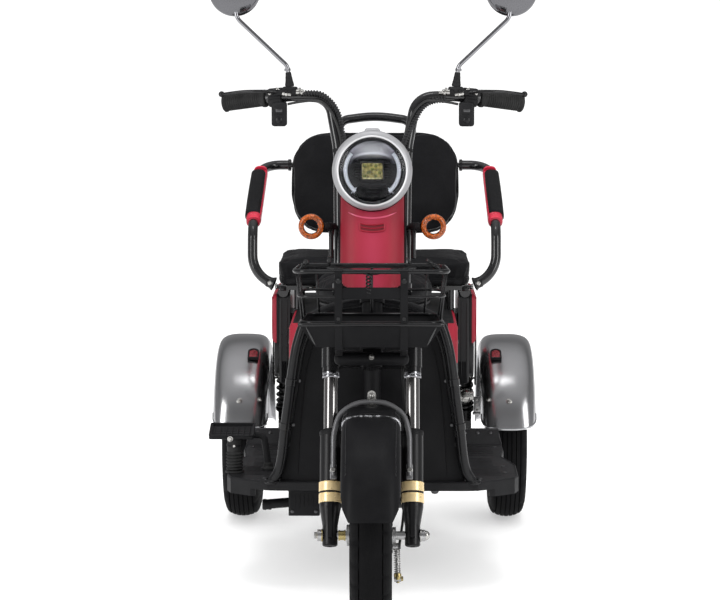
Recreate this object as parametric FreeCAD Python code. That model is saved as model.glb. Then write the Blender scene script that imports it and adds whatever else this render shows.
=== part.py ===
import FreeCAD, Part
import math
import os

# Three-wheeled electric leisure scooter: one steered front wheel, driver's
# saddle, rear bench with backrest and flip-up armrests, two rear wheels.
# Millimetres. +Z up, the vehicle's front faces -Y, its left side is +X.
# Pieces are laid out with Y measured back from the front axle; every shape is
# shifted by Y_SHIFT at the end, so the origin is under the middle of the box.

V = FreeCAD.Vector

# ---------------------------------------------------------------- dimensions
WHEELBASE = 1080.0
TYRE_R = 180.0            # outer radius of all three tyres
RIM_R = 100.0             # bead seat radius
FRONT_TYRE_W = 78.0
REAR_TYRE_W = 82.0
REAR_TRACK_X = 305.0      # middle of each rear tyre
AXLE_Z = TYRE_R

RAKE = 22.0               # steering axis leans back from the vertical
AXIS_U = 35.0             # where the steering axis crosses axle height
AXIS_Z = 180.0
LEG_X = 78.0              # fork leg centre lines
LEG_F = 32.45             # fork legs ahead of the steering axis
LEG_R = 20.5
STANCHION_R = 13.8
CROWN_LO, CROWN_HI = 312.0, 350.0     # along the steering axis
HEAD_LO, HEAD_HI = 352.5, 461.0
HEAD_R, STEERER_R = 20.0, 12.7

FRONT_FENDER_R = 238.0
REAR_FENDER_R = 234.0
FENDER_CZ = 190.0         # rear fender arch centre height
FENDER_X0, FENDER_X1 = 240.0, 364.0

FLOOR_TOP = 226.0
FLOOR_LOW = 209.0
RAIL_Z, RAIL_R, RAIL_X = 193.0, 16.0, 70.0

BODY_X = 178.0            # red seat body half width
BODY_TOP = 515.0
SEAT_X = 212.0            # bench half width
SEAT_Z0, SEAT_Z1 = 568.0, 630.5
BENCH_U0, BENCH_U1 = 790.0, 1062.0

HEADLIGHT_U, HEADLIGHT_Z, HEADLIGHT_R = 190.0, 857.0, 78.0
BAR_R = 11.0
ARM_R = 11.0
ARM_PIVOT_U, ARM_PIVOT_Z = 1160.0, 812.0

Y_SHIFT = -(WHEELBASE + REAR_FENDER_R - 229.3) / 2.0

PARTS = {}


def put(name, shapes):
    """Store a node: one solid or several solids that don't touch."""
    if not isinstance(shapes, (list, tuple)):
        shapes = [shapes]
    solids = []
    for s in shapes:
        solids.extend(s.Solids if s.Solids else [s])
    PARTS[name] = solids


# ------------------------------------------------------------------- helpers
def box(x0, u0, z0, x1, u1, z1):
    return Part.makeBox(x1 - x0, u1 - u0, z1 - z0, V(x0, u0, z0))


def cyl(p, d, r, h):
    return Part.makeCylinder(r, h, V(*p), V(*d))


def cone(p, d, r1, r2, h):
    return Part.makeCone(r1, r2, h, V(*p), V(*d))


def rod(a, b, r):
    a, b = V(*a), V(*b)
    d = b.sub(a)
    return Part.makeCylinder(r, d.Length, a, d)


def fuse(shapes):
    s = shapes[0]
    if len(shapes) > 1:
        s = s.multiFuse(list(shapes[1:]))
    return s.removeSplitter()


def path_wire(pts, radii, ends=0.45):
    """Straight runs joined by tangent arcs. radii: one number or a list.
    ends: the share of the first and last run that an arc may use."""
    p = [V(*q) for q in pts]
    n = len(p)
    if not isinstance(radii, (list, tuple)):
        radii = [radii] * (n - 2)
    edges = []
    start = p[0]
    for i in range(1, n - 1):
        a = p[i - 1].sub(p[i])
        b = p[i + 1].sub(p[i])
        la, lb = a.Length, b.Length
        a = a.multiply(1.0 / la)
        b = b.multiply(1.0 / lb)
        turn = math.pi - math.acos(max(-1.0, min(1.0, a.dot(b))))
        if turn < 1e-3:
            continue
        fa = ends if i == 1 else 0.45
        fb = ends if i == n - 2 else 0.45
        r = min(radii[i - 1], min(fa * la, fb * lb) / math.tan(turn / 2.0))
        t = r * math.tan(turn / 2.0)
        pa = p[i].add(V(a).multiply(t))
        pb = p[i].add(V(b).multiply(t))
        bis = a.add(b)
        bis.normalize()
        c = p[i].add(V(bis).multiply(r / math.cos(turn / 2.0)))
        mid = c.sub(V(bis).multiply(r))
        if start.distanceToPoint(pa) > 1e-6:
            edges.append(Part.makeLine(start, pa))
        edges.append(Part.Arc(pa, mid, pb).toShape())
        start = pb
    edges.append(Part.makeLine(start, p[-1]))
    return Part.Wire(edges)


def tube(pts, radii, r, ends=0.45):
    """Round bar swept along a path of straight runs and tangent arcs."""
    w = path_wire(pts, radii, ends)
    d = V(*pts[1]).sub(V(*pts[0]))
    prof = Part.Wire([Part.makeCircle(r, V(*pts[0]), d)])
    s = w.makePipeShell([prof], True, False)
    return Part.Solid(s) if s.ShapeType != "Solid" else s


def mirror_x(s):
    return s.mirror(V(0, 0, 0), V(1, 0, 0))


def both(s):
    return [s, mirror_x(s)]


def tilt(s):
    """From the fork's own frame (z along the steering axis, y back)."""
    s = s.copy()
    s.rotate(V(0, 0, 0), V(1, 0, 0), -RAKE)
    s.translate(V(0, AXIS_U, AXIS_Z))
    return s


def tilt_pt(x, y, z):
    a = math.radians(RAKE)
    return (x, AXIS_U + y * math.cos(a) + z * math.sin(a),
            AXIS_Z - y * math.sin(a) + z * math.cos(a))


def to_fork(x, u, z):
    """World point into the fork's own frame."""
    a = math.radians(RAKE)
    du, dz = u - AXIS_U, z - AXIS_Z
    return (x, du * math.cos(a) - dz * math.sin(a),
            du * math.sin(a) + dz * math.cos(a))


def revolve_x(profile, cu, cz, ang0=0.0, ang=360.0):
    """profile: closed list of (x, r) points turned about a lateral axis."""
    pts = [V(x, cu, cz + r) for x, r in profile]
    pts.append(pts[0])
    f = Part.Face(Part.makePolygon(pts))
    s = f.revolve(V(0, cu, cz), V(1, 0, 0), ang)
    if ang0:
        s.rotate(V(0, cu, cz), V(1, 0, 0), ang0)
    return s


def smooth_face_x(pts, cu, cz, straight):
    """Face in the x-r plane: a spline through pts, closed by straight runs."""
    sp = Part.BSplineCurve()
    sp.interpolate([V(x, cu, cz + r) for x, r in pts])
    edges = [sp.toShape()]
    last = V(pts[-1][0], cu, cz + pts[-1][1])
    for x, r in straight:
        q = V(x, cu, cz + r)
        edges.append(Part.makeLine(last, q))
        last = q
    first = V(pts[0][0], cu, cz + pts[0][1])
    edges.append(Part.makeLine(last, first))
    return Part.Face(Part.Wire(edges))


def prism_x(uz, x0, x1):
    """Side-view outline (u, z) pulled across from x0 to x1."""
    pts = [V(x0, u, z) for u, z in uz]
    pts.append(pts[0])
    return Part.Face(Part.makePolygon(pts)).extrude(V(x1 - x0, 0, 0))


def prism_z(xu, z0, z1):
    pts = [V(x, u, z0) for x, u in xu]
    pts.append(pts[0])
    return Part.Face(Part.makePolygon(pts)).extrude(V(0, 0, z1 - z0))


def prism_y(xz, u0, u1):
    pts = [V(x, u0, z) for x, z in xz]
    pts.append(pts[0])
    return Part.Face(Part.makePolygon(pts)).extrude(V(0, u1 - u0, 0))


def round_edges(s, r, test):
    es = [e for e in s.Edges if test(e)]
    if not es:
        return s
    try:
        return s.makeFillet(r, es)
    except Exception:
        return s


def along(e, axis):
    if e.Curve.TypeId != "Part::GeomLine":
        return False
    d = e.Curve.Direction
    return abs(getattr(d, axis)) > 0.999


def soft_block(x0, u0, z0, x1, u1, z1, r_side, r_edge):
    """Cushion-like block: rounded upright corners, then rounded rims."""
    s = box(x0, u0, z0, x1, u1, z1)
    s = s.makeFillet(r_side, [e for e in s.Edges if along(e, "z")])
    try:
        s = s.makeFillet(r_edge, [e for e in s.Edges
                                  if abs(e.BoundBox.ZLength) < 1e-6])
    except Exception:
        pass
    return s


# -------------------------------------------------------------------- wheels
def tyre(cx, cu, width):
    w = width / 2.0
    side = [(26.0, RIM_R + 8.0), (w - 3.0, 124.0), (w, 146.0), (w - 3.5, 163.0),
            (w - 12.0, 174.0), (0.0, TYRE_R)]
    pts = side + [(-x, r) for x, r in reversed(side[:-1])]
    pts = [(cx + x, r) for x, r in pts]
    f = smooth_face_x(pts, cu, AXLE_Z,
                      [(cx - 26.0, RIM_R), (cx + 26.0, RIM_R)])
    return f.revolve(V(0, cu, AXLE_Z), V(1, 0, 0), 360.0)


def rim(cx, cu, hub_r, hub_x0, hub_x1, bore_r, drum_side, spokes=5):
    """Cast wheel: barrel with flanges, five spokes, hub with brake drum."""
    ring = revolve_x([(cx - 30.0, 90.0), (cx - 30.0, 107.5), (cx - 26.0, 107.5),
                      (cx - 26.0, RIM_R), (cx + 26.0, RIM_R), (cx + 26.0, 107.5),
                      (cx + 30.0, 107.5), (cx + 30.0, 90.0), (cx + 24.0, 88.0),
                      (cx + 18.0, 94.0), (cx - 18.0, 94.0), (cx - 24.0, 88.0)],
                     cu, AXLE_Z)
    parts = [ring]
    for i in range(spokes):
        b = box(cx - 12.0, cu - 11.0, AXLE_Z + hub_r - 6.0,
                cx + 12.0, cu + 11.0, AXLE_Z + 95.0)
        b.rotate(V(cx, cu, AXLE_Z), V(1, 0, 0), 360.0 / spokes * i)
        parts.append(b)
    hub = cyl((hub_x0, cu, AXLE_Z), (1, 0, 0), hub_r, hub_x1 - hub_x0)
    parts.append(hub)
    s = fuse(parts)
    s = s.cut(cyl((hub_x0 - 50.0, cu, AXLE_Z), (1, 0, 0), bore_r,
                  hub_x1 - hub_x0 + 100.0))
    if drum_side:
        # shallow recess for the brake plate
        x = hub_x1 - 8.0 if drum_side > 0 else hub_x0 - 1.0
        s = s.cut(cyl((x, cu, AXLE_Z), (1, 0, 0), hub_r - 5.0, 9.0))
    return s


put("front_tyre", tyre(0.0, 0.0, FRONT_TYRE_W))
hub_f = rim(0.0, 0.0, 42.0, -30.0, 30.0, 8.05, +1)
neck = cyl((-46.0, 0.0, AXLE_Z), (1, 0, 0), 19.0, 16.0).cut(
    cyl((-50.0, 0.0, AXLE_Z), (1, 0, 0), 8.05, 30.0))
put("front_wheel_rim", fuse([hub_f, neck]))

for side, sx in (("left", 1.0), ("right", -1.0)):
    put("rear_tyre_" + side, tyre(sx * REAR_TRACK_X, WHEELBASE, REAR_TYRE_W))
    c = sx * REAR_TRACK_X
    lo, hi = (c - 34.0, c + 26.0) if sx > 0 else (c - 26.0, c + 34.0)
    put("rear_wheel_rim_" + side,
        rim(c, WHEELBASE, 52.0, lo, hi, 10.05, -sx))

# ---------------------------------------------------------------------- fork
legs, rings, stanch = [], [], []
for sx in (1.0, -1.0):
    x, y = sx * LEG_X, -LEG_F
    leg = cyl((x, y, 40.0), (0, 0, 1), LEG_R, 147.5)
    leg = leg.fuse(cone((x, y, 5.0), (0, 0, 1), 14.5, LEG_R, 35.0))
    leg = leg.fuse(cyl((x, y, -32.0), (0, 0, 1), 14.5, 37.0))
    rib = box(x - 4.0, y - LEG_R + 2.0 - 3.5, -20.0, x + 4.0, y, 46.0)
    rib = rib.cut(box(x - 20, y - 60, -60, x + 20, y - LEG_R - 1.5, 200))
    leg = leg.fuse(rib).removeSplitter()
    hole = cyl((x - 40.0, y, -AXIS_U * math.sin(math.radians(RAKE))), (1, 0, 0), 6.0, 80.0)
    leg = leg.cut(hole)
    legs.append(tilt(leg))
    for z0 in (48.0, 70.0):
        r = cyl((x, y, z0), (0, 0, 1), 22.0, 18.0).cut(
            cyl((x, y, z0 - 1), (0, 0, 1), LEG_R, 20.0))
        if z0 == 48.0:
            r = r.cut(box(x - 4.0, y - 40, z0 - 1, x + 4.0, y - 10, z0 + 20))
        rings.append(tilt(r))
    stanch.append(tilt(cyl((x, y, 187.5), (0, 0, 1), STANCHION_R, CROWN_HI - 187.5)))
put("fork_legs", legs)
put("fork_collars", rings)
put("fork_stanchions", stanch)

crown = [box(-LEG_X, -LEG_F - 15.0, 322.0, LEG_X, 20.0, 346.0)]
crown[0] = round_edges(crown[0], 8.0, lambda e: along(e, "x"))
for sx in (1.0, -1.0):
    crown.append(cyl((sx * LEG_X, -LEG_F, CROWN_LO), (0, 0, 1), 18.5, CROWN_HI - CROWN_LO))
    crown.append(cyl((sx * LEG_X, -LEG_F, CROWN_LO - 9.0), (0, 0, 1), 16.8, 9.0))
crown.append(cyl((0, 0, 320.0), (0, 0, 1), 21.0, 31.5))
crown.append(cyl((0, 0, 340.0), (0, 0, 1), STEERER_R, 148.0))
crown = fuse(crown)
for sx in (1.0, -1.0):
    crown = crown.cut(cyl((sx * LEG_X, -LEG_F, 290.0), (0, 0, 1), STANCHION_R, 60.0))
put("fork_crown", tilt(crown))

# axle with nuts and spacers, clear of the turning hub
AX = AXLE_Z
axle = [cyl((-108.0, 0, AX), (1, 0, 0), 5.9, 216.0),
        cyl((-LEG_X + 14.6, 0, AX), (1, 0, 0), 8.0, 16.6),
        cyl((46.5, 0, AX), (1, 0, 0), 8.0, LEG_X - 14.6 - 46.5),
        cyl((-LEG_X - 14.6 - 9.0, 0, AX), (1, 0, 0), 11.0, 9.0),
        cyl((LEG_X + 14.6, 0, AX), (1, 0, 0), 11.0, 9.0),
        cyl((-46.2, 0, AX), (1, 0, 0), 8.0, 92.7)]
axle = fuse(axle)
put("front_axle", axle)

# brake plate on the left of the hub, with its cam lever hanging down
plate = cyl((31.5, 0, AX), (1, 0, 0), 40.0, 7.5).fuse(
    cyl((39.0, 0, AX), (1, 0, 0), 16.0, 7.5))
plate = plate.fuse(cyl((39.0, 14.0, AX - 24.0), (1, 0, 0), 6.5, 12.0))
lever = rod((48.0, 14.0, AX - 24.0), (50.0, 4.0, 100.0), 4.0)
plate = plate.fuse(lever).fuse(cyl((43.5, 4.0, 96.0), (1, 0, 0), 6.5, 13.0))
plate = plate.cut(cyl((20.0, 0, AX), (1, 0, 0), 8.0, 60.0)).removeSplitter()
put("front_brake_plate", plate)

# ----------------------------------------------------------- front mudguard
FCZ = 185.0
fr = FRONT_FENDER_R
prof_o = [(-53.0, fr - 34.0), (-52.0, fr - 14.0), (-43.0, fr - 4.5), (0.0, fr),
          (43.0, fr - 4.5), (52.0, fr - 14.0), (53.0, fr - 34.0)]
prof_i = [(50.8, fr - 34.0), (49.9, fr - 15.0), (41.8, fr - 6.7), (0.0, fr - 2.2),
          (-41.8, fr - 6.7), (-49.9, fr - 15.0), (-50.8, fr - 34.0)]


def band_section(po, pi, cu, cz):
    a = Part.BSplineCurve()
    a.interpolate([V(x, cu, cz + r) for x, r in po])
    b = Part.BSplineCurve()
    b.interpolate([V(x, cu, cz + r) for x, r in pi])
    l1 = Part.makeLine(V(po[-1][0], cu, cz + po[-1][1]), V(pi[0][0], cu, cz + pi[0][1]))
    l2 = Part.makeLine(V(pi[-1][0], cu, cz + pi[-1][1]), V(po[0][0], cu, cz + po[0][1]))
    return Part.Face(Part.Wire([a.toShape(), l1, b.toShape(), l2]))


def arch(po, pi, cu, cz, front_deg, rear_deg):
    """Turned shell; angles are from straight up, front and back."""
    f = band_section(po, pi, cu, cz)
    s = f.revolve(V(0, cu, cz), V(1, 0, 0), front_deg + rear_deg)
    s.rotate(V(0, cu, cz), V(1, 0, 0), -rear_deg)
    return s


fender = arch(prof_o, prof_i, 0.0, FCZ, 74.5, 66.0)
cutter = prism_y([(-80, 200), (80, 200), (80, 300), (54, 300), (51, 272), (40, 251),
                  (-40, 251), (-51, 272), (-54, 300), (-80, 300)], -300, -120)
fender = fender.cut(cutter)
put("front_fender", fender)

# grey stay arch over the mudguard, bolted to both fork legs
HOOP_R = 4.8
hz0, hz1 = 96.0, 251.0


def fork_pt(x, y, z):
    return tilt_pt(x, y, z)


stay_y = -LEG_F - LEG_R - HOOP_R - 0.4
stay = tube([(-72.0, stay_y, hz0), (-72.0, stay_y, 205.0), (-52.0, stay_y + 2.0, 247.0),
             (0.0, stay_y + 3.0, 262.0), (52.0, stay_y + 2.0, 247.0),
             (72.0, stay_y, 205.0), (72.0, stay_y, hz0)],
            [70.0, 60.0, 200.0, 60.0, 70.0], HOOP_R)
stay = tilt(stay)

# small plated bracket between the stay arch and the mudguard crown
top_u, top_z = tilt_pt(0.0, stay_y + 3.0, 258.0)[1:]
br = box(-8.5, top_u - 7.0, top_z - 24.0, 8.5, top_u - 3.5, top_z + 22.0)
br = br.fuse(cyl((0, top_u - 13.0, top_z + 8.0), (0, 1, 0), 5.5, 6.5))
br = br.cut(fender)
br = max(br.Solids, key=lambda q: q.Volume)
put("fender_stay", fuse([stay, br]))

# ------------------------------------------------------------ bars and cowl
BY = 10.0                 # handlebar plane behind the steering axis, fork frame
u0, z0 = tilt_pt(0, BY, 474.0)[1:]
u1, z1 = tilt_pt(0, BY, 770.0)[1:]
BAR_END, BAR_IN = (-295.0, 418.2, 981.2), (-206.0, 384.0, 992.0)
bar_r = tube([BAR_END, BAR_IN, (-158.0, 373.5, 996.5),
              (-87.0, 364.0, 993.0), (-67.5, u1, z1), (-63.0, u0, z0)],
             [160.0, 110.0, 42.0, 220.0], BAR_R)
bar_l = mirror_x(bar_r)
CROSS_Z = 498.0
cu_, cz_ = tilt_pt(0, BY, CROSS_Z)[1:]
handlebar = [bar_r, bar_l]
cross1 = tilt(box(-64.0, BY - 9.0, 512.0, 64.0, BY + 9.0, 530.0))
handlebar.append(cross1)
cross2 = tilt(box(-66.0, BY - 8.0, 690.0, 66.0, BY + 8.0, 704.0))
handlebar.append(cross2)

yoke = box(-77.0, -26.0, 470.0, 77.0, 21.5, 486.0)
yoke = round_edges(yoke, 14.0, lambda e: along(e, "z"))
yoke = yoke.cut(cyl((0, 0, 460.0), (0, 0, 1), STEERER_R, 40.0))
handlebar.append(tilt(yoke))
put("handlebar", fuse(handlebar))

grips, levers = [], []
ga, gb = V(*BAR_END), V(*BAR_IN)
gd = gb.sub(ga)
gd.normalize()
g0 = ga.sub(V(gd).multiply(6.0))
grip = Part.makeCone(17.6, 15.6, 94.0, g0, gd)
grip = grip.fuse(Part.makeCylinder(19.0, 6.0, g0, gd))
grip = grip.cut(Part.makeCylinder(BAR_R, 300.0, ga, gd)).removeSplitter().cut(bar_r)
grip = max(grip.Solids, key=lambda q: q.Volume)
put("grips", both(grip))

pod = box(-208.0, 362.0, 970.0, -180.0, 402.0, 1016.0)
pod = pod.makeFillet(6.0, pod.Edges)
pod2 = box(-203.0, 356.0, 934.0, -171.0, 390.0, 984.0)
pod2 = pod2.makeFillet(6.0, pod2.Edges)
pod3 = box(-195.0, 356.0, 935.0, -160.0, 390.0, 984.0)
pod3 = pod3.makeFillet(7.0, pod3.Edges)
clamp = box(-182.0, 358.0, 996.0, -150.0, 382.0, 1015.0)
clamp = clamp.makeFillet(3.0, clamp.Edges)
pods = pod.fuse(pod2).fuse(clamp).removeSplitter().cut(bar_r)
pods_l = pod.fuse(pod3).fuse(clamp).removeSplitter().cut(bar_r)

lev = tube([(-186.0, 372.0, 1004.0), (-212.0, 352.0, 1005.5), (-258.0, 364.0, 1005.0),
            (-306.0, 386.0, 999.0)], [18.0, 90.0], 5.0)
ball = Part.makeSphere(6.4, V(-306.0, 386.0, 999.0))
lev = lev.fuse(ball).cut(grip)
lev = max(lev.Solids, key=lambda q: q.Volume)
ctrl = fuse([pods, lev]).cut(bar_r).cut(grip)
ctrl_l = fuse([pods_l, lev]).cut(bar_r).cut(grip)
put("hand_controls", [max(ctrl.Solids, key=lambda q: q.Volume),
                      mirror_x(max(ctrl_l.Solids, key=lambda q: q.Volume))])

# mirrors
MX, MU, MZ = 276.5, 384.0, 1206.0
stem = tube([(-166.0, 368.0, 1014.0), (-171.0, 366.0, 1056.0), (-271.0, 372.0, 1150.0),
             (-277.0, 376.0, 1182.0)], [16.0, 24.0], 4.4)
boot = cone((-166.0, 368.2, 1015.2), (-0.10, 0, 1), 9.0, 5.8, 26.0)
stem = stem.fuse(boot).cut(pods)
stem = max(stem.Solids, key=lambda q: q.Volume)
mir = Part.makeCylinder(52.0, 14.0, V(-MX, MU - 4.0, MZ), V(0, 1, 0))
dome = Part.makeSphere(76.0, V(-MX, MU + 50.0, MZ)).common(
    Part.makeCylinder(52.0, 40.0, V(-MX, MU - 32.0, MZ), V(0, 1, 0)))
dome = dome.common(box(-MX - 60, MU - 60, MZ - 60, -MX + 60, MU - 3.9, MZ + 60))
mir = mir.fuse(dome).removeSplitter()
put("mirrors", both(fuse([stem, mir])))

# headlight: bowl with ring, clear dome, lamp unit behind it
HU, HZ, HR = HEADLIGHT_U, HEADLIGHT_Z, HEADLIGHT_R


def revolve_y(profile, cx, cz):
    """profile: closed list of (u, r) points turned about a lengthwise axis."""
    pts = [V(cx, u, cz + r) for u, r in profile]
    pts.append(pts[0])
    f = Part.Face(Part.makePolygon(pts))
    return f.revolve(V(cx, 0, cz), V(0, 1, 0), 360.0)


shell = revolve_y([(HU - 2, 66.5), (HU - 2, 73.0), (HU + 3, 77.5), (HU + 12, 78.0),
                   (HU + 22, 76.0), (HU + 50, 68.0), (HU + 76, 48.0), (HU + 84, 26.0),
                   (HU + 84, 0.0), (HU + 81, 0.0), (HU + 80, 25.0), (HU + 73, 45.0),
                   (HU + 48, 64.5), (HU + 8, 66.5)], 0.0, HZ)
visor = box(-17.0, HU + 2.0, HZ + 74.0, 17.0, HU + 26.0, HZ + 82.5)
visor = round_edges(visor, 4.0, lambda e: along(e, "y"))
shell = shell.fuse(visor).removeSplitter()
put("headlight_shell", shell)
sph = Part.makeSphere(150.0, V(0, HU + 134.0, HZ)).cut(
    Part.makeSphere(147.0, V(0, HU + 134.0, HZ)))
lens = sph.common(Part.makeCylinder(66.3, 60.0, V(0, HU - 40.0, HZ), V(0, 1, 0)))
put("headlight_lens", lens)
lamp = Part.makeCylinder(52.0, 12.0, V(0, HU + 28.0, HZ), V(0, 1, 0))
lamp = lamp.fuse(box(-22.0, HU + 12.0, HZ - 22.0, 22.0, HU + 30.0, HZ + 20.0))
lamp = lamp.fuse(Part.makeCylinder(12.0, 41.5, V(0, HU + 39.5, HZ), V(0, 1, 0))).removeSplitter()
lamp = lamp.cut(shell)
put("headlight_unit", max(lamp.Solids, key=lambda q: q.Volume))

# bracket that carries the headlight on the bars
mount_arm = box(-30.0, HU + 84.5, HZ - 26.0, 30.0, HU + 92.0, HZ + 26.0)
link = box(-26.0, HU + 84.5, HZ - 96.0, 26.0, HU + 92.0, HZ - 26.0)
hbk = mount_arm.fuse(link).removeSplitter()

# red front cover, a shell that wraps the fronts of the uprights
def cowl_outline(inset, y_front, y_back, z_lo, z_hi):
    xs = 62.0 - inset
    pts = [(-xs, y_back), (-xs, y_front + 26.0), (-xs + 12.0, y_front + 10.0),
           (-xs + 30.0, y_front + 2.0), (0.0, y_front),
           (xs - 30.0, y_front + 2.0), (xs - 12.0, y_front + 10.0),
           (xs, y_front + 26.0), (xs, y_back)]
    sp = Part.BSplineCurve()
    sp.interpolate([V(x, y, z_lo) for x, y in pts[1:-1]])
    e = [Part.makeLine(V(pts[0][0], pts[0][1], z_lo), V(pts[1][0], pts[1][1], z_lo)),
         sp.toShape(),
         Part.makeLine(V(pts[-2][0], pts[-2][1], z_lo), V(pts[-1][0], pts[-1][1], z_lo)),
         Part.makeLine(V(pts[-1][0], pts[-1][1], z_lo), V(pts[0][0], pts[0][1], z_lo))]
    return Part.Face(Part.Wire(e)).extrude(V(0, 0, z_hi - z_lo))


C_LO, C_HI = 458.0, 688.0
cowl = cowl_outline(0.0, -66.0, -6.0, C_LO, C_HI)
inner = cowl_outline(4.0, -62.0, -2.0, C_LO - 5.0, C_HI - 4.0)
cowl = cowl.cut(inner)
# rounded lower end seen from the front
low = prism_y([(-70, C_LO - 10), (70, C_LO - 10), (70, C_LO + 34), (62, C_LO + 34),
               (56, C_LO + 17), (44, C_LO + 6), (24, C_LO), (-24, C_LO), (-44, C_LO + 6),
               (-56, C_LO + 17), (-62, C_LO + 34), (-70, C_LO + 34)], -80, 10)
cowl = cowl.cut(low)
cowl = cowl.cut(box(-70.0, -29.0, C_LO - 10.0, 70.0, 10.0, 488.5))
cowl = tilt(cowl)
bowl_room = Part.makeCylinder(80.5, 100.0, V(0, HU - 20.0, HZ), V(0, 1, 0))
cowl = cowl.cut(bowl_room)
cowl = cowl.cut(fuse([bar_r, bar_l, cross1, cross2])).cut(shell)
cowl = max(cowl.Solids, key=lambda q: q.Volume)
put("front_cowl", cowl)

# black back panel between the uprights
back = tilt(box(-52.0, 1.0, 536.0, 52.0, 12.0, 684.0))
back = back.fuse(hbk.copy()).removeSplitter()
back = back.cut(fuse([bar_r, bar_l, cross1, cross2])).cut(cowl)
back = max(back.Solids, key=lambda q: q.Volume)
put("cowl_back", back)

# turn signals: open amber rings on stems
TX, TU, TZ = 120.0, 236.0, 745.0
tring = Part.makeCylinder(24.8, 16.0, V(-TX, TU - 8.0, TZ), V(0, 1, 0)).cut(
    Part.makeCylinder(13.8, 20.0, V(-TX, TU - 10.0, TZ), V(0, 1, 0)))
tring = round_edges(tring, 4.0, lambda e: e.Curve.TypeId == "Part::GeomCircle")
tstem = rod((-TX + 22.0, TU + 2.0, TZ), (-74.0, TU + 22.0, TZ - 1.0), 7.0)
tstem2 = rod((-80.5, TU + 20.0, TZ - 1.0), (-80.5, TU - 2.0, TZ - 62.0), 5.0)
tsig = fuse([tstem, tstem2, tring]).cut(bar_r).cut(cowl)
put("turn_signals", both(max(tsig.Solids, key=lambda q: q.Volume)))

# -------------------------------------------------------------------- basket
def ring_path(hw, ua, ub, z, r, corner, zb=None):
    zb = z if zb is None else zb
    um = (ua + ub) / 2.0
    zm = (z + zb) / 2.0
    half = tube([(0.0, ua, z), (-hw, ua, z), (-hw * 0.96, ub, zb), (0.0, ub, zb)],
                corner, r)
    return fuse([half, mirror_x(half)])


B_U0, B_U1 = -36.0, 126.0
rim1 = ring_path(143.0, B_U0, B_U1, 684.0, 4.6, 26.0, 678.0)
mid = ring_path(137.0, B_U0 + 4, B_U1 - 6, 637.0, 2.8, 26.0, 634.0)
bot = ring_path(131.0, B_U0 + 8, B_U1 - 12, 588.0, 2.8, 26.0, 588.0)
posts = []
for x in (-112.0, -30.0, 30.0, 112.0):
    posts.append(rod((x, B_U0 - 0.5, 684.0), (x * 0.93, B_U0 + 8.5, 588.0), 2.6))
for x in (-108.0, -62.0, 0.0, 62.0, 108.0):
    posts.append(rod((x, B_U1 + 0.2, 678.0), (x * 0.93, B_U1 - 12.2, 588.0), 2.6))
for sx in (1.0, -1.0):
    for fr_ in (0.3, 0.7):
        uu = B_U0 + (B_U1 - B_U0) * fr_
        posts.append(rod((sx * (143.0 - 5.7 * fr_), uu, 684.0 - 6.0 * fr_),
                         (sx * (131.0 - 5.2 * fr_), B_U0 + 8 + (B_U1 - B_U0 - 20) * fr_, 588.0), 2.6))
basket = fuse([rim1, mid, bot] + posts)
put("basket_cage", basket)

# tapered tray under the cage: an open pan
tr_o = Part.makeLoft([
    Part.makePolygon([V(-134, B_U0 + 2, 584.6), V(134, B_U0 + 2, 584.6), V(128, B_U1 - 6, 584.6),
                      V(-128, B_U1 - 6, 584.6), V(-134, B_U0 + 2, 584.6)]),
    Part.makePolygon([V(-104, B_U0 + 22, 540), V(104, B_U0 + 22, 540), V(100, B_U1 - 26, 540),
                      V(-100, B_U1 - 26, 540), V(-104, B_U0 + 22, 540)])], True)
tr_i = Part.makeLoft([
    Part.makePolygon([V(-130, B_U0 + 6, 585.6), V(130, B_U0 + 6, 585.6), V(124, B_U1 - 10, 585.6),
                      V(-124, B_U1 - 10, 585.6), V(-130, B_U0 + 6, 585.6)]),
    Part.makePolygon([V(-100, B_U0 + 26, 544), V(100, B_U0 + 26, 544), V(96, B_U1 - 30, 544),
                      V(-96, B_U1 - 30, 544), V(-100, B_U0 + 26, 544)])], True)
tray = tr_o.cut(tr_i).cut(basket)
tray = max(tray.Solids, key=lambda q: q.Volume)
put("basket_tray", tray)

# carrier: two flat uprights on a stout cross tube ahead of the fork crown
carrier = [rod((-58.0, 60.0, 508.0), (58.0, 60.0, 508.0), 12.3),
           Part.makeSphere(12.3, V(-58.0, 60.0, 508.0)), Part.makeSphere(12.3, V(58.0, 60.0, 508.0))]
for sx in (1.0, -1.0):
    carrier.append(prism_x([(B_U0 - 11.0, 690.0), (B_U0 - 5.0, 690.0), (B_U0 + 6.0, 588.0),
                            (B_U0 + 24.0, 538.0), (66.0, 512.0), (66.0, 504.0), (52.0, 504.0),
                            (B_U0 + 18.0, 533.0), (B_U0, 585.0)],
                           sx * 61.0 - 7.0, sx * 61.0 + 7.0))
carrier.append(tilt(box(-18.0, -LEG_F - 36.0, 326.0, 18.0, -LEG_F - 14.0, 342.0)))
carrier = fuse(carrier).cut(basket).cut(tray).cut(PARTS["fork_crown"][0])
carrier = max(carrier.Solids, key=lambda q: q.Volume)
put("basket_carrier", carrier)

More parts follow.
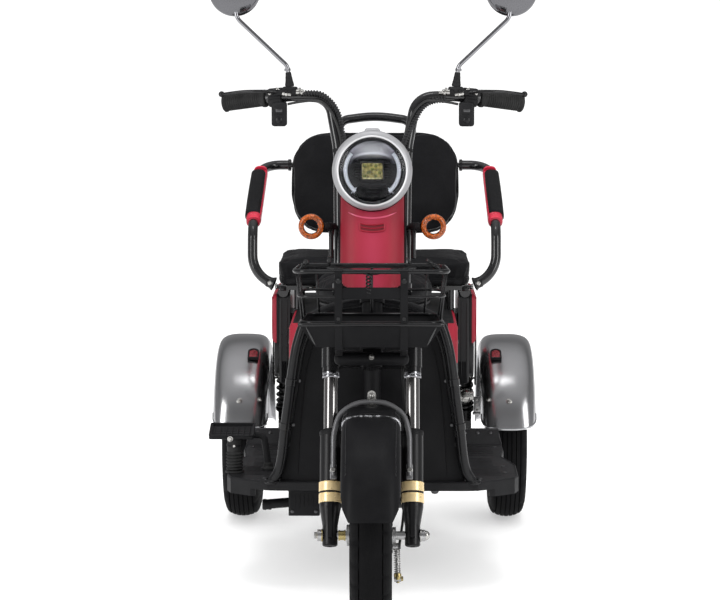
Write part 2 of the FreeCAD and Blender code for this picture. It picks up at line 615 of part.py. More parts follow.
# control cables: a wrapped bundle over each bar bend into the cover's back,
# and the front brake cable down behind the left fork leg
bund = tube([(-150.0, 355.0, 996.0), (-122.0, 350.0, 1001.0), (-80.0, 345.0, 995.0),
             (-57.0, 334.0, 948.0), (-46.0, 314.0, 890.0), (-42.0, 290.0, 815.0)],
            [60.0, 45.0, 60.0, 120.0], 5.5)
bund = bund.cut(PARTS["handlebar"][0]).cut(PARTS["cowl_back"][0])
bund = bund.cut(PARTS["front_cowl"][0]).cut(pods)
bund = max(bund.Solids, key=lambda q: q.Volume)
cab = [(50.0, 4.0, 101.0), (51.0, 24.0, 140.0), (60.0, 45.0, 200.0)]
cab += [tilt_pt(64.0, -7.0, z) for z in (75.0, 225.0)]
cab += [tilt_pt(60.0, 26.0, 300.0), tilt_pt(57.0, 26.0, 400.0), tilt_pt(55.0, 27.0, 560.0),
        tilt_pt(57.0, 28.0, 640.0)]
bcable = tube(cab, 90.0, 2.6)
bcable = bcable.cut(PARTS["front_brake_plate"][0]).cut(PARTS["fork_crown"][0])
bcable = bcable.cut(PARTS["handlebar"][0])
bcable = max(bcable.Solids, key=lambda q: q.Volume)
put("control_cables", both(bund) + [bcable])

# --------------------------------------------------------------------- frame
head = cyl((0, 0, HEAD_LO), (0, 0, 1), HEAD_R, HEAD_HI - HEAD_LO)
head = head.fuse(cyl((0, 0, HEAD_LO), (0, 0, 1), 24.0, 12.0)).fuse(
    cyl((0, 0, HEAD_HI - 12.0), (0, 0, 1), 24.0, 12.0))
head = tilt(head)
down = tube([(0.0, 186.0, 556.0), (0.0, 277.0, 484.0), (0.0, 277.0, RAIL_Z)], 60.0, 17.0)
bore = tilt(cyl((0, 0, 330.0), (0, 0, 1), STEERER_R + 0.8, 160.0))
headtube = head.fuse(down).cut(bore).removeSplitter()
put("head_tube", headtube)

hoop_pts = [(-203.0, 302.0, FLOOR_TOP - 4.0), (-199.0, 294.0, 262.0), (-172.0, 284.0, 480.0),
            (-150.0, 285.0, 556.0), (-88.0, 286.0, 598.0), (0.0, 286.0, 606.0),
            (88.0, 286.0, 598.0), (150.0, 285.0, 556.0), (172.0, 284.0, 480.0),
            (199.0, 294.0, 262.0), (203.0, 302.0, FLOOR_TOP - 4.0)]
hoop = tube(hoop_pts, [200.0, 200.0, 60.0, 90.0, 200.0, 90.0, 60.0, 200.0, 200.0], 9.5)
hoop = hoop.cut(fuse([down, head]))
hs = sorted(hoop.Solids, key=lambda q: -q.Volume)
put("front_guard_hoop", hs[0])

rails = []
for sx in (1.0, -1.0):
    rails.append(rod((sx * RAIL_X, 277.0, RAIL_Z), (sx * RAIL_X, 896.0, RAIL_Z), RAIL_R))
rails.append(rod((-RAIL_X - 16.0, 277.0, RAIL_Z), (RAIL_X + 16.0, 277.0, RAIL_Z), RAIL_R))
rails.append(rod((-RAIL_X, 560.0, RAIL_Z), (RAIL_X, 560.0, RAIL_Z), 12.0))
rails.append(rod((-190.0, 800.0, RAIL_Z), (190.0, 800.0, RAIL_Z), RAIL_R))
# outriggers that carry the wings of the footboard
for ou in (470.0, 700.0):
    rails.append(rod((-262.0, ou, FLOOR_LOW - 9.0), (262.0, ou, FLOOR_LOW - 9.0), 9.0))
floor_frame = fuse(rails)
floor_frame = floor_frame.cut(headtube)
put("floor_frame", floor_frame)

# leg shield: gently crowned plate behind the hoop
sh = [(-62, 594), (-100, 576), (-134, 546), (-152, 500), (-160, 440), (-170, 360),
      (-180, 280), (-186, FLOOR_TOP), (186, FLOOR_TOP), (180, 280), (170, 360), (160, 440),
      (152, 500), (134, 546), (100, 576), (62, 594)]
shield = prism_y(sh, 280.0, 340.0)
crv = Part.makeCylinder(1500.0, 700.0, V(0, 298.5 + 1500.0, 0), V(0, 0, 1)).cut(
    Part.makeCylinder(1496.0, 700.0, V(0, 298.5 + 1500.0, 0), V(0, 0, 1)))
shield = shield.common(crv)
shield = shield.cut(fuse([down, head])).cut(PARTS["front_guard_hoop"][0])
shield = max(shield.Solids, key=lambda q: q.Volume)
put("leg_shield", shield)

# moulded floorboard with side wings and kicked-up rear corners
plan = [(-190, 289), (190, 289), (212, 292), (246, 312), (288, 342), (297, 372), (297, 486),
        (285, 540), (272, 584), (280, 664), (279, 786), (-279, 786), (-280, 664), (-272, 584),
        (-285, 540), (-297, 486), (-297, 372), (-288, 342), (-246, 312), (-212, 292)]
fb = prism_z(plan, FLOOR_LOW, FLOOR_TOP)
fb = round_edges(fb, 3.0, lambda e: e.BoundBox.ZMin > FLOOR_TOP - 1.0)
skirt = []
for sx in (1.0, -1.0):
    sk_o = [(236, 312), (247, 313), (288, 342), (297, 372), (297, 486), (285, 540), (272, 584),
            (280, 664), (279, 786), (262, 786)]
    sk_i = [(232, 318), (243, 320), (281, 348), (290, 374), (290, 484), (278, 538), (265, 583),
            (273, 665), (272, 780), (262, 780)]
    so = prism_z([(sx * x, u) for x, u in sk_o + [(262, 700), (236, 400)]], FLOOR_LOW - 15.0, FLOOR_LOW)
    si = prism_z([(sx * x, u) for x, u in sk_i + [(230, 790), (200, 790), (200, 318)]],
                 FLOOR_LOW - 16.0, FLOOR_LOW + 0.0)
    skirt.append(so.cut(si))
fb = fuse([fb] + skirt)
kick = []
for sx in (1.0, -1.0):
    k = Part.makeLoft([
        Part.makePolygon([V(sx * 182, 740, FLOOR_TOP - 4), V(sx * 279, 740, FLOOR_TOP - 4),
                          V(sx * 278, 784, FLOOR_TOP - 4), V(sx * 182, 784, FLOOR_TOP - 4),
                          V(sx * 182, 740, FLOOR_TOP - 4)]),
        Part.makePolygon([V(sx * 182, 772, 254), V(sx * 273, 772, 254), V(sx * 273, 784, 254),
                          V(sx * 182, 784, 254), V(sx * 182, 772, 254)])], True)
    kick.append(k)
fb = fuse([fb] + kick).cut(fuse([floor_frame, headtube])).cut(PARTS["front_guard_hoop"][0])
fb = max(fb.Solids, key=lambda q: q.Volume)
put("floorboard", fb)

# rear frame: kicked-up side members over the axle and the shock towers
rf = []
for sx in (1.0, -1.0):
    rf.append(tube([(sx * RAIL_X, 890.0, RAIL_Z + 12.0), (sx * 90.0, 918.0, 245.0),
                    (sx * 150.0, 965.0, 312.0), (sx * 150.0, 1160.0, 316.0)],
                   [60.0, 40.0], 14.0))
    rf.append(rod((sx * 150.0, 1010.0, 313.0), (sx * 186.0, 1010.0, 330.0), 10.0))
    rf.append(rod((sx * 186.0, 1010.0, 329.0), (sx * 205.0, 1010.0, 420.0), 10.0))
    rf.append(cyl((sx * 205.0 - 14.0, 1010.0, 424.0), (1, 0, 0), 12.0, 28.0))
rf.append(rod((-150.0, 1156.0, 316.0), (150.0, 1156.0, 316.0), 13.0))
rf.append(rod((-150.0, 985.0, 312.5), (150.0, 985.0, 312.5), 12.0))
rear_frame = fuse(rf).cut(floor_frame)
put("rear_frame", max(rear_frame.Solids, key=lambda q: q.Volume))
RF = PARTS["rear_frame"][0]

# axle housing with differential case, and the motor block ahead of it
AU = WHEELBASE
hz = [cyl((-262.0, AU, AXLE_Z), (1, 0, 0), 22.0, 524.0),
      cyl((-70.0, AU, AXLE_Z), (1, 0, 0), 62.0, 110.0),
      cyl((-345.0, AU, AXLE_Z), (1, 0, 0), 10.0, 690.0)]
for sx in (1.0, -1.0):
    hz.append(cyl((sx * 262.0 - 6.0, AU, AXLE_Z), (1, 0, 0), 46.0, 12.0))
    hz.append(cyl((sx * 340.0 - 6.0, AU, AXLE_Z), (1, 0, 0), 15.0, 12.0))
    hz.append(box(sx * 212.0 - 12.0, AU - 14.0, AXLE_Z + 8.0, sx * 212.0 + 12.0, AU + 14.0, AXLE_Z + 44.0))
rear_axle = fuse(hz)
put("rear_axle_housing", rear_axle)

motor = cyl((-62.0, AU - 118.0, AXLE_Z + 12.0), (1, 0, 0), 58.0, 118.0)
motor = motor.cut(rear_axle)
put("drive_motor", max(motor.Solids, key=lambda q: q.Volume))

sw = []
for sx in (1.0, -1.0):
    sw.append(rod((sx * 172.0, 820.0, RAIL_Z), (sx * 172.0, AU - 10.0, AXLE_Z), 11.0))
    sw.append(cyl((sx * 172.0 - 16.0, 822.0, RAIL_Z), (1, 0, 0), 16.0, 32.0))
arms = [sw[0].fuse(sw[1]).cut(rear_axle).cut(floor_frame),
        sw[2].fuse(sw[3]).cut(rear_axle).cut(floor_frame)]
put("trailing_arms", [max(a.Solids, key=lambda q: q.Volume) for a in arms])

sh_ = []
for sx in (1.0, -1.0):
    a = (sx * 212.0, AU, AXLE_Z + 44.0)
    b = (sx * 207.0, 1013.0, 412.0)
    av, bv = V(*a), V(*b)
    d = bv.sub(av)
    L = d.Length
    d.normalize()
    s = Part.makeCylinder(8.0, L, av, d)
    s = s.fuse(Part.makeCylinder(19.0, L - 62.0, av.add(V(d).multiply(28.0)), d))
    s = s.fuse(Part.makeCylinder(13.0, 30.0, av, d)).removeSplitter()
    s = s.cut(rear_axle).cut(RF)
    sh_.append(max(s.Solids, key=lambda q: q.Volume))
put("rear_shocks", sh_)

# rear mudguards, mirror-bright arches with domed section
RR = REAR_FENDER_R
ro = [(FENDER_X0, RR - 46.0), (FENDER_X0 + 3, RR - 22.0), (FENDER_X0 + 14, RR - 7.0),
      (FENDER_X0 + 36, RR - 0.8), (FENDER_X0 + 64, RR), (FENDER_X1 - 28, RR - 2.6),
      (FENDER_X1 - 11, RR - 11.0), (FENDER_X1 - 2.8, RR - 27.0), (FENDER_X1, RR - 58.0)]
ri = [(FENDER_X1 - 2.2, RR - 58.0), (FENDER_X1 - 5.0, RR - 27.6), (FENDER_X1 - 12.6, RR - 12.8),
      (FENDER_X1 - 28.6, RR - 4.8), (FENDER_X0 + 64, RR - 2.2), (FENDER_X0 + 36.4, RR - 3.0),
      (FENDER_X0 + 15.4, RR - 8.8), (FENDER_X0 + 5.2, RR - 22.6), (FENDER_X0 + 2.2, RR - 46.0)]
rear_f = arch(ro, ri, AU, FENDER_CZ, 79.0, 90.0)
FXM = (FENDER_X0 + FENDER_X1) / 2.0
lip = [(FENDER_X0 - 6.0, 285.0)]
for k in range(13):
    t = math.pi * (k / 12.0 - 0.5)
    c_, s_ = math.sin(t), math.cos(t)
    lip.append((FXM + 66.0 * (abs(c_) ** 0.75) * (1 if c_ > 0 else -1), 268.0 - 31.0 * s_ ** 0.62))
lip += [(FENDER_X1 + 6.0, 285.0), (FENDER_X1 + 30.0, 285.0), (FENDER_X1 + 30.0, 200.0),
        (FENDER_X0 - 30.0, 200.0), (FENDER_X0 - 30.0, 285.0)]
rear_f = rear_f.cut(prism_y(lip, 820.0, 1000.0))
rear_f = max(rear_f.Solids, key=lambda q: q.Volume)
put("rear_fenders", [rear_f, mirror_x(rear_f)])

# stays from the rear frame to the mudguards
fs = []
for sx in (1.0, -1.0):
    s = box(min(sx * 158.0, sx * 300.0), 1052.0, 420.0, max(sx * 158.0, sx * 300.0), 1082.0, 424.0)
    s = s.fuse(box(min(sx * 158.0, sx * 164.0), 1052.0, 312.0, max(sx * 158.0, sx * 164.0), 1082.0, 424.0))
    s = s.cut(rear_f if sx > 0 else mirror_x(rear_f))
    s = s.cut(RF)
    s = [q for q in s.Solids if abs(q.CenterOfMass.x) < 240.0]
    fs.append(max(s, key=lambda q: q.Volume))

# ---------------------------------------------------------------- seat body
bo = [(560, FLOOR_TOP), (552, 300), (556, 480), (580, BODY_TOP), (1140, BODY_TOP), (1150, 500),
      (1156, 340), (905, 340), (868, 305), (790, FLOOR_TOP + 1)]
bi = [(566, FLOOR_TOP - 2), (558, 302), (562, 478), (583, BODY_TOP - 5), (1137, BODY_TOP - 5),
      (1145, 497), (1150, 345), (903, 345), (863, 307), (784, FLOOR_TOP - 2)]
sb = prism_x(bo, -BODY_X, BODY_X)
sb = round_edges(sb, 16.0, lambda e: e.BoundBox.XLength < 1e-6 and e.BoundBox.ZMax > 250.0
                 and e.BoundBox.ZMin > FLOOR_TOP + 60)
sb = sb.cut(prism_x(bi, -BODY_X + 5.0, BODY_X - 5.0))
sb = sb.cut(box(-200.0, 500.0, 150.0, 200.0, 789.0, FLOOR_TOP))
sb = sb.cut(PARTS["floorboard"][0]).cut(RF)
put("seat_body", max(sb.Solids, key=lambda q: q.Volume))

put("battery_pack", box(-110.0, 590.0, FLOOR_TOP, 110.0, 770.0, 430.0))

post = cyl((0, 610.0, BODY_TOP), (0, 0, 1), 16.0, 30.0).fuse(
    cyl((0, 610.0, BODY_TOP), (0, 0, 1), 38.0, 5.0)).fuse(
    box(-60.0, 540.0, 545.0, 60.0, 690.0, 551.0)).removeSplitter()
put("saddle_post", post)

# driver's saddle: wide at the back, rounded nose
sa = [(-128, 640), (-120, 720), (-70, 746), (0, 750), (70, 746), (120, 720), (128, 640),
      (112, 560), (74, 496), (40, 474), (0, 470), (-40, 474), (-74, 496), (-112, 560)]
spl = Part.BSplineCurve()
spl.interpolate([V(x, u, 551.3) for x, u in sa], PeriodicFlag=True)
sad = Part.Face(Part.Wire([spl.toShape()])).extrude(V(0, 0, 70.0))
try:
    sad = sad.makeFillet(30.0, [e for e in sad.Edges if e.BoundBox.ZMin > 600])
except Exception:
    pass
put("driver_saddle", sad)

# bench: frame, cushion, backrest. One hoop of tube rises behind the backrest
# and ends as the top handle; a cross tube on it carries the armrest pivots.
seat_frame = [box(-196.0, 800.0, 558.0, 196.0, 1062.0, 567.5),
              tube([(-200.0, 800.0, 553.0), (-200.0, 1128.0, 553.0), (200.0, 1128.0, 553.0),
                    (200.0, 800.0, 553.0)], 44.0, 11.0)]
for sx in (1.0, -1.0):
    seat_frame.append(rod((sx * 168.0, 812.0, BODY_TOP), (sx * 168.0, 812.0, 560.0), 8.0))
    seat_frame.append(rod((sx * 168.0, 1040.0, BODY_TOP), (sx * 168.0, 1040.0, 560.0), 8.0))
    seat_frame.append(cyl((sx * 192.0 if sx > 0 else -217.0, 806.0, 565.0), (1, 0, 0), 5.0, 25.0))
    seat_frame.append(box(min(sx * 186.0, sx * 191.0), ARM_PIVOT_U - 13.0, ARM_PIVOT_Z - 13.0,
                          max(sx * 186.0, sx * 191.0), ARM_PIVOT_U + 13.0, ARM_PIVOT_Z + 13.0))
    seat_frame.append(cyl((sx * 188.0 if sx > 0 else -212.0, ARM_PIVOT_U, ARM_PIVOT_Z),
                          (1, 0, 0), 6.0, 24.0))
seat_frame.append(rod((-187.0, ARM_PIVOT_U, ARM_PIVOT_Z), (187.0, ARM_PIVOT_U, ARM_PIVOT_Z), 10.0))
seat_frame.append(rod((-84.0, 1143.5, 706.0), (84.0, 1143.5, 706.0), 8.0))
hand = tube([(-84.0, 1128.0, 553.0), (-84.0, 1157.0, 850.0), (-86.0, 1175.0, 915.0),
             (0.0, 1180.0, 926.5), (86.0, 1175.0, 915.0), (84.0, 1157.0, 850.0),
             (84.0, 1128.0, 553.0)], [80.0, 27.0, 300.0, 27.0, 80.0], 10.5)
sf = seat_frame[0]
for q in seat_frame[1:] + [hand]:
    sf = sf.fuse(q)
sf = sf.removeSplitter()
put("bench_frame", sf)

cush = soft_block(-SEAT_X, BENCH_U0, SEAT_Z0, SEAT_X, BENCH_U1, SEAT_Z1, 40.0, 18.0)
cush = cush.cut(sf)
put("bench_cushion", max(cush.Solids, key=lambda q: q.Volume))

bk = box(-194.5, -34.0, 0.0, 194.5, 26.0, 237.0)
bk = bk.makeFillet(80.0, [e for e in bk.Edges if along(e, "y")])
try:
    bk = bk.makeFillet(16.0, [e for e in bk.Edges if e.BoundBox.YLength < 1e-6])
except Exception:
    pass
bk.rotate(V(0, 0, 0), V(1, 0, 0), -5.6)
bk.translate(V(0, 1101.5, 655.0))
bk = bk.cut(sf)
put("bench_backrest", max(bk.Solids, key=lambda q: q.Volume))

# side panels and their red covers
sp_o = [(812, 350), (800, 400), (800, 540), (812, 552), (1060, 552), (1060, 470), (1000, 436),
        (950, 380), (900, 350)]
pan = prism_x(sp_o, BODY_X + 7.0, 209.5)
pan = round_edges(pan, 5.0, lambda e: e.BoundBox.XLength < 1e-6 and e.BoundBox.XMin > 205)
foot_l = box(BODY_X, 860.0, 440.0, BODY_X + 8.0, 960.0, 500.0)
pan = pan.fuse(foot_l).removeSplitter().cut(sf).cut(RF).cut(PARTS["rear_shocks"][0])
pan = max(pan.Solids, key=lambda q: q.Volume)
put("side_panels", both(pan))
cov = prism_x([(806, 440), (803, 540), (812, 548), (1040, 548), (1040, 480), (900, 436)],
              209.5, 224.0)
cov = round_edges(cov, 9.0, lambda e: e.BoundBox.XLength < 1e-6 and e.BoundBox.XMin > 223)
cov = cov.cut(sf)
cov = max(cov.Solids, key=lambda q: q.Volume)
put("side_covers", both(cov))

# brake pedal on the right-hand side, its arm stands on the footboard
ped = box(-335.0, -35.0, -4.0, -243.0, 35.0, 4.0)
ped = ped.makeFillet(3.0, ped.Edges)
ped = ped.cut(box(-330.0, -30.0, 0.5, -248.0, 30.0, 9.0))
ped.rotate(V(-290, 0, 0), V(1, 0, 0), 13.0)
ped.translate(V(0, 420.0, 307.0))
parm = tube([(-256.0, 424.0, 300.0), (-224.0, 424.0, 299.0), (-214.0, 424.0, FLOOR_TOP)],
            14.0, 7.0)
parm = parm.fuse(cyl((-214.0, 424.0, FLOOR_TOP), (0, 0, 1), 15.0, 5.0))
ped = fuse([ped, parm]).cut(PARTS["floorboard"][0])
put("brake_pedal", max(ped.Solids, key=lambda q: q.Volume))

# control box under the floor
ctl = box(-172.0, 372.0, 141.0, -108.0, 442.0, FLOOR_LOW)
ctl = round_edges(ctl, 5.0, lambda e: along(e, "z"))
ctl = ctl.fuse(rod((-226.0, 408.0, 157.0), (-170.0, 408.0, 162.0), 10.0)).removeSplitter()
put("control_box", max(ctl.Solids, key=lambda q: q.Volume))

# tail lamps on the back of the body, reflectors on the mudguard fronts
tl = box(-150.0, 1154.0, 420.0, -90.0, 1172.0, 470.0)
tl = tl.cut(PARTS["seat_body"][0])
tl = max(tl.Solids, key=lambda q: q.Volume)
tl = round_edges(tl, 5.0, lambda e: e.BoundBox.YMin > 1171.0)

ang = math.radians(31.0)
rfl = box(-12.0, -4.0, -16.0, 12.0, 5.0, 16.0)
rfl.rotate(V(0, 0, 0), V(1, 0, 0), -59.0)
ru = AU - (RR + 2.0) * math.sin(ang)
rz = FENDER_CZ + (RR + 2.0) * math.cos(ang)
rfl.translate(V(275.0, ru, rz))
rfl = rfl.cut(rear_f)
rfl = [q for q in rfl.Solids]
rfl = max(rfl, key=lambda q: (q.CenterOfMass.y < ru + 2) * q.Volume)
put("lamps_and_reflectors", both(tl) + both(rfl))

# ------------------------------------------------------------------ armrests
for side, sx in (("left", 1.0), ("right", -1.0)):
    P = [(195.0, ARM_PIVOT_U, ARM_PIVOT_Z), (264.5, ARM_PIVOT_U, ARM_PIVOT_Z),
         (268.5, 838.0, 694.0), (268.0, 812.0, 590.0), (224.5, 806.0, 572.5)]
    P = [(sx * x, u, z) for x, u, z in P]
    arm = tube(P, [46.0, 60.0, 68.0], ARM_R, 0.95)
    arm = arm.cut(cyl((sx * 190.0 if sx > 0 else -214.0, ARM_PIVOT_U, ARM_PIVOT_Z),
                      (1, 0, 0), 6.06, 24.0))
    put("armrest_tube_" + side, arm)
    a, b = V(*P[1]), V(*P[2])
    d = b.sub(a)
    L = d.Length
    d.normalize()
    pad = box(-16.5, 0.0, -12.0, 16.5, L - 62.0, 17.0)
    pad = round_edges(pad, 9.0, lambda e: along(e, "y"))
    slope = math.degrees(math.atan2(P[2][2] - P[1][2], P[1][1] - P[2][1]))
    pad.rotate(V(0, 0, 0), V(0, 0, 1), 180.0)
    pad.rotate(V(0, 0, 0), V(1, 0, 0), -slope)
    q = a.add(V(d).multiply(40.0))
    pad.translate(q)
    pad = pad.cut(arm)
    pad = max(pad.Solids, key=lambda q_: q_.Volume)
    put("armrest_pad_" + side, pad)

# -------------------------------------------------------------------- output
os.makedirs("parts", exist_ok=True)
allbox = FreeCAD.BoundBox()
for name, solids in PARTS.items():
    out = []
    for s in solids:
        s = s.copy()
        s.translate(V(0, Y_SHIFT, 0))
        out.append(s)
    shape = out[0] if len(out) == 1 else Part.makeCompound(out)
    PARTS[name] = out
    ok = all(q.isValid() for q in out)
    bb = shape.BoundBox
    allbox.add(bb)
    print("%-24s n=%d vol=%9.0f %s x %.1f..%.1f y %.1f..%.1f z %.1f..%.1f" % (
        name, len(out), shape.Volume, "ok" if ok else "INVALID", bb.XMin, bb.XMax,
        bb.YMin, bb.YMax, bb.ZMin, bb.ZMax))
    shape.exportStep(os.path.join("parts", name + ".step"))
print("nodes", len(PARTS), "box", allbox)
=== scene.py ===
import bpy, bmesh, math, random
import numpy as np
from mathutils import Vector, Matrix, noise as mnoise


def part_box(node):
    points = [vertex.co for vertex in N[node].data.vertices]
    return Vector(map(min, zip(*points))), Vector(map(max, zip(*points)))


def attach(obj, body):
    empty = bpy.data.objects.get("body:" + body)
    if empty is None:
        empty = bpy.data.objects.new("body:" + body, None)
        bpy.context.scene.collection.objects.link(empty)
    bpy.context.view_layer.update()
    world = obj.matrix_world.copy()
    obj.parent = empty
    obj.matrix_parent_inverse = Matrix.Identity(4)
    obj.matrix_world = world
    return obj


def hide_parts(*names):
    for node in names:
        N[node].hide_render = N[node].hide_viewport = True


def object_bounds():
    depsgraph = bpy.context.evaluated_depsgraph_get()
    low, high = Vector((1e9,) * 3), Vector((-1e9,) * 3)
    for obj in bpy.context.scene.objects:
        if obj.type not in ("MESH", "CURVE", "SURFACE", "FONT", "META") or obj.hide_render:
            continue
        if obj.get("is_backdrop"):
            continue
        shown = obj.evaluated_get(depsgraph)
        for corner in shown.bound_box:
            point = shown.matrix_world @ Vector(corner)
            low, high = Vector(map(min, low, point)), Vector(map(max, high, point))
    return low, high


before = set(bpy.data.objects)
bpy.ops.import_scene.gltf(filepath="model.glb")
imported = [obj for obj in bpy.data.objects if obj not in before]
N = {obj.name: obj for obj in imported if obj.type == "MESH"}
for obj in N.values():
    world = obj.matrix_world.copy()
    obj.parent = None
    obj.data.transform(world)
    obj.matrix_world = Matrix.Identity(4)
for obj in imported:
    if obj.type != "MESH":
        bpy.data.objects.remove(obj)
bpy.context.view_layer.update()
random.seed(7)

# The same layout numbers as the part's source, in millimetres: u is measured
# back from the front axle, and Y_SHIFT brings it to the row frame.
Y_SHIFT = -(1080.0 + 234.0 - 229.3) / 2.0
RAKE = math.radians(22.0)
AXIS_U, AXIS_Z = 35.0, 180.0


def P(x, u, z):
    """Layout millimetres to row-frame metres."""
    return Vector((x / 1000.0, (u + Y_SHIFT) / 1000.0, z / 1000.0))


def F(x, y, z):
    """Fork-frame millimetres (z along the steering axis) to row-frame metres."""
    return P(x, AXIS_U + y * math.cos(RAKE) + z * math.sin(RAKE),
             AXIS_Z - y * math.sin(RAKE) + z * math.cos(RAKE))


FORK_Z = Vector((0, math.sin(RAKE), math.cos(RAKE)))
FORK_Y = Vector((0, math.cos(RAKE), -math.sin(RAKE)))
X = Vector((1, 0, 0)); Y = Vector((0, 1, 0)); Z = Vector((0, 0, 1))


# ---------------------------------------------------------------- materials
def new_mat(name):
    m = bpy.data.materials.new(name)
    m.use_nodes = True
    nt = m.node_tree
    bsdf = next(n for n in nt.nodes if n.type == "BSDF_PRINCIPLED")
    return m, nt, bsdf


def node(nt, kind, **kw):
    n = nt.nodes.new(kind)
    for k, v in kw.items():
        setattr(n, k, v)
    return n


def coords(nt):
    for n in nt.nodes:
        if n.type == "TEX_COORD":
            return n
    return nt.nodes.new("ShaderNodeTexCoord")


def noise_tex(nt, scale, detail=3.0, rough=0.55, stretch=None, dist=0.0):
    t = node(nt, "ShaderNodeTexNoise")
    t.inputs["Scale"].default_value = scale
    t.inputs["Detail"].default_value = detail
    t.inputs["Roughness"].default_value = rough
    t.inputs["Distortion"].default_value = dist
    src = coords(nt).outputs["Object"]
    if stretch:
        mp = node(nt, "ShaderNodeMapping")
        mp.inputs["Scale"].default_value = stretch
        nt.links.new(src, mp.inputs["Vector"])
        src = mp.outputs["Vector"]
    nt.links.new(src, t.inputs["Vector"])
    return t.outputs["Fac"]


def voronoi_tex(nt, scale, feature="F1", rnd=1.0, stretch=None):
    t = node(nt, "ShaderNodeTexVoronoi", feature=feature)
    t.inputs["Scale"].default_value = scale
    t.inputs["Randomness"].default_value = rnd
    src = coords(nt).outputs["Object"]
    if stretch:
        mp = node(nt, "ShaderNodeMapping")
        mp.inputs["Scale"].default_value = stretch
        nt.links.new(src, mp.inputs["Vector"])
        src = mp.outputs["Vector"]
    nt.links.new(src, t.inputs["Vector"])
    return t.outputs["Distance"]


def remap(nt, value, lo, hi, a=0.0, b=1.0, clamp=True):
    r = node(nt, "ShaderNodeMapRange")
    r.clamp = clamp
    nt.links.new(value, r.inputs["Value"])
    r.inputs["From Min"].default_value = lo
    r.inputs["From Max"].default_value = hi
    r.inputs["To Min"].default_value = a
    r.inputs["To Max"].default_value = b
    return r.outputs["Result"]


def mix_col(nt, fac, a, b):
    m = node(nt, "ShaderNodeMix", data_type="RGBA")
    nt.links.new(fac, m.inputs["Factor"])
    for sock, v in ((m.inputs[6], a), (m.inputs[7], b)):
        if isinstance(v, (tuple, list)):
            sock.default_value = (*v[:3], 1.0)
        else:
            nt.links.new(v, sock)
    return m.outputs[2]


def bump(nt, bsdf, height, strength, dist, chain=True):
    b = node(nt, "ShaderNodeBump")
    b.inputs["Strength"].default_value = strength
    b.inputs["Distance"].default_value = dist
    nt.links.new(height, b.inputs["Height"])
    s = bsdf.inputs["Normal"]
    if chain and s.is_linked:
        nt.links.new(s.links[0].from_socket, b.inputs["Normal"])
    nt.links.new(b.outputs["Normal"], s)
    return b


def curvature_wear(nt, width=0.002):
    """Lighter, duller edges from the mesh's own pointiness."""
    g = node(nt, "ShaderNodeNewGeometry")
    return remap(nt, g.outputs["Pointiness"], 0.52, 0.60, 0.0, 1.0)


def finish_mat(m):
    return m


def paint(name, base, rough=0.2, coat=0.6, coat_rough=0.06, peel=0.25, dust=0.25,
          metallic=0.0, spec=0.5, dust_col=None, var=0.25):
    """Glossy painted or moulded surface with orange peel, faint dust and rub."""
    m, nt, b = new_mat(name)
    b.inputs["Metallic"].default_value = metallic
    b.inputs["Specular IOR Level"].default_value = spec
    b.inputs["Coat Weight"].default_value = coat
    b.inputs["Coat Roughness"].default_value = coat_rough
    big = noise_tex(nt, 9.0, 5.0, 0.6)
    fine = noise_tex(nt, 900.0, 2.0)
    light = tuple(min(1.0, c * (1 + var) + 0.004) for c in base)
    col = mix_col(nt, remap(nt, big, 0.3, 0.75), base, light)
    if dust > 0:
        dc = dust_col or tuple(min(1.0, c * 0.6 + 0.05) for c in base)
        speck = remap(nt, fine, 0.58, 0.80, 0.0, dust)
        col = mix_col(nt, speck, col, dc)
    nt.links.new(col, b.inputs["Base Color"])
    nt.links.new(remap(nt, big, 0.25, 0.8, rough * 0.75, rough * 1.45), b.inputs["Roughness"])
    if peel > 0:
        bump(nt, b, noise_tex(nt, 260.0, 2.0), peel * 0.35, 0.0006)
    bump(nt, b, noise_tex(nt, 30.0, 2.0), peel * 0.25, 0.0010)
    return m


def grained(name, base, rough=0.5, scale=420.0, strength=0.5, spec=0.4, var=0.3, coat=0.0,
            dist=0.0005):
    """Moulded plastic with a fine leather-like grain."""
    m, nt, b = new_mat(name)
    b.inputs["Specular IOR Level"].default_value = spec
    b.inputs["Coat Weight"].default_value = coat
    b.inputs["Coat Roughness"].default_value = 0.2
    big = noise_tex(nt, 14.0, 5.0, 0.6)
    light = tuple(min(1.0, c * (1 + var) + 0.006) for c in base)
    nt.links.new(mix_col(nt, remap(nt, big, 0.3, 0.75), base, light), b.inputs["Base Color"])
    nt.links.new(remap(nt, big, 0.25, 0.8, rough * 0.85, min(1.0, rough * 1.2)), b.inputs["Roughness"])
    v = voronoi_tex(nt, scale, "F1")
    bump(nt, b, v, strength, dist)
    bump(nt, b, noise_tex(nt, scale * 2.2, 2.0), strength * 0.5, dist * 0.5)
    return m


def metal(name, base, rough=0.12, brushed=None, var=0.12, wobble=0.15, spots=0.0,
          spot_col=(0.18, 0.15, 0.12), wob_scale=14.0, rvar=(0.7, 1.5)):
    m, nt, b = new_mat(name)
    b.inputs["Metallic"].default_value = 1.0
    big = noise_tex(nt, 11.0, 5.0, 0.6)
    dark = tuple(c * (1 - var) for c in base)
    col = mix_col(nt, remap(nt, big, 0.3, 0.75), base, dark)
    if spots > 0:
        sp = remap(nt, noise_tex(nt, 160.0, 4.0, 0.7), 0.62, 0.78, 0.0, spots)
        col = mix_col(nt, sp, col, spot_col)
    nt.links.new(col, b.inputs["Base Color"])
    nt.links.new(remap(nt, noise_tex(nt, 60.0, 4.0), 0.3, 0.75, rough * rvar[0], rough * rvar[1]),
                 b.inputs["Roughness"])
    if brushed:
        bump(nt, b, noise_tex(nt, 220.0, 3.0, 0.6, stretch=brushed), 0.25, 0.0004)
    if wobble:
        bump(nt, b, noise_tex(nt, wob_scale, 2.0), wobble, 0.004)
    return m


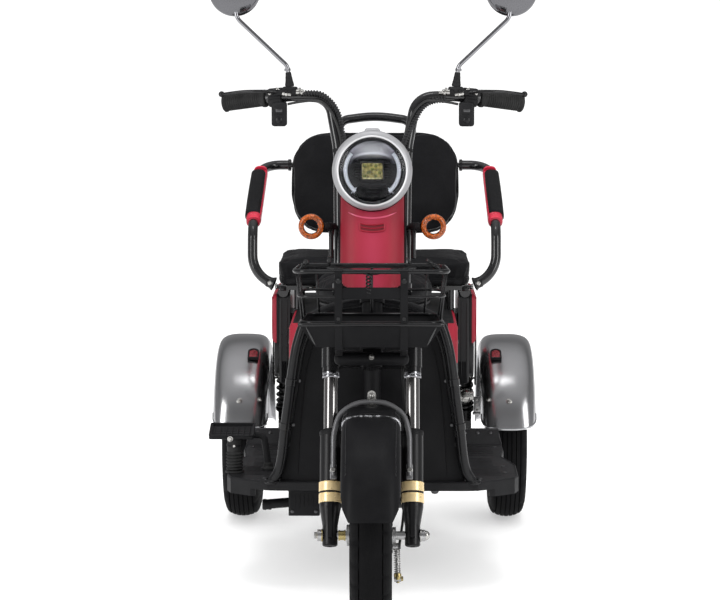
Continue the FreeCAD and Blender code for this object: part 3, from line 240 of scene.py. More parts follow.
def vinyl(name, base=(0.0085, 0.0085, 0.0092), rough=0.44):
    """Black seat vinyl: pebble grain, soft sheen, faint creases."""
    m, nt, b = new_mat(name)
    b.inputs["Specular IOR Level"].default_value = 0.06
    b.inputs["Sheen Weight"].default_value = 0.01
    b.inputs["Sheen Roughness"].default_value = 0.4
    big = noise_tex(nt, 8.0, 6.0, 0.65)
    nt.links.new(mix_col(nt, remap(nt, big, 0.3, 0.75), base, tuple(c * 1.9 + 0.0012 for c in base)),
                 b.inputs["Base Color"])
    nt.links.new(remap(nt, big, 0.25, 0.8, rough * 0.8, rough * 1.25), b.inputs["Roughness"])
    v = voronoi_tex(nt, 480.0, "F1", 0.9)
    bump(nt, b, v, 0.55, 0.0006)
    bump(nt, b, voronoi_tex(nt, 1150.0, "F1", 1.0), 0.25, 0.0003)
    bump(nt, b, noise_tex(nt, 22.0, 4.0, 0.6, dist=0.6), 0.18, 0.004)
    return m


def rubber(name, base=(0.016, 0.016, 0.017), rough=0.72, dusty=0.35):
    m, nt, b = new_mat(name)
    b.inputs["Specular IOR Level"].default_value = 0.22
    big = noise_tex(nt, 18.0, 5.0, 0.65)
    fine = noise_tex(nt, 700.0, 3.0)
    col = mix_col(nt, remap(nt, big, 0.35, 0.75), base, tuple(c * 2.0 + 0.01 for c in base))
    col = mix_col(nt, remap(nt, fine, 0.55, 0.85, 0.0, dusty), col, (0.10, 0.098, 0.095))
    nt.links.new(col, b.inputs["Base Color"])
    nt.links.new(remap(nt, big, 0.2, 0.8, rough * 0.85, min(1.0, rough * 1.2)), b.inputs["Roughness"])
    bump(nt, b, fine, 0.3, 0.0004)
    bump(nt, b, noise_tex(nt, 90.0, 4.0), 0.15, 0.0008)
    return m


BLACK = (0.0050, 0.0050, 0.0055)
M = {}
M["black_paint"] = paint("mat_black_paint", BLACK, 0.22, 0.30, 0.06, 0.3, 0.10, spec=0.26)
M["black_tube"] = paint("mat_black_tube", BLACK, 0.16, 0.85, 0.05, 0.14, 0.04, spec=0.45)
M["black_gloss"] = paint("mat_black_gloss", (0.0048, 0.0048, 0.0054), 0.26, 0.20, 0.06, 0.22, 0.10, spec=0.24)
M["black_satin"] = paint("mat_black_satin", (0.0042, 0.0042, 0.0048), 0.46, 0.05, 0.3, 0.30, 0.06, spec=0.09)
M["leg_satin"] = paint("mat_fork_leg_black", (0.0046, 0.0046, 0.0052), 0.34, 0.16, 0.22, 0.25, 0.08, spec=0.26)
M["black_plastic"] = grained("mat_black_plastic", (0.0072, 0.0072, 0.0080), 0.48, 520.0, 0.45, spec=0.18)
M["tyre"] = rubber("mat_tyre")
M["grip_rubber"] = rubber("mat_grip_rubber", (0.009, 0.009, 0.009), 0.55, 0.08)
M["alloy"] = paint("mat_alloy_black", (0.012, 0.012, 0.013), 0.30, 0.25, 0.15, 0.4, 0.15)
M["chrome"] = metal("mat_chrome", (0.74, 0.75, 0.76), 0.10, None, 0.08, 0.10, 0.12)
M["fender_chrome"] = metal("mat_fender_chrome", (0.57, 0.57, 0.58), 0.21, None, 0.10, 0.10, 0.04, rvar=(0.94, 1.06))
M["steel"] = metal("mat_zinc_steel", (0.62, 0.62, 0.62), 0.30, (1.0, 1.0, 8.0), 0.2, 0.1, 0.35)
M["gold"] = paint("mat_gold_collar", (0.86, 0.665, 0.36), 0.28, 0.3, 0.1, 0.12, 0.10, metallic=0.50, var=0.15)
M["stanchion"] = metal("mat_stanchion_chrome", (0.35, 0.34, 0.335), 0.12, None, 0.10, 0.10, 0.12)
M["red"] = paint("mat_red_gloss", (0.225, 0.0026, 0.015), 0.46, 0.10, 0.42, 0.25, 0.05, spec=0.30,
                 dust_col=(0.42, 0.06, 0.08), var=0.12)
M["vinyl"] = vinyl("mat_seat_vinyl", (0.0044, 0.0044, 0.0049))
# a slightly darker copy of the seat vinyl for the arm pads: painted shade, since their tops face the overhead light
M["pad_vinyl"] = vinyl("mat_armpad_vinyl", (0.0042, 0.0042, 0.0046))
M["grey_paint"] = paint("mat_grey_stay", (0.10, 0.10, 0.105), 0.32, 0.3, 0.15, 0.3, 0.3, metallic=0.4)
M["motor"] = metal("mat_cast_aluminium", (0.42, 0.42, 0.43), 0.42, None, 0.25, 0.2, 0.3)
M["red_lens"] = paint("mat_red_lens", (0.42, 0.008, 0.010), 0.12, 1.0, 0.03, 0.15, 0.05, var=0.3)
M["battery"] = grained("mat_battery_case", (0.02, 0.02, 0.022), 0.55, 300.0, 0.4)

# seat body: red upper cladding over a black lower tub, with the joint between them
M["body_two_tone"] = M["red"].copy()
M["body_two_tone"].name = "mat_seat_body"
nt_ = M["body_two_tone"].node_tree
for bs_ in [n for n in nt_.nodes if n.type == "BSDF_PRINCIPLED"]:
    src_ = bs_.inputs["Base Color"].links[0].from_socket
    sp_ = nt_.nodes.new("ShaderNodeSeparateXYZ")
    tc_ = nt_.nodes.new("ShaderNodeTexCoord")
    nt_.links.new(tc_.outputs["Object"], sp_.inputs["Vector"])
    cut_ = remap(nt_, sp_.outputs["Z"], 0.4295, 0.4300)
    # the front wall between the red corners is black moulding
    ab_ = nt_.nodes.new("ShaderNodeMath")
    ab_.operation = "ABSOLUTE"
    nt_.links.new(sp_.outputs["X"], ab_.inputs[0])
    mx_ = nt_.nodes.new("ShaderNodeMath")
    mx_.operation = "MAXIMUM"
    nt_.links.new(remap(nt_, ab_.outputs[0], 0.1570, 0.1574), mx_.inputs[0])
    nt_.links.new(remap(nt_, sp_.outputs["Y"], 0.1000, 0.1004), mx_.inputs[1])
    mt_ = nt_.nodes.new("ShaderNodeMath")
    mt_.operation = "MAXIMUM"
    nt_.links.new(remap(nt_, ab_.outputs[0], 0.1700, 0.1704), mt_.inputs[0])
    nt_.links.new(remap(nt_, sp_.outputs["Z"], 0.5120, 0.5124, 1.0, 0.0), mt_.inputs[1])
    mu_ = nt_.nodes.new("ShaderNodeMath")
    mu_.operation = "MINIMUM"
    nt_.links.new(mx_.outputs[0], mu_.inputs[0])
    nt_.links.new(mt_.outputs[0], mu_.inputs[1])
    mn_ = nt_.nodes.new("ShaderNodeMath")
    mn_.operation = "MINIMUM"
    nt_.links.new(cut_, mn_.inputs[0])
    nt_.links.new(mu_.outputs[0], mn_.inputs[1])
    nt_.links.new(mix_col(nt_, mn_.outputs[0], (0.006, 0.006, 0.0065), src_), bs_.inputs["Base Color"])
# steering cover: painted highlight, a lighter pink down its middle, and painted shade, a darker red on its flanks,
# where the light falls and turns away
M["cowl_red"] = M["red"].copy()
M["cowl_red"].name = "mat_steering_cover_painted_light"
nt_ = M["cowl_red"].node_tree
for bs_ in [n for n in nt_.nodes if n.type == "BSDF_PRINCIPLED"]:
    src_ = bs_.inputs["Base Color"].links[0].from_socket
    sp_ = nt_.nodes.new("ShaderNodeSeparateXYZ")
    tc_ = nt_.nodes.new("ShaderNodeTexCoord")
    nt_.links.new(tc_.outputs["Object"], sp_.inputs["Vector"])
    ab_ = nt_.nodes.new("ShaderNodeMath")
    ab_.operation = "ABSOLUTE"
    nt_.links.new(sp_.outputs["X"], ab_.inputs[0])
    cowl_painted_highlight = mix_col(nt_, remap(nt_, ab_.outputs[0], 0.004, 0.040, 0.34, 0.0), src_, (0.40, 0.035, 0.090))
    # painted shade: the flanks are mixed towards a darker red
    nt_.links.new(mix_col(nt_, remap(nt_, ab_.outputs[0], 0.030, 0.062, 0.0, 0.34), cowl_painted_highlight, (0.040, 0.0006, 0.003)),
                  bs_.inputs["Base Color"])
# side covers: red outer shell, black inner return
M["cover_two_tone"] = M["red"].copy()
M["cover_two_tone"].name = "mat_side_cover"
nt_ = M["cover_two_tone"].node_tree
for bs_ in [n for n in nt_.nodes if n.type == "BSDF_PRINCIPLED"]:
    src_ = bs_.inputs["Base Color"].links[0].from_socket
    sp_ = nt_.nodes.new("ShaderNodeSeparateXYZ")
    tc_ = nt_.nodes.new("ShaderNodeTexCoord")
    nt_.links.new(tc_.outputs["Object"], sp_.inputs["Vector"])
    ab_ = nt_.nodes.new("ShaderNodeMath")
    ab_.operation = "ABSOLUTE"
    nt_.links.new(sp_.outputs["X"], ab_.inputs[0])
    cut_ = remap(nt_, ab_.outputs[0], 0.2150, 0.2154)
    nt_.links.new(mix_col(nt_, cut_, (0.006, 0.006, 0.0065), src_), bs_.inputs["Base Color"])
CAD_MAT = {
    "head_tube": "black_satin", "front_guard_hoop": "black_tube", "floor_frame": "black_paint",
    "leg_shield": "black_satin", "floorboard": "black_plastic", "rear_frame": "black_paint",
    "rear_axle_housing": "black_paint", "drive_motor": "motor", "trailing_arms": "black_paint",
    "rear_shocks": "chrome", "rear_fenders": "fender_chrome", "seat_body": "body_two_tone", "battery_pack": "battery",
    "saddle_post": "black_paint", "driver_saddle": "vinyl", "bench_frame": "black_tube",
    "bench_cushion": "vinyl", "bench_backrest": "vinyl", "side_panels": "black_gloss",
    "side_covers": "cover_two_tone", "brake_pedal": "black_plastic", "control_box": "black_plastic",
    "lamps_and_reflectors": "red_lens", "fork_legs": "leg_satin", "fork_collars": "gold",
    "fork_stanchions": "stanchion", "fork_crown": "black_paint", "front_axle": "steel",
    "front_brake_plate": "steel", "front_fender": "black_satin", "fender_stay": "grey_paint",
    "handlebar": "black_tube", "grips": "grip_rubber", "hand_controls": "black_plastic",
    "mirrors": "chrome", "headlight_shell": "chrome", "headlight_lens": "chrome",
    "headlight_unit": "black_plastic", "front_cowl": "cowl_red", "cowl_back": "black_plastic",
    "turn_signals": "black_plastic", "basket_cage": "black_paint", "basket_tray": "black_satin",
    "basket_carrier": "black_paint", "control_cables": "grip_rubber",
    "front_tyre": "tyre", "front_wheel_rim": "alloy", "rear_tyre_left": "tyre",
    "rear_wheel_rim_left": "alloy", "rear_tyre_right": "tyre", "rear_wheel_rim_right": "alloy",
    "armrest_tube_left": "black_tube", "armrest_pad_left": "grip_rubber",
    "armrest_tube_right": "black_tube", "armrest_pad_right": "grip_rubber",
}
for n_, k_ in CAD_MAT.items():
    if n_ in N:
        o_ = N[n_]
        o_.data.materials.clear()
        o_.data.materials.append(M[k_])


# ------------------------------------------------------------- shape builders
def mm(v):
    return v / 1000.0


class Geo:
    """Collects many small shapes as one mesh, each with its material index."""

    def __init__(self):
        self.v, self.f, self.m, self.s = [], [], [], []

    def add(self, verts, faces, mat=0, smooth=True):
        o = len(self.v)
        self.v.extend([tuple(p) for p in verts])
        for q in faces:
            self.f.append([i + o for i in q])
            self.m.append(mat)
            self.s.append(smooth)

    def mirrored(self):
        """The same shapes and their mirror image across x = 0."""
        o = len(self.v)
        n = len(self.f)
        self.v.extend([(-x, y, z) for x, y, z in list(self.v)])
        for k in range(n):
            self.f.append([i + o for i in reversed(self.f[k])])
            self.m.append(self.m[k])
            self.s.append(self.s[k])
        return self


def frames(pts, closed=False):
    """Tangent and two steady normals at every point of a path."""
    n = len(pts)
    tans = []
    for i in range(n):
        if closed:
            t = pts[(i + 1) % n] - pts[i - 1]
        else:
            t = pts[min(i + 1, n - 1)] - pts[max(i - 1, 0)]
        tans.append(t.normalized() if t.length > 1e-12 else Vector((0, 0, 1)))
    ref = Vector((0, 0, 1)) if abs(tans[0].z) < 0.9 else Vector((1, 0, 0))
    a = tans[0].cross(ref).normalized()
    out = []
    for t in tans:
        a = (a - t * a.dot(t))
        if a.length < 1e-9:
            a = t.cross(Vector((0, 1, 0)))
        a.normalize()
        out.append((t, a.copy(), t.cross(a).normalized()))
    return out


def sweep(g, pts, rad, seg=14, mat=0, cap=True, closed=False, flat=1.0):
    """Round (or flattened) bar along a list of points; radius in metres."""
    pts = [Vector(p) for p in pts]
    n = len(pts)
    rads = list(rad) if isinstance(rad, (list, tuple)) else [rad] * n
    fr = frames(pts, closed)
    vs, fs = [], []
    for i, p in enumerate(pts):
        _, a, b = fr[i]
        for k in range(seg):
            t = 2 * math.pi * k / seg
            vs.append(p + a * (math.cos(t) * rads[i]) + b * (math.sin(t) * rads[i] * flat))
    rings = n if closed else n - 1
    for i in range(rings):
        j = (i + 1) % n
        for k in range(seg):
            k2 = (k + 1) % seg
            fs.append([i * seg + k, i * seg + k2, j * seg + k2, j * seg + k])
    if cap and not closed:
        fs.append([k for k in range(seg)][::-1])
        fs.append([(n - 1) * seg + k for k in range(seg)])
    g.add(vs, fs, mat)


def spline(pts, k=8, closed=False):
    """Smooth line through the points."""
    p = [Vector(q) for q in pts]
    n = len(p)
    out = []
    segs = n if closed else n - 1
    for i in range(segs):
        if closed:
            p0, p1, p2, p3 = p[i - 1], p[i], p[(i + 1) % n], p[(i + 2) % n]
        else:
            p1, p2 = p[i], p[i + 1]
            p0 = p[i - 1] if i > 0 else p1 * 2 - p2
            p3 = p[i + 2] if i + 2 < n else p2 * 2 - p1
        for j in range(k):
            t = j / k
            out.append(0.5 * ((2 * p1) + (p2 - p0) * t + (2 * p0 - 5 * p1 + 4 * p2 - p3) * t * t
                              + (3 * p1 - p0 - 3 * p2 + p3) * t ** 3))
    if not closed:
        out.append(p[-1])
    return out


def bent(pts, radii, ends=0.45, step=0.006):
    """Straight runs joined by tangent arcs, the way the tubes are bent (mm radii)."""
    p = [Vector(q) for q in pts]
    n = len(p)
    if not isinstance(radii, (list, tuple)):
        radii = [radii] * (n - 2)
    out = [p[0].copy()]
    for i in range(1, n - 1):
        a = p[i - 1] - p[i]
        b = p[i + 1] - p[i]
        la, lb = a.length, b.length
        a.normalize(); b.normalize()
        turn = math.pi - math.acos(max(-1.0, min(1.0, a.dot(b))))
        if turn < 1e-3:
            continue
        fa = ends if i == 1 else 0.45
        fb = ends if i == n - 2 else 0.45
        r = min(radii[i - 1] / 1000.0, min(fa * la, fb * lb) / math.tan(turn / 2.0))
        t = r * math.tan(turn / 2.0)
        bis = (a + b).normalized()
        c = p[i] + bis * (r / math.cos(turn / 2.0))
        pa, pb = p[i] + a * t, p[i] + b * t
        k = max(3, int(r * turn / step))
        va, vb = pa - c, pb - c
        ax = va.cross(vb).normalized()
        for j in range(k + 1):
            out.append(c + Matrix.Rotation(turn * j / k, 3, ax) @ va)
    out.append(p[-1].copy())
    clean = [out[0]]
    for q in out[1:]:
        if (q - clean[-1]).length > 1e-5:
            clean.append(q)
    return clean


def resample(pts, step):
    """Evenly spaced points along a line of points."""
    out = [pts[0].copy()]
    acc = 0.0
    for a, b in zip(pts[:-1], pts[1:]):
        d = (b - a).length
        while acc + d >= step:
            t = (step - acc) / d
            a = a + (b - a) * t
            out.append(a.copy())
            d = (b - a).length
            acc = 0.0
        acc += d
    out.append(pts[-1].copy())
    return out


def basis(axis, up=None):
    w = Vector(axis).normalized()
    ref = Vector(up) if up is not None else (Vector((0, 0, 1)) if abs(w.z) < 0.9 else Vector((0, 1, 0)))
    u = ref.cross(w).normalized()
    v = w.cross(u).normalized()
    return u, v, w


def lathe(g, origin, axis, prof, seg=64, mat=0, a0=0.0, a1=2 * math.pi, up=None, closed=True,
          mats=None, sharp=False, warp=None):
    """Turn a profile of (height along axis, radius) in mm about an axis."""
    o = Vector(origin)
    u, v, w = basis(axis, up)
    full = abs((a1 - a0) - 2 * math.pi) < 1e-6
    cols = seg if full else seg + 1
    m = len(prof)
    vs, fs, ms = [], [], []
    for k in range(cols):
        t = a0 + (a1 - a0) * k / seg
        d = v * math.cos(t) + u * math.sin(t)
        for h, r in prof:
            if warp:
                h, r = warp(h, r, t)
            vs.append(o + w * mm(h) + d * mm(r))
    rows = m if closed else m - 1
    for k in range(seg):
        k2 = (k + 1) % cols
        for i in range(rows):
            j = (i + 1) % m
            if prof[i][1] < 1e-6 and prof[j][1] < 1e-6:
                continue
            fs.append([k * m + i, k * m + j, k2 * m + j, k2 * m + i])
            ms.append(mats[i] if mats else mat)
    if not full and closed:
        fs.append([i for i in range(m)]); ms.append(mat)
        fs.append([(cols - 1) * m + i for i in reversed(range(m))]); ms.append(mat)
    base = len(g.v)
    g.add(vs, fs, mat)
    for k_, mi in enumerate(ms):
        g.m[len(g.m) - len(ms) + k_] = mi
    return base


def rbox(g, c, size, bev=1.5, seg=2, mat=0, rot=None, taper=None):
    """Box with rounded edges. c in metres, size and bevel in mm."""
    bm = bmesh.new()
    bmesh.ops.create_cube(bm, size=1.0)
    for q in bm.verts:
        q.co = Vector((q.co.x * mm(size[0]), q.co.y * mm(size[1]), q.co.z * mm(size[2])))
        if taper and q.co.z > 0:
            q.co.x *= taper[0]
            q.co.y *= taper[1]
    if bev > 0:
        bmesh.ops.bevel(bm, geom=list(bm.edges), offset=mm(bev), segments=seg, profile=0.5,
                        affect="EDGES", clamp_overlap=True)
    R = rot if rot is not None else Matrix.Identity(3)
    bm.verts.ensure_lookup_table()
    vs = [Vector(c) + R @ q.co for q in bm.verts]
    fs = [[q.index for q in f.verts] for f in bm.faces]
    g.add(vs, fs, mat)
    bm.free()


def align(axis, up=None):
    """Rotation that takes local z to the axis and local y towards up."""
    u, v, w = basis(axis, up)
    return Matrix((u, v, w)).transposed()


def hexbolt(g, pos, axis, af=10.0, h=6.0, mat=0, washer=None, dome=0.0, seg=6, spin=0.0):
    """Bolt head or nut, chamfered, seated on a washer. Sizes in mm."""
    o = Vector(pos)
    u, v, w = basis(axis)
    r = af / 2.0 / math.cos(math.pi / 6)
    base = 0.0
    if washer:
        lathe(g, o, axis, [(0, 0.01), (0, washer[0]), (washer[1] * 0.8, washer[0]),
                           (washer[1], washer[0] - 0.5), (washer[1], 0.01)], 24, mat, closed=False)
        base = washer[1]
    vs, fs = [], []
    for hh, rr in ((base, r), (base + h * 0.82, r), (base + h, r * 0.86)):
        for k in range(seg):
            t = spin + 2 * math.pi * k / seg
            vs.append(o + w * mm(hh) + (u * math.cos(t) + v * math.sin(t)) * mm(rr))
    for i in range(2):
        for k in range(seg):
            fs.append([i * seg + k, i * seg + (k + 1) % seg, (i + 1) * seg + (k + 1) % seg,
                       (i + 1) * seg + k])
    fs.append([2 * seg + k for k in range(seg)])
    fs.append([k for k in range(seg)][::-1])
    g.add(vs, fs, mat, smooth=False)
    if dome:
        lathe(g, o, axis, [(base + h * 0.9, af * 0.36), (base + h + dome * 0.6, af * 0.30),
                           (base + h + dome, af * 0.14), (base + h + dome * 1.04, 0.0)], 16, mat,
              closed=False)


def screw_head(g, pos, axis, r=4.5, h=2.2, mat=0, slot_mat=None):
    """Pan head with a cross recess."""
    o = Vector(pos)
    lathe(g, o, axis, [(0, 0.01), (0, r), (h * 0.4, r), (h * 0.8, r * 0.82), (h, r * 0.5),
                       (h, r * 0.28), (h * 0.45, r * 0.18), (h * 0.4, 0.0)], 20,
          mat, closed=False)


def make(name, g, mats, body="root", replaces=(), sharp=38, bevel=0.0, bseg=2,
         subd=0, recalc=True):
    """A finished piece from collected shapes, riding on its body."""
    me = bpy.data.meshes.new(name)
    me.from_pydata([tuple(p) for p in g.v], [], g.f)
    me.update()
    for k, p in enumerate(me.polygons):
        p.material_index = g.m[k]
        p.use_smooth = g.s[k]
    for m_ in mats if isinstance(mats, (list, tuple)) else [mats]:
        me.materials.append(M[m_] if isinstance(m_, str) else m_)
    bm = bmesh.new()
    bm.from_mesh(me)
    bmesh.ops.remove_doubles(bm, verts=bm.verts, dist=1e-6)
    bmesh.ops.dissolve_degenerate(bm, dist=1e-7, edges=bm.edges)
    if recalc:
        bmesh.ops.recalc_face_normals(bm, faces=bm.faces)
    bm.to_mesh(me)
    bm.free()
    if sharp:
        me.set_sharp_from_angle(angle=math.radians(sharp))
    o = bpy.data.objects.new(name, me)
    bpy.context.scene.collection.objects.link(o)
    if bevel:
        b = o.modifiers.new("bevel", "BEVEL")
        b.width = mm(bevel); b.segments = bseg; b.limit_method = "ANGLE"
        b.angle_limit = math.radians(40); b.harden_normals = False
    if subd:
        s = o.modifiers.new("sub", "SUBSURF")
        s.levels = s.render_levels = subd
    place(o, body, replaces)
    return o


def place(o, body, replaces=()):
    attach(o, body)
    if replaces:
        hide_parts(*([replaces] if isinstance(replaces, str) else replaces))


def from_bm(name, bm, mats, smooth=True):
    me = bpy.data.meshes.new(name)
    bm.to_mesh(me)
    bm.free()
    for p in me.polygons:
        p.use_smooth = smooth
    for m_ in mats:
        me.materials.append(M[m_] if isinstance(m_, str) else m_)
    o = bpy.data.objects.new(name, me)
    bpy.context.scene.collection.objects.link(o)
    return o


def applied(o):
    """The object's mesh with its modifiers applied."""
    dg = bpy.context.evaluated_depsgraph_get()
    me = bpy.data.meshes.new_from_object(o.evaluated_get(dg))
    o.modifiers.clear()
    old = o.data
    o.data = me
    bpy.data.meshes.remove(old)
    return o


def puff(o, voxel=0.006, cap=0.010, pressure=4.0, steps=20, firm=15.0, hold=None):
    """Remesh a closed pad and let cloth pressure round it out."""
    r = o.modifiers.new("remesh", "REMESH")
    r.mode = "VOXEL"
    r.voxel_size = voxel
    r.use_smooth_shade = True
    applied(o)
    s = o.modifiers.new("smooth", "SMOOTH")
    s.factor = 0.5
    s.iterations = 3
    applied(o)
    n = len(o.data.vertices)
    base = np.empty(n * 3)
    o.data.vertices.foreach_get("co", base)
    base = base.reshape(-1, 3)
    if hold is not None:
        vg = o.vertex_groups.new(name="hold")
        for i, p in enumerate(base):
            w = hold(p)
            if w > 0:
                vg.add([i], w, "REPLACE")
    c = o.modifiers.new("cloth", "CLOTH")
    st = c.settings
    st.quality = 5
    st.mass = 0.3
    st.tension_stiffness = firm
    st.compression_stiffness = firm
    st.shear_stiffness = 5.0
    st.bending_stiffness = 0.6
    st.use_pressure = True
    st.uniform_pressure_force = pressure
    st.effector_weights.gravity = 0.0
    if hold is not None:
        st.vertex_group_mass = "hold"
    c.collision_settings.use_collision = False
    c.point_cache.frame_start = 1
    c.point_cache.frame_end = steps
    for f in range(1, steps + 1):
        bpy.context.scene.frame_set(f)
    dg = bpy.context.evaluated_depsgraph_get()
    me = bpy.data.meshes.new_from_object(o.evaluated_get(dg))
    co = np.empty(n * 3)
    me.vertices.foreach_get("co", co)
    co = co.reshape(-1, 3)
    d = co - base
    ln = np.linalg.norm(d, axis=1, keepdims=True)
    k = np.minimum(1.0, cap / np.maximum(ln, 1e-9))
    co = base + d * k
    o.modifiers.clear()
    me.vertices.foreach_set("co", co.reshape(-1))
    me.update()
    old = o.data
    o.data = me
    bpy.data.meshes.remove(old)
    bpy.context.scene.frame_set(1)
    return o


def moved(o, fn):
    """Move each vertex by a function of its place."""
    n = len(o.data.vertices)
    co = np.empty(n * 3)
    o.data.vertices.foreach_get("co", co)
    co = fn(co.reshape(-1, 3))
    o.data.vertices.foreach_set("co", co.reshape(-1))
    o.data.update()


def finish_soft(o, body, replaces, subd=1):
    for p in o.data.polygons:
        p.use_smooth = True
    if subd:
        s = o.modifiers.new("sub", "SUBSURF")
        s.levels = s.render_levels = subd
    place(o, body, replaces)
    return o


# ------------------------------------------------- more finishes for the details
def glass(name, tint=(1, 1, 1), rough=0.02, ior=1.45, bump_s=0.0):
    """Clear moulded cover: thin, slightly scuffed."""
    m, nt, b = new_mat(name)
    b.inputs["Transmission Weight"].default_value = 1.0
    b.inputs["IOR"].default_value = ior
    fine = noise_tex(nt, 500.0, 3.0)
    nt.links.new(mix_col(nt, remap(nt, fine, 0.5, 0.8), tint, tuple(c * 0.93 for c in tint)),
                 b.inputs["Base Color"])
    nt.links.new(remap(nt, noise_tex(nt, 60.0, 4.0), 0.35, 0.8, rough * 0.6, rough * 2.0),
                 b.inputs["Roughness"])
    if bump_s:
        bump(nt, b, noise_tex(nt, 40.0, 2.0), bump_s, 0.001)
    return m


def lens_plastic(name, base, glow=0.0, rough=0.12, ribs=None, trans=0.25):
    """Coloured lamp plastic with moulded ribs and a little depth; each moulded cell is painted lighter or darker as
    painted facet highlights and shade.
    """
    m, nt, b = new_mat(name)
    b.inputs["Coat Weight"].default_value = 0.8
    b.inputs["Coat Roughness"].default_value = 0.05
    b.inputs["Transmission Weight"].default_value = trans
    b.inputs["IOR"].default_value = 1.45
    n1 = noise_tex(nt, 120.0, 3.0)
    # painted light: cells painted lighter and darker, standing in for facet highlights and shade
    facet_light_cells = voronoi_tex(nt, (ribs or 420.0) * 0.75, "F1", 0.7)
    col = mix_col(nt, remap(nt, facet_light_cells, 0.15, 0.62), tuple(min(1.0, c * 1.5 + 0.01) for c in base),
                  tuple(c * 0.45 for c in base))
    col = mix_col(nt, remap(nt, n1, 0.35, 0.7, 0.0, 0.5), col, tuple(min(1.0, c * 1.7) for c in base))
    nt.links.new(col, b.inputs["Base Color"])
    nt.links.new(remap(nt, n1, 0.2, 0.8, rough * 0.7, rough * 1.6), b.inputs["Roughness"])
    if glow:
        nt.links.new(col, b.inputs["Emission Color"])
        b.inputs["Emission Strength"].default_value = glow
    bump(nt, b, voronoi_tex(nt, ribs or 420.0, "F1", 0.4), 0.5, 0.0008)
    return m


M["glass"] = glass("mat_headlight_glass", (0.97, 0.98, 1.0), 0.015, 1.22)
M["amber"] = lens_plastic("mat_amber_ring", (0.34, 0.070, 0.006), 0.03, 0.14, 300.0, 0.15)
M["amber_dark"] = lens_plastic("mat_amber_inner", (0.42, 0.075, 0.006), 0.08, 0.2, 500.0, 0.1)
M["reflector_face"] = lens_plastic("mat_reflector_face", (0.16, 0.016, 0.022), 0.0, 0.1, 700.0, 0.0)
M["mirror"] = metal("mat_mirror_glass", (0.80, 0.82, 0.84), 0.02, None, 0.03, 0.0, 0.0)
M["lamp_ring"] = paint("mat_lamp_ring", (0.30, 0.30, 0.31), 0.34, 0.25, 0.2, 0.12, 0.08, metallic=0.45, var=0.10)
M["lamp_bead"] = paint("mat_lamp_bead", (0.62, 0.62, 0.63), 0.18, 0.4, 0.1, 0.1, 0.05, metallic=0.35, var=0.06)
M["proj_edge"] = lens_plastic("mat_projector_lip", (0.62, 0.56, 0.26), 0.10, 0.1, 200.0, 0.1)
M["proj_dark"] = lens_plastic("mat_projector_facet", (0.17, 0.19, 0.03), 0.02, 0.06, 160.0, 0.2)
M["stay_silver"] = paint("mat_stay_silver", (0.15, 0.15, 0.155), 0.28, 0.3, 0.12, 0.3, 0.2, metallic=0.55)
# lighter grey for the kick panel's top and outer edges: painted highlights
M["kick_edge_painted_highlight"] = grained("mat_kick_edge_painted_highlight", (0.035, 0.034, 0.036), 0.42, 700.0, 0.3, 0.35)
M["satin"] = metal("mat_satin_silver", (0.60, 0.60, 0.60), 0.34, None, 0.10, 0.06, 0.06)
M["bright_steel"] = metal("mat_bright_steel", (0.70, 0.69, 0.66), 0.20, (1.0, 1.0, 6.0), 0.18, 0.08, 0.2)
M["dark_steel"] = metal("mat_dark_steel", (0.16, 0.16, 0.165), 0.34, None, 0.25, 0.08, 0.4)
M["brass"] = metal("mat_brass_nut", (0.62, 0.50, 0.22), 0.28, None, 0.2, 0.08, 0.25)
M["drl"] = paint("mat_light_guide", (0.80, 0.84, 0.90), 0.30, 0.5, 0.1, 0.1, 0.05, var=0.1)
M["lamp_black"] = paint("mat_lamp_inner_black", (0.007, 0.007, 0.008), 0.40, 0.12, 0.1, 0.15, 0.1)
M["mask_black"] = paint("mat_lamp_mask_black", (0.0040, 0.0040, 0.0050), 0.46, 0.0, 0.3, 0.15, 0.05, spec=0.07)
# lighter red for the ridge under the lamp: a painted highlight
M["red_painted_highlight"] = paint("mat_cover_ridge_painted_highlight", (0.46, 0.060, 0.115), 0.22, 0.5, 0.10, 0.15, 0.03, spec=0.5,
                       dust_col=(0.5, 0.1, 0.13), var=0.12)
M["reflector"] = paint("mat_lamp_reflector_painted_light", (0.72, 0.72, 0.75), 0.22, 0.4, 0.1, 0.12, 0.05, metallic=0.55, var=0.12)
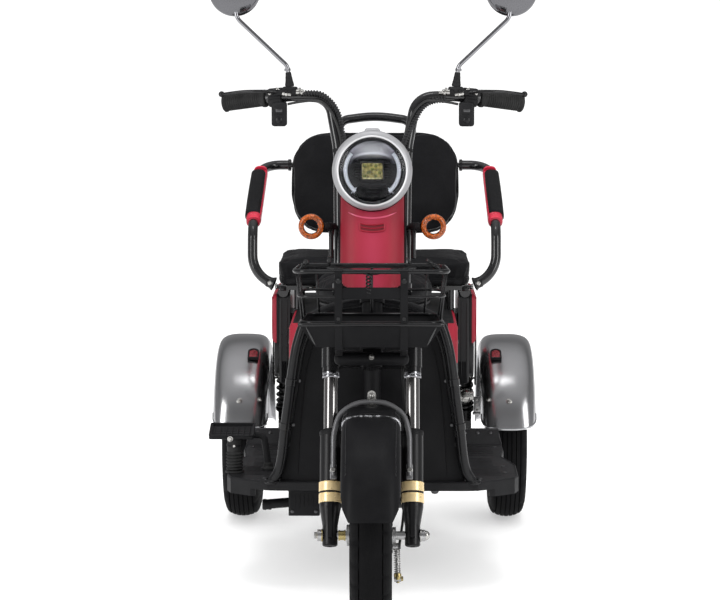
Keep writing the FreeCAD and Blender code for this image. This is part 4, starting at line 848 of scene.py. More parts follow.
# painted reflection: the bowl's colour is darkened toward its rim and its sides as painted shade and is brightest above
# the projector as a painted highlight
nt_ = M["reflector"].node_tree
for bs_ in [n for n in nt_.nodes if n.type == "BSDF_PRINCIPLED"]:
    src_ = bs_.inputs["Base Color"].links[0].from_socket
    sp_ = nt_.nodes.new("ShaderNodeSeparateXYZ")
    nt_.links.new(coords(nt_).outputs["Object"], sp_.inputs["Vector"])
    up_ = remap(nt_, sp_.outputs["Z"], 0.9000, 0.9200)
    col_ = mix_col(nt_, up_, src_, (0.085, 0.083, 0.095))
    ab_ = nt_.nodes.new("ShaderNodeMath")
    ab_.operation = "ABSOLUTE"
    nt_.links.new(sp_.outputs["X"], ab_.inputs[0])
    col_ = mix_col(nt_, remap(nt_, ab_.outputs[0], 0.012, 0.046, 0.0, 0.85), col_, (0.17, 0.155, 0.21))
    # painted highlight: a near-white band painted above the projector
    reflector_band_span = nt_.nodes.new("ShaderNodeMath")
    reflector_band_span.operation = "MULTIPLY"
    nt_.links.new(remap(nt_, sp_.outputs["Z"], 0.8880, 0.8960), reflector_band_span.inputs[0])
    nt_.links.new(remap(nt_, sp_.outputs["Z"], 0.9010, 0.9110, 1.0, 0.0), reflector_band_span.inputs[1])
    reflector_painted_highlight = nt_.nodes.new("ShaderNodeMath")
    reflector_painted_highlight.operation = "MULTIPLY"
    nt_.links.new(reflector_band_span.outputs[0], reflector_painted_highlight.inputs[0])
    nt_.links.new(remap(nt_, ab_.outputs[0], 0.006, 0.034, 1.0, 0.0), reflector_painted_highlight.inputs[1])
    col_ = mix_col(nt_, reflector_painted_highlight.outputs[0], col_, (0.98, 0.98, 1.0))
    # painted shade: darker toward the bottom of the bowl
    lo_ = remap(nt_, sp_.outputs["Z"], 0.8780, 0.8880, 1.0, 0.0)
    col_ = mix_col(nt_, lo_, col_, (0.05, 0.05, 0.06))
    nt_.links.new(col_, bs_.inputs["Base Color"])
M["projector"] = lens_plastic("mat_projector", (0.34, 0.29, 0.07), 0.04, 0.08, 160.0, 0.2)
# mudguard's front bead: dark metallic paint broken by noise into bright patches, painted glints
M["lip_painted_glint"] = paint("mat_fender_lip_painted_glint", (0.020, 0.020, 0.022), 0.12, 0.8, 0.05, 0.3, 0.0, metallic=0.7, spec=0.6)
nt_ = M["lip_painted_glint"].node_tree
for bs_ in [n for n in nt_.nodes if n.type == "BSDF_PRINCIPLED"]:
    src_ = bs_.inputs["Base Color"].links[0].from_socket
    nt_.links.new(mix_col(nt_, remap(nt_, noise_tex(nt_, 60.0, 3.0, 0.6), 0.44, 0.60), src_, (0.50, 0.50, 0.52)),
                  bs_.inputs["Base Color"])
M["wrap"] = grained("mat_spiral_wrap", (0.010, 0.010, 0.011), 0.38, 800.0, 0.3, 0.5)
M["cable"] = grained("mat_cable_sheath", (0.011, 0.011, 0.011), 0.42, 900.0, 0.2, 0.5)
M["red_plastic"] = paint("mat_red_armrest_base", (0.36, 0.008, 0.028), 0.30, 0.4, 0.12, 0.25, 0.1,
                         dust_col=(0.5, 0.1, 0.1), var=0.15)
M["label"] = paint("mat_bare_plate", (0.30, 0.30, 0.30), 0.45, 0.1, 0.3, 0.1, 0.1)
M["spring"] = paint("mat_spring_black", (0.010, 0.010, 0.011), 0.28, 0.6, 0.1, 0.2, 0.1)
M["mirror_back"] = paint("mat_mirror_shell", (0.17, 0.17, 0.18), 0.05, 0.5, 0.03, 0.12, 0.05, metallic=0.92)
M["stem_chrome"] = metal("mat_stem_chrome", (0.44, 0.44, 0.46), 0.12, None, 0.15, 0.0, 0.15)
# dark red sheet for the vent: painted shade standing in for its recess
M["red_painted_recess_shade"] = paint("mat_red_recess_painted_shade", (0.10, 0.003, 0.008), 0.3, 0.4, 0.1, 0.2, 0.05)
M["white_plastic"] = paint("mat_connector", (0.45, 0.45, 0.43), 0.5, 0.0, 0.3, 0.1, 0.1)


def tyre_mat(name):
    """Tyre rubber: fine moulding texture, greyer scrubbed tread, dusty grooves."""
    m, nt, b = new_mat(name)
    b.inputs["Specular IOR Level"].default_value = 0.05
    big = noise_tex(nt, 12.0, 5.0, 0.65)
    fine = noise_tex(nt, 800.0, 3.0)
    speck = noise_tex(nt, 2600.0, 2.0)
    col = mix_col(nt, remap(nt, big, 0.35, 0.75), (0.0036, 0.0036, 0.0040), (0.0075, 0.0075, 0.0082))
    col = mix_col(nt, remap(nt, fine, 0.55, 0.85, 0.0, 0.35), col, (0.026, 0.025, 0.025))
    g = node(nt, "ShaderNodeNewGeometry")
    col = mix_col(nt, remap(nt, g.outputs["Pointiness"], 0.50, 0.56, 0.0, 0.30), col,
                  (0.022, 0.022, 0.022))
    nt.links.new(col, b.inputs["Base Color"])
    nt.links.new(remap(nt, big, 0.2, 0.8, 0.50, 0.78), b.inputs["Roughness"])
    bump(nt, b, speck, 0.25, 0.0003)
    bump(nt, b, fine, 0.25, 0.0005)
    return m


M["tyre"] = tyre_mat("mat_tyre_rubber")
for n_ in ("front_tyre", "rear_tyre_left", "rear_tyre_right"):
    N[n_].data.materials.clear()
    N[n_].data.materials.append(M["tyre"])


# ------------------------------------------------------------------ soft goods
def cushion_bm(hx, hy, h, corner, crown=0.0, nx=28, ny=20, nz=4, top_in=0.0, pull=0.0,
               corner_b=None):
    """Closed pad, rounded in plan: sides pull in between corners, top crowned.
    Metres; local x, y centred, z from 0 to h."""
    bm = bmesh.new()

    def plan(s):
        # superellipse-like rounded rectangle, s in 0..1
        per = []
        c = corner
        x1, y1 = hx - c, hy - c
        for cx_, cy_, a0_ in ((x1, y1, 0.0), (-x1, y1, 90.0), (-x1, -y1, 180.0), (x1, -y1, 270.0)):
            for j in range(9):
                a = math.radians(a0_ + 90.0 * j / 8)
                per.append((cx_ + c * math.cos(a), cy_ + c * math.sin(a)))
        return per

    base = plan(0)
    # walk round evenly
    pts = [Vector((x, y, 0)) for x, y in base]
    pts.append(pts[0])
    ring = resample(pts, sum((b - a).length for a, b in zip(pts[:-1], pts[1:])) / 120.0)[:120]
    rows = []
    prof = []
    for i in range(nz + 1):
        prof.append((h * i / nz, 1.0))
    for z, _ in prof:
        rows.append([])
        tt = z / h
        bul = math.sin(math.pi * tt)
        for p in ring:
            k = 1.0 - top_in * tt ** 2
            q = Vector((p.x * k, p.y * k, z))
            # sides pulled in between the corners
            ex, ey = abs(p.x) / hx, abs(p.y) / hy
            if ey > 0.97:
                q.y *= 1.0 - pull * (1 - (abs(p.x) / hx) ** 2) * (1 - bul * 0.5)
            if ex > 0.97:
                q.x *= 1.0 - pull * (1 - (abs(p.y) / hy) ** 2) * (1 - bul * 0.5)
            rows[-1].append(bm.verts.new(q))
    for a, b in zip(rows[:-1], rows[1:]):
        for k in range(len(a)):
            k2 = (k + 1) % len(a)
            bm.faces.new((a[k], a[k2], b[k2], b[k]))
    # top and bottom as nested rings down to the centre
    for rowi, sgn in ((rows[0], -1), (rows[-1], 1)):
        prev = rowi
        z0 = rowi[0].co.z
        for s in (0.9, 0.75, 0.55, 0.3):
            nxt = []
            for v_ in rowi:
                q = v_.co.copy()
                q.x *= s
                q.y *= s
                q.z = z0 + (crown * (1 - s ** 2) if sgn > 0 else 0.0)
                nxt.append(bm.verts.new(q))
            for k in range(len(prev)):
                k2 = (k + 1) % len(prev)
                f = (prev[k], prev[k2], nxt[k2], nxt[k])
                bm.faces.new(f if sgn > 0 else tuple(reversed(f)))
            prev = nxt
        c = bm.verts.new((0, 0, z0 + (crown if sgn > 0 else 0.0)))
        for k in range(len(prev)):
            k2 = (k + 1) % len(prev)
            f = (prev[k], prev[k2], c)
            bm.faces.new(f if sgn > 0 else tuple(reversed(f)))
    return bm


def piping(name, loop, r, mat, body, slot="saddle_vinyl"):
    g = Geo()
    sweep(g, loop, r, 8, 0, closed=True)
    return make(name, g, mat, body, sharp=0)


def stitches(g, loop, length=0.0055, gap=0.0035, r=0.0006, mat=0):
    """Short raised thread stitches along a line."""
    pts = resample(loop, length + gap)
    for a, b in zip(pts[:-1], pts[1:]):
        d = (b - a)
        if d.length < 1e-6:
            continue
        d.normalize()
        p0, p1 = a + d * gap * 0.5, a + d * (gap * 0.5 + length)
        sweep(g, [p0, (p0 + p1) / 2, p1], [r * 0.6, r, r * 0.6], 5, mat)


def nearest_on(o, p, n=None):
    ok, loc, nor, _ = o.closest_point_on_mesh(p)
    return loc, nor


# bench cushion ---------------------------------------------------------------
SEAT_X, SEAT_Z0, SEAT_Z1 = 212.0, 568.0, 630.5
BENCH_U0, BENCH_U1 = 790.0, 1062.0
bhx, bhy = mm(SEAT_X - 5.0), mm((BENCH_U1 - BENCH_U0) / 2.0 - 5.0)
bm = cushion_bm(bhx, bhy, mm(SEAT_Z1 - SEAT_Z0 - 7.0), mm(36.0), crown=mm(2.5), pull=0.012)
bench = from_bm("bench_seat_cushion", bm, ["vinyl"])
moved(bench, lambda c: c + np.array(P(0, (BENCH_U0 + BENCH_U1) / 2.0, SEAT_Z0 + 0.6)))
zc_lo, zc_hi = mm(SEAT_Z0 + 0.4), mm(SEAT_Z1 - 0.6)
puff(bench, 0.006, 0.007, 4.0, 20, hold=lambda p: 1.0 if p[2] < mm(SEAT_Z0 + 3.0) else 0.0)


def shape_bench(c):
    c = c.copy()
    yc = P(0, (BENCH_U0 + BENCH_U1) / 2.0, 0).y
    lim_x, lim_y = mm(SEAT_X - 0.4), mm((BENCH_U1 - BENCH_U0) / 2.0 - 0.4)
    # the cover is stretched over a square-sided foam: fill the pan's outline
    zt = (c[:, 2] - c[:, 2].min()) / (c[:, 2].max() - c[:, 2].min())
    hgt = mm(SEAT_Z1 - SEAT_Z0 - 2.0)
    bins = np.linspace(0.0, 1.0, 15)
    for ax, mid, lim in ((0, 0.0, lim_x), (1, yc, lim_y)):
        ext = np.array([np.abs(c[np.abs(zt - b_) < 0.06, ax] - mid).max() for b_ in bins])
        rad = mm(17.0)
        up_ = np.clip((bins * hgt - (hgt - rad)) / rad, 0.0, 1.0)
        dn_ = np.clip((mm(6.0) - bins * hgt) / mm(6.0), 0.0, 1.0)
        want = lim - rad * (1.0 - np.sqrt(np.maximum(0.0, 1.0 - up_ ** 2))) * 0.92 - mm(2.4) * dn_ ** 2
        f = np.interp(zt, bins, want / ext)
        inside = np.abs(c[:, ax] - mid) / np.interp(zt, bins, ext)
        f = 1.0 + (f - 1.0) * np.clip((inside - 0.25) / 0.55, 0, 1)
        c[:, ax] = mid + (c[:, ax] - mid) * f
    c[:, 2] = mm(SEAT_Z0 + 0.6) + zt * hgt
    c[:, 0] = np.clip(c[:, 0], -lim_x, lim_x)
    c[:, 1] = np.clip(c[:, 1], yc - lim_y, yc + lim_y)
    c[:, 2] = np.clip(c[:, 2], zc_lo, zc_hi)
    # a shallow sewn hollow along the panel edge, 30 mm in from the rim
    ex = (lim_x - np.abs(c[:, 0]))
    ey = (lim_y - np.abs(c[:, 1] - yc))
    ed = np.minimum(ex, ey)
    top = np.clip((c[:, 2] - mm(SEAT_Z1 - 22)) / mm(14), 0, 1)
    groove = np.exp(-((ed - mm(34)) / mm(3.4)) ** 2) * mm(0.9) * top
    c[:, 2] -= groove
    # side band seam
    side = 1.0 - np.clip((ed - mm(4)) / mm(8), 0, 1)
    dz = (c[:, 2] - mm(SEAT_Z0 + 17.0)) / mm(2.4)
    pull_ = np.exp(-dz ** 2) * mm(1.8) * side
    sx_ = np.where(ex < ey, np.sign(c[:, 0]), 0.0)
    sy_ = np.where(ex < ey, 0.0, np.sign(c[:, 1] - yc))
    c[:, 0] -= sx_ * pull_
    c[:, 1] -= sy_ * pull_
    return c


s_ = bench.modifiers.new("sub", "SUBSURF")
s_.levels = s_.render_levels = 1
applied(bench)
moved(bench, shape_bench)
finish_soft(bench, "root", "bench_cushion", 0)


def loop_on(o, ring, lift, out_dir=None):
    """Lay a loop of points on a mesh and lift it along the surface normal."""
    res = []
    for p in ring:
        loc, nor = nearest_on(o, p)
        res.append(loc + nor * lift)
    return res


def rect_ring(cx, cy, hx, hy, r, z, n=160):
    per = []
    for sx, sy, a0_ in ((1, 1, 0.0), (-1, 1, 90.0), (-1, -1, 180.0), (1, -1, 270.0)):
        for j in range(10):
            a = math.radians(a0_ + 90.0 * j / 9)
            per.append(Vector((cx + sx * (hx - r) + r * math.cos(a),
                               cy + sy * (hy - r) + r * math.sin(a), z)))
    per.append(per[0].copy())
    tot = sum((b - a).length for a, b in zip(per[:-1], per[1:]))
    return resample(per, tot / n)[:n]


yc_ = P(0, (BENCH_U0 + BENCH_U1) / 2.0, 0).y
ring_ = rect_ring(0, yc_, mm(SEAT_X - 2.0), mm((BENCH_U1 - BENCH_U0) / 2 - 2.0), mm(38.0), mm(SEAT_Z0 + 17.0), 220)
ring_ = loop_on(bench, ring_, -0.0002)
g = Geo()
sweep(g, ring_, 0.0017, 8, 0, closed=True)
# thread line just above the side piping
thread = rect_ring(0, yc_, mm(SEAT_X - 2.0), mm((BENCH_U1 - BENCH_U0) / 2 - 2.0), mm(38.0), mm(SEAT_Z0 + 22.5), 220)
thread = loop_on(bench, thread, 0.0001)
stitches(g, thread + [thread[0]], 0.0050, 0.0030, 0.0005, 0)
make("bench_cushion_piping", g, "vinyl", "root", sharp=0)

# bench backrest ---------------------------------------------------------------
# local frame: x across, y through the pad (front is -y), z up the pad
BK_TILT = math.radians(5.6)
BK_O = P(0, 1101.5, 655.0)
BK_R = Matrix.Rotation(-BK_TILT, 3, "X")


def back_pt(x, y, z):
    return BK_O + BK_R @ Vector((mm(x), mm(y), mm(z)))


bm = cushion_bm(mm(189.0), mm(113.0), mm(46.0), mm(74.0), crown=mm(3.0))
# cushion_bm's z runs front to back here; turn it upright
Rb = Matrix(((1, 0, 0), (0, 0, -1), (0, 1, 0)))
bmesh.ops.transform(bm, matrix=Rb.to_4x4(), verts=bm.verts)
bmesh.ops.translate(bm, vec=Vector((0, mm(22.0), mm(118.5))), verts=bm.verts)
bmesh.ops.transform(bm, matrix=Matrix.Translation(BK_O) @ BK_R.to_4x4(), verts=bm.verts)
backrest = from_bm("bench_backrest_pad", bm, ["vinyl"])
INV = BK_R.transposed()


def back_local(c):
    d = c - np.array(BK_O)
    return d @ np.array(INV).T


def back_world(l):
    return l @ np.array(BK_R).T + np.array(BK_O)


def back_hold(p):
    l = INV @ (Vector(p) - BK_O)
    return 1.0 if l.y > mm(20.0) else 0.0


puff(backrest, 0.006, 0.007, 4.0, 20, hold=back_hold)
s_ = backrest.modifiers.new("sub", "SUBSURF")
s_.levels = s_.render_levels = 1
applied(backrest)


def rr_dist(x, z, hx, hz, r):
    """Depth inside a rounded rectangle (positive inside)."""
    qx = np.abs(x) - (hx - r)
    qz = np.abs(z) - (hz - r)
    return -(np.hypot(np.maximum(qx, 0), np.maximum(qz, 0)) + np.minimum(np.maximum(qx, qz), 0) - r)


def shape_back(c):
    l = back_local(c)
    l[:, 0] *= mm(194.0) / np.abs(l[:, 0]).max()
    l[:, 2] = mm(118.5) + (l[:, 2] - mm(118.5)) * mm(118.0) / np.abs(l[:, 2] - mm(118.5)).max()
    l[:, 0] = np.clip(l[:, 0], -mm(194.2), mm(194.2))
    l[:, 1] = np.clip(l[:, 1], -mm(33.6), mm(25.6))
    l[:, 2] = np.clip(l[:, 2], mm(0.4), mm(236.6))
    d = rr_dist(l[:, 0], l[:, 2] - mm(118.5), mm(194.5), mm(118.5), mm(80.0))
    front = np.clip((-l[:, 1] - mm(8)) / mm(10), 0, 1)
    # the face swells evenly towards the middle
    want = -(mm(24.0) + mm(9.3) * np.clip(d / mm(70.0), 0, 1) ** 0.5)
    l[:, 1] = l[:, 1] * (1 - front * 0.8) + want * front * 0.8
    side = 1.0 - np.clip((d - mm(3)) / mm(8), 0, 1)
    seam = np.exp(-((l[:, 1] - mm(2.0)) / mm(2.4)) ** 2) * mm(1.8) * side
    rad = np.stack([l[:, 0], l[:, 2] - mm(118.5)], 1)
    nr = np.linalg.norm(rad, axis=1, keepdims=True)
    rad = rad / np.maximum(nr, 1e-9)
    l[:, 0] -= rad[:, 0] * seam
    l[:, 2] -= rad[:, 1] * seam
    return back_world(l)


moved(backrest, shape_back)
finish_soft(backrest, "root", "bench_backrest", 0)
ring_ = [BK_O + BK_R @ Vector((p.x, mm(2.0), p.y + mm(118.5)))
         for p in rect_ring(0, 0, mm(193.0), mm(117.0), mm(78.0), 0, 200)]
ring_ = loop_on(backrest, ring_, -0.0002)
g = Geo()
sweep(g, ring_, 0.0017, 8, 0, closed=True)
ring2 = [BK_O + BK_R @ Vector((p.x, -mm(2.5), p.y + mm(118.5)))
         for p in rect_ring(0, 0, mm(192.5), mm(116.5), mm(78.0), 0, 200)]
ring2 = loop_on(backrest, ring2, 0.0001)
stitches(g, ring2 + [ring2[0]], 0.0050, 0.0030, 0.0005, 0)
make("backrest_piping", g, "vinyl", "root", sharp=0)

# hard back board of the backrest with its fixing screws
g = Geo()
board = [BK_O + BK_R @ Vector((p.x, mm(26.2), p.y + mm(118.5)))
         for p in rect_ring(0, 0, mm(168.0), mm(92.0), mm(58.0), 0, 96)]
inner = [BK_O + BK_R @ Vector((p.x, mm(28.6), p.y + mm(118.5)))
         for p in rect_ring(0, 0, mm(164.0), mm(88.0), mm(54.0), 0, 96)]
base_ = [BK_O + BK_R @ Vector((p.x, mm(22.0), p.y + mm(118.5)))
         for p in rect_ring(0, 0, mm(168.0), mm(92.0), mm(58.0), 0, 96)]
nb = len(board)
vs = base_ + board + inner
fs = []
for k in range(nb):
    k2 = (k + 1) % nb
    fs.append([k, k2, nb + k2, nb + k])
    fs.append([nb + k, nb + k2, 2 * nb + k2, 2 * nb + k])
fs.append([2 * nb + k for k in range(nb)])
fs.append([k for k in range(nb)][::-1])
g.add(vs, fs, 0)
for sx in (-1, 1):
    for z in (52.0, 118.0, 186.0):
        screw_head(g, back_pt(sx * 132.0, 28.4, z), BK_R @ Vector((0, 1, 0)), 5.0, 2.4, 1)
make("backrest_board", g, ["black_plastic", "dark_steel"], "root")

# driver's saddle ----------------------------------------------------------------
sa = [(-128, 640), (-120, 720), (-70, 746), (0, 750), (70, 746), (120, 720), (128, 640),
      (112, 560), (74, 496), (40, 474), (0, 470), (-40, 474), (-74, 496), (-112, 560)]
out_ = spline([P(x, u, 0) for x, u in sa], 10, closed=True)
sc_ = P(0, 622, 0)
bm = bmesh.new()
rows = []
SAD = [(552.5, 0.80), (553.5, 0.90), (560.0, 0.955), (574.0, 0.965), (590.0, 0.955),
       (602.0, 0.90), (610.0, 0.78)]
for z, k in SAD:
    row = []
    for p in out_:
        q = sc_ + (p - sc_) * k
        row.append(bm.verts.new((q.x, q.y, mm(z))))
    rows.append(row)
for s in (0.6, 0.4, 0.2):
    row = []
    for p in out_:
        q = sc_ + (p - sc_) * s
        row.append(bm.verts.new((q.x, q.y, mm(611.5))))
    rows.append(row)
for a, b in zip(rows[:-1], rows[1:]):
    for k in range(len(a)):
        k2 = (k + 1) % len(a)
        bm.faces.new((a[k], a[k2], b[k2], b[k]))
bm.faces.new(list(reversed(rows[0])))
bm.faces.new(rows[-1])
saddle = from_bm("driver_saddle_pad", bm, ["vinyl"])
puff(saddle, 0.006, 0.008, 4.0, 20, hold=lambda p: 1.0 if p[2] < mm(556.0) else 0.0)
s_ = saddle.modifiers.new("sub", "SUBSURF")
s_.levels = s_.render_levels = 1
applied(saddle)


def shape_saddle(c):
    c = c.copy()
    u = c[:, 1] * 1000.0 - Y_SHIFT
    x = c[:, 0] * 1000.0
    top = np.clip((c[:, 2] - mm(585)) / mm(18), 0, 1)
    # raised rear, dished middle, faint centre channel
    dish = 5.5 * np.exp(-((u - 620.0) / 46.0) ** 2) * np.exp(-(x / 90.0) ** 2)
    chan = 2.2 * np.exp(-(x / 7.0) ** 2) * np.clip((u - 500.0) / 30.0, 0, 1) * np.clip((735.0 - u) / 30.0, 0, 1)
    rear = 2.0 * np.clip((u - 690.0) / 40.0, 0, 1)
    c[:, 2] -= mm(1.0) * (dish + chan - rear) * top
    c[:, 2] = np.clip(c[:, 2], mm(551.6), mm(621.0))
    return c


moved(saddle, shape_saddle)
finish_soft(saddle, "root", "driver_saddle", 0)
g = Geo()
lo_ring = [Vector((p.x, p.y, mm(563.0))) for p in out_]
lo_ring = loop_on(saddle, lo_ring, -0.0002)
sweep(g, lo_ring, 0.0018, 8, 0, closed=True)
# plastic base pan under the saddle
pan_o = [sc_ + (p - sc_) * 0.94 for p in out_]
nb = len(pan_o)
vs = [Vector((p.x, p.y, mm(551.4))) for p in pan_o] + [Vector((p.x, p.y, mm(556.0))) for p in pan_o]
fs = [[k, (k + 1) % nb, nb + (k + 1) % nb, nb + k] for k in range(nb)]
fs.append([k for k in range(nb)][::-1])
fs.append([nb + k for k in range(nb)])
g.add(vs, fs, 1)
make("saddle_base", g, ["vinyl", "black_plastic"], "root")

# armrest pads -------------------------------------------------------------------
ARM_U, ARM_Z = 1160.0, 812.0
for side, sx in (("left", 1.0), ("right", -1.0)):
    a = P(sx * 264.5, ARM_U, ARM_Z)
    b = P(sx * 268.5, 838.0, 694.0)
    d = (b - a)
    L = d.length
    d.normalize()
    xv = (X - d * X.dot(d)).normalized()
    nv = xv.cross(d).normalized()
    if nv.z < 0:
        nv = -nv
    inn = -xv * sx            # towards the seat

    def at(t, w, h):
        """t along the arm in mm from the bend, w towards the seat, h out of its top."""
        return a + d * mm(t) + inn * mm(w) + nv * mm(h)

    T0, T1 = 42.0, L * 1000.0 - 24.0
    # black padded cover: oval section, tapered ends
    g = Geo()
    vs, fs = [], []
    NS, NK = 40, 28
    for i in range(NS + 1):
        t = T0 + 3.0 + (T1 - 21.5 - T0 - 3.0) * i / NS
        e = min(1.0, i / 3.0) ** 0.5 * min(1.0, (NS - i) / 2.0 + 0.55) ** 0.5
        e = max(0.55, min(1.0, e))
        swell = 1.0 + 0.05 * math.sin(math.pi * i / NS)
        for k in range(NK):
            th = 2 * math.pi * k / NK
            cx_, cz_ = math.cos(th), math.sin(th)
            w_ = 15.2 * math.copysign(abs(cx_) ** 0.72, cx_) * e * swell
            h_ = (13.4 * math.copysign(abs(cz_) ** 0.8, cz_)) * e + 2.6
            if cz_ < 0:
                h_ = 2.6 + 13.0 * math.copysign(abs(cz_) ** 0.8, cz_) * e
            vs.append(at(t, w_ * 1.10 - 3.6, h_ * 1.06))
    for i in range(NS):
        for k in range(NK):
            k2 = (k + 1) % NK
            fs.append([i * NK + k, i * NK + k2, (i + 1) * NK + k2, (i + 1) * NK + k])
    fs.append([k for k in range(NK)][::-1])
    fs.append([NS * NK + k for k in range(NK)])
    g.add(vs, fs, 0)
    make("armrest_pad_cover_" + side, g, "pad_vinyl", "armrest_" + side,
         ["armrest_pad_" + side], sharp=50)
    # red moulded base: spine along the inner side, cap at the top, collar at the bottom
    g = Geo()

    def ring_at(t, rw, rh, cw, ch, n=28, p_=0.8):
        out = []
        for k in range(n):
            th = 2 * math.pi * k / n
            cx_, cz_ = math.cos(th), math.sin(th)
            out.append(at(t, cw + rw * math.copysign(abs(cx_) ** p_, cx_),
                          ch + rh * math.copysign(abs(cz_) ** p_, cz_)))
        return out

    def tube_rings(rings, mat=0):
        vs, fs = [], []
        n = len(rings[0])
        for r_ in rings:
            vs += r_
        for i in range(len(rings) - 1):
            for k in range(n):
                k2 = (k + 1) % n
                fs.append([i * n + k, i * n + k2, (i + 1) * n + k2, (i + 1) * n + k])
        fs.append([k for k in range(n)][::-1])
        fs.append([(len(rings) - 1) * n + k for k in range(n)])
        g.add(vs, fs, mat)

    # top cap, rounded
    caps = []
    for t, k in ((T0 - 6.0, 0.55), (T0 - 5.0, 0.78), (T0 - 1.0, 0.93), (T0 + 4.0, 0.97), (T0 + 7.0, 0.94)):
        caps.append(ring_at(t, 16.6 * k, 14.9 * k, 0.0, 2.2))
    tube_rings(caps)
    # spine on the seat side and underneath
    sp = []
    for i in range(24):
        t = T0 + 6.0 + (T1 - 20.0 - T0 - 6.0) * i / 23
        sp.append(ring_at(t, 5.2, 10.4, 11.2, -2.6, 20, 0.8))
    tube_rings(sp)
    # bottom collar
    col = []
    for t, k in ((T1 - 23.0, 0.95), (T1 - 21.5, 1.0), (T1 - 6.0, 1.0), (T1 - 2.0, 0.98), (T1 + 3.0, 0.86)):
        col.append(ring_at(t, 16.5 * k, 15.0 * k, 0.0, 1.2))
    tube_rings(col)
    make("armrest_base_" + side, g, "red_plastic", "armrest_" + side, sharp=45)


# ------------------------------------------------------------------ headlight
HU, HZ = 190.0, 857.0
HC = P(0, HU, HZ)
BACK = Vector((0, 1, 0))
FRONT = Vector((0, -1, 0))

# bowl and trim ring, with a rolled lip and a small peak on top
g = Geo()
lathe(g, HC, BACK, [
    (-1.6, 66.3), (-2.6, 67.2), (-3.0, 68.6), (-2.6, 70.2), (-1.0, 72.6), (1.4, 75.4), (4.6, 77.2),
    (8.5, 77.9), (12.0, 77.9), (14.2, 77.0), (15.2, 75.9), (16.8, 76.3), (20.5, 76.4), (28.0, 74.8),
    (38.0, 71.6), (50.0, 67.0), (60.0, 61.2), (69.0, 53.2), (76.0, 43.4), (80.6, 32.0), (82.8, 22.0),
    (83.6, 12.0), (83.8, 0.01)], 128, 0, closed=False)
# bright bead where the ring meets the glass
lathe(g, HC, BACK, [(-1.0, 65.0), (-2.9, 65.4), (-3.8, 66.6), (-3.9, 67.8), (-3.2, 68.9), (-2.0, 69.3)], 128, 1, closed=False)
# inner wall of the ring behind the glass
lathe(g, HC, BACK, [(-1.6, 66.3), (4.0, 66.2), (12.0, 66.0), (26.0, 66.0)], 128, 0, closed=False)
# peak
for sx in (1,):
    rbox(g, P(0, HU + 14.0, HZ + 77.6), (33.0, 22.0, 8.6), 3.6, 3, 0, taper=(0.80, 0.86))
    rbox(g, P(0, HU + 12.5, HZ + 80.4), (14.0, 12.0, 3.8), 1.5, 3, 0)
make("headlight_bowl", g, ["lamp_ring", "lamp_bead"], "steering", ["headlight_shell"], sharp=40)

# clear domed glass, 3 mm thick at the rim
g = Geo()
Rd = 150.0
outer, inner = [], []
for i in range(25):
    r = 66.0 * i / 24
    outer.append((134.0 - math.sqrt(Rd * Rd - r * r), r))
    r2 = 65.9 * i / 24
    inner.append((134.0 - math.sqrt((Rd - 2.6) ** 2 - r2 * r2), r2))
lathe(g, HC, BACK, outer + [(inner[-1][0], 65.9)] + list(reversed(inner)), 128, 0, closed=False)
make("headlight_glass", g, "glass", "steering", ["headlight_lens"], sharp=35)

# inside: black surround ring, silver reflector bowl cut off at the bottom,
# two light guides, square projector and the lower black trapezoid
g = Geo()
# surround
lathe(g, HC, BACK, [(3.0, 65.6), (3.4, 62.0), (6.4, 59.4), (9.5, 57.8), (14.0, 56.6), (22.0, 56.4)],
      96, 0, closed=False)
# light guides: arcs left and right, proud of a dark groove
for a_lo, a_hi in ((math.radians(50), math.radians(141)), (math.radians(219), math.radians(310))):
    lathe(g, HC, BACK, [(9.0, 56.0), (5.2, 55.6), (3.6, 54.2), (3.2, 51.8), (3.8, 49.4),
                        (5.6, 48.2), (9.0, 47.8)], 60, 1, a0=a_lo, a1=a_hi)
# dark backing disc
lathe(g, HC, BACK, [(21.5, 57.5), (22.0, 46.0), (24.5, 30.0), (27.0, 10.0), (27.5, 0.01)], 96, 0,
      closed=False)
make("headlight_inner", g, ["lamp_black", "drl"], "steering", ["headlight_unit"], sharp=45)

# reflector: a silvered bowl over the upper half, swelling out above the projector
g = Geo()
vs, fs = [], []
NA, NR = 64, 22
for i in range(NR + 1):
    s_ = i / NR
    for k in range(NA + 1):
        t = math.radians(4.0 + 172.0 * k / NA)
        xo, zo = 57.2 * math.cos(t), max(57.2 * math.sin(t), 6.0)
        xi, zi = 30.0 * math.cos(t), 16.0 + 5.0 * math.sin(t)
        x = xi + (xo - xi) * s_
        z = zi + (zo - zi) * s_
        y = 17.0 - 7.0 * s_ - 7.5 * math.sin(math.pi * s_) * math.sin(t) ** 1.5 - 2.5 * math.sin(2 * math.pi * s_) * math.sin(t)
        y -= 1.0 * math.exp(-((x - 14.0) / 5.0) ** 2) * math.sin(math.pi * s_)
        vs.append(P(x, HU + y, HZ + z))
for i in range(NR):
    for k in range(NA):
        a_ = i * (NA + 1) + k
        fs.append([a_, a_ + 1, a_ + NA + 2, a_ + NA + 1])
g.add(vs, fs, 0)
# thin back side so that it is a closed shell
vs2 = [v_ + BACK * 0.0012 for v_ in vs]
g.add(vs2, [list(reversed(f)) for f in fs], 0)
edge = [k for k in range(NA + 1)] + [i * (NA + 1) + NA for i in range(1, NR + 1)] + \
       [NR * (NA + 1) + k for k in range(NA - 1, -1, -1)] + [i * (NA + 1) for i in range(NR - 1, 0, -1)]
n_ = len(vs)
for i in range(len(edge)):
    j = (i + 1) % len(edge)
    g.add([vs[edge[i]], vs[edge[j]], vs2[edge[j]], vs2[edge[i]]], [[0, 3, 2, 1]], 0)
make("headlight_reflector", g, "reflector", "steering", sharp=50)

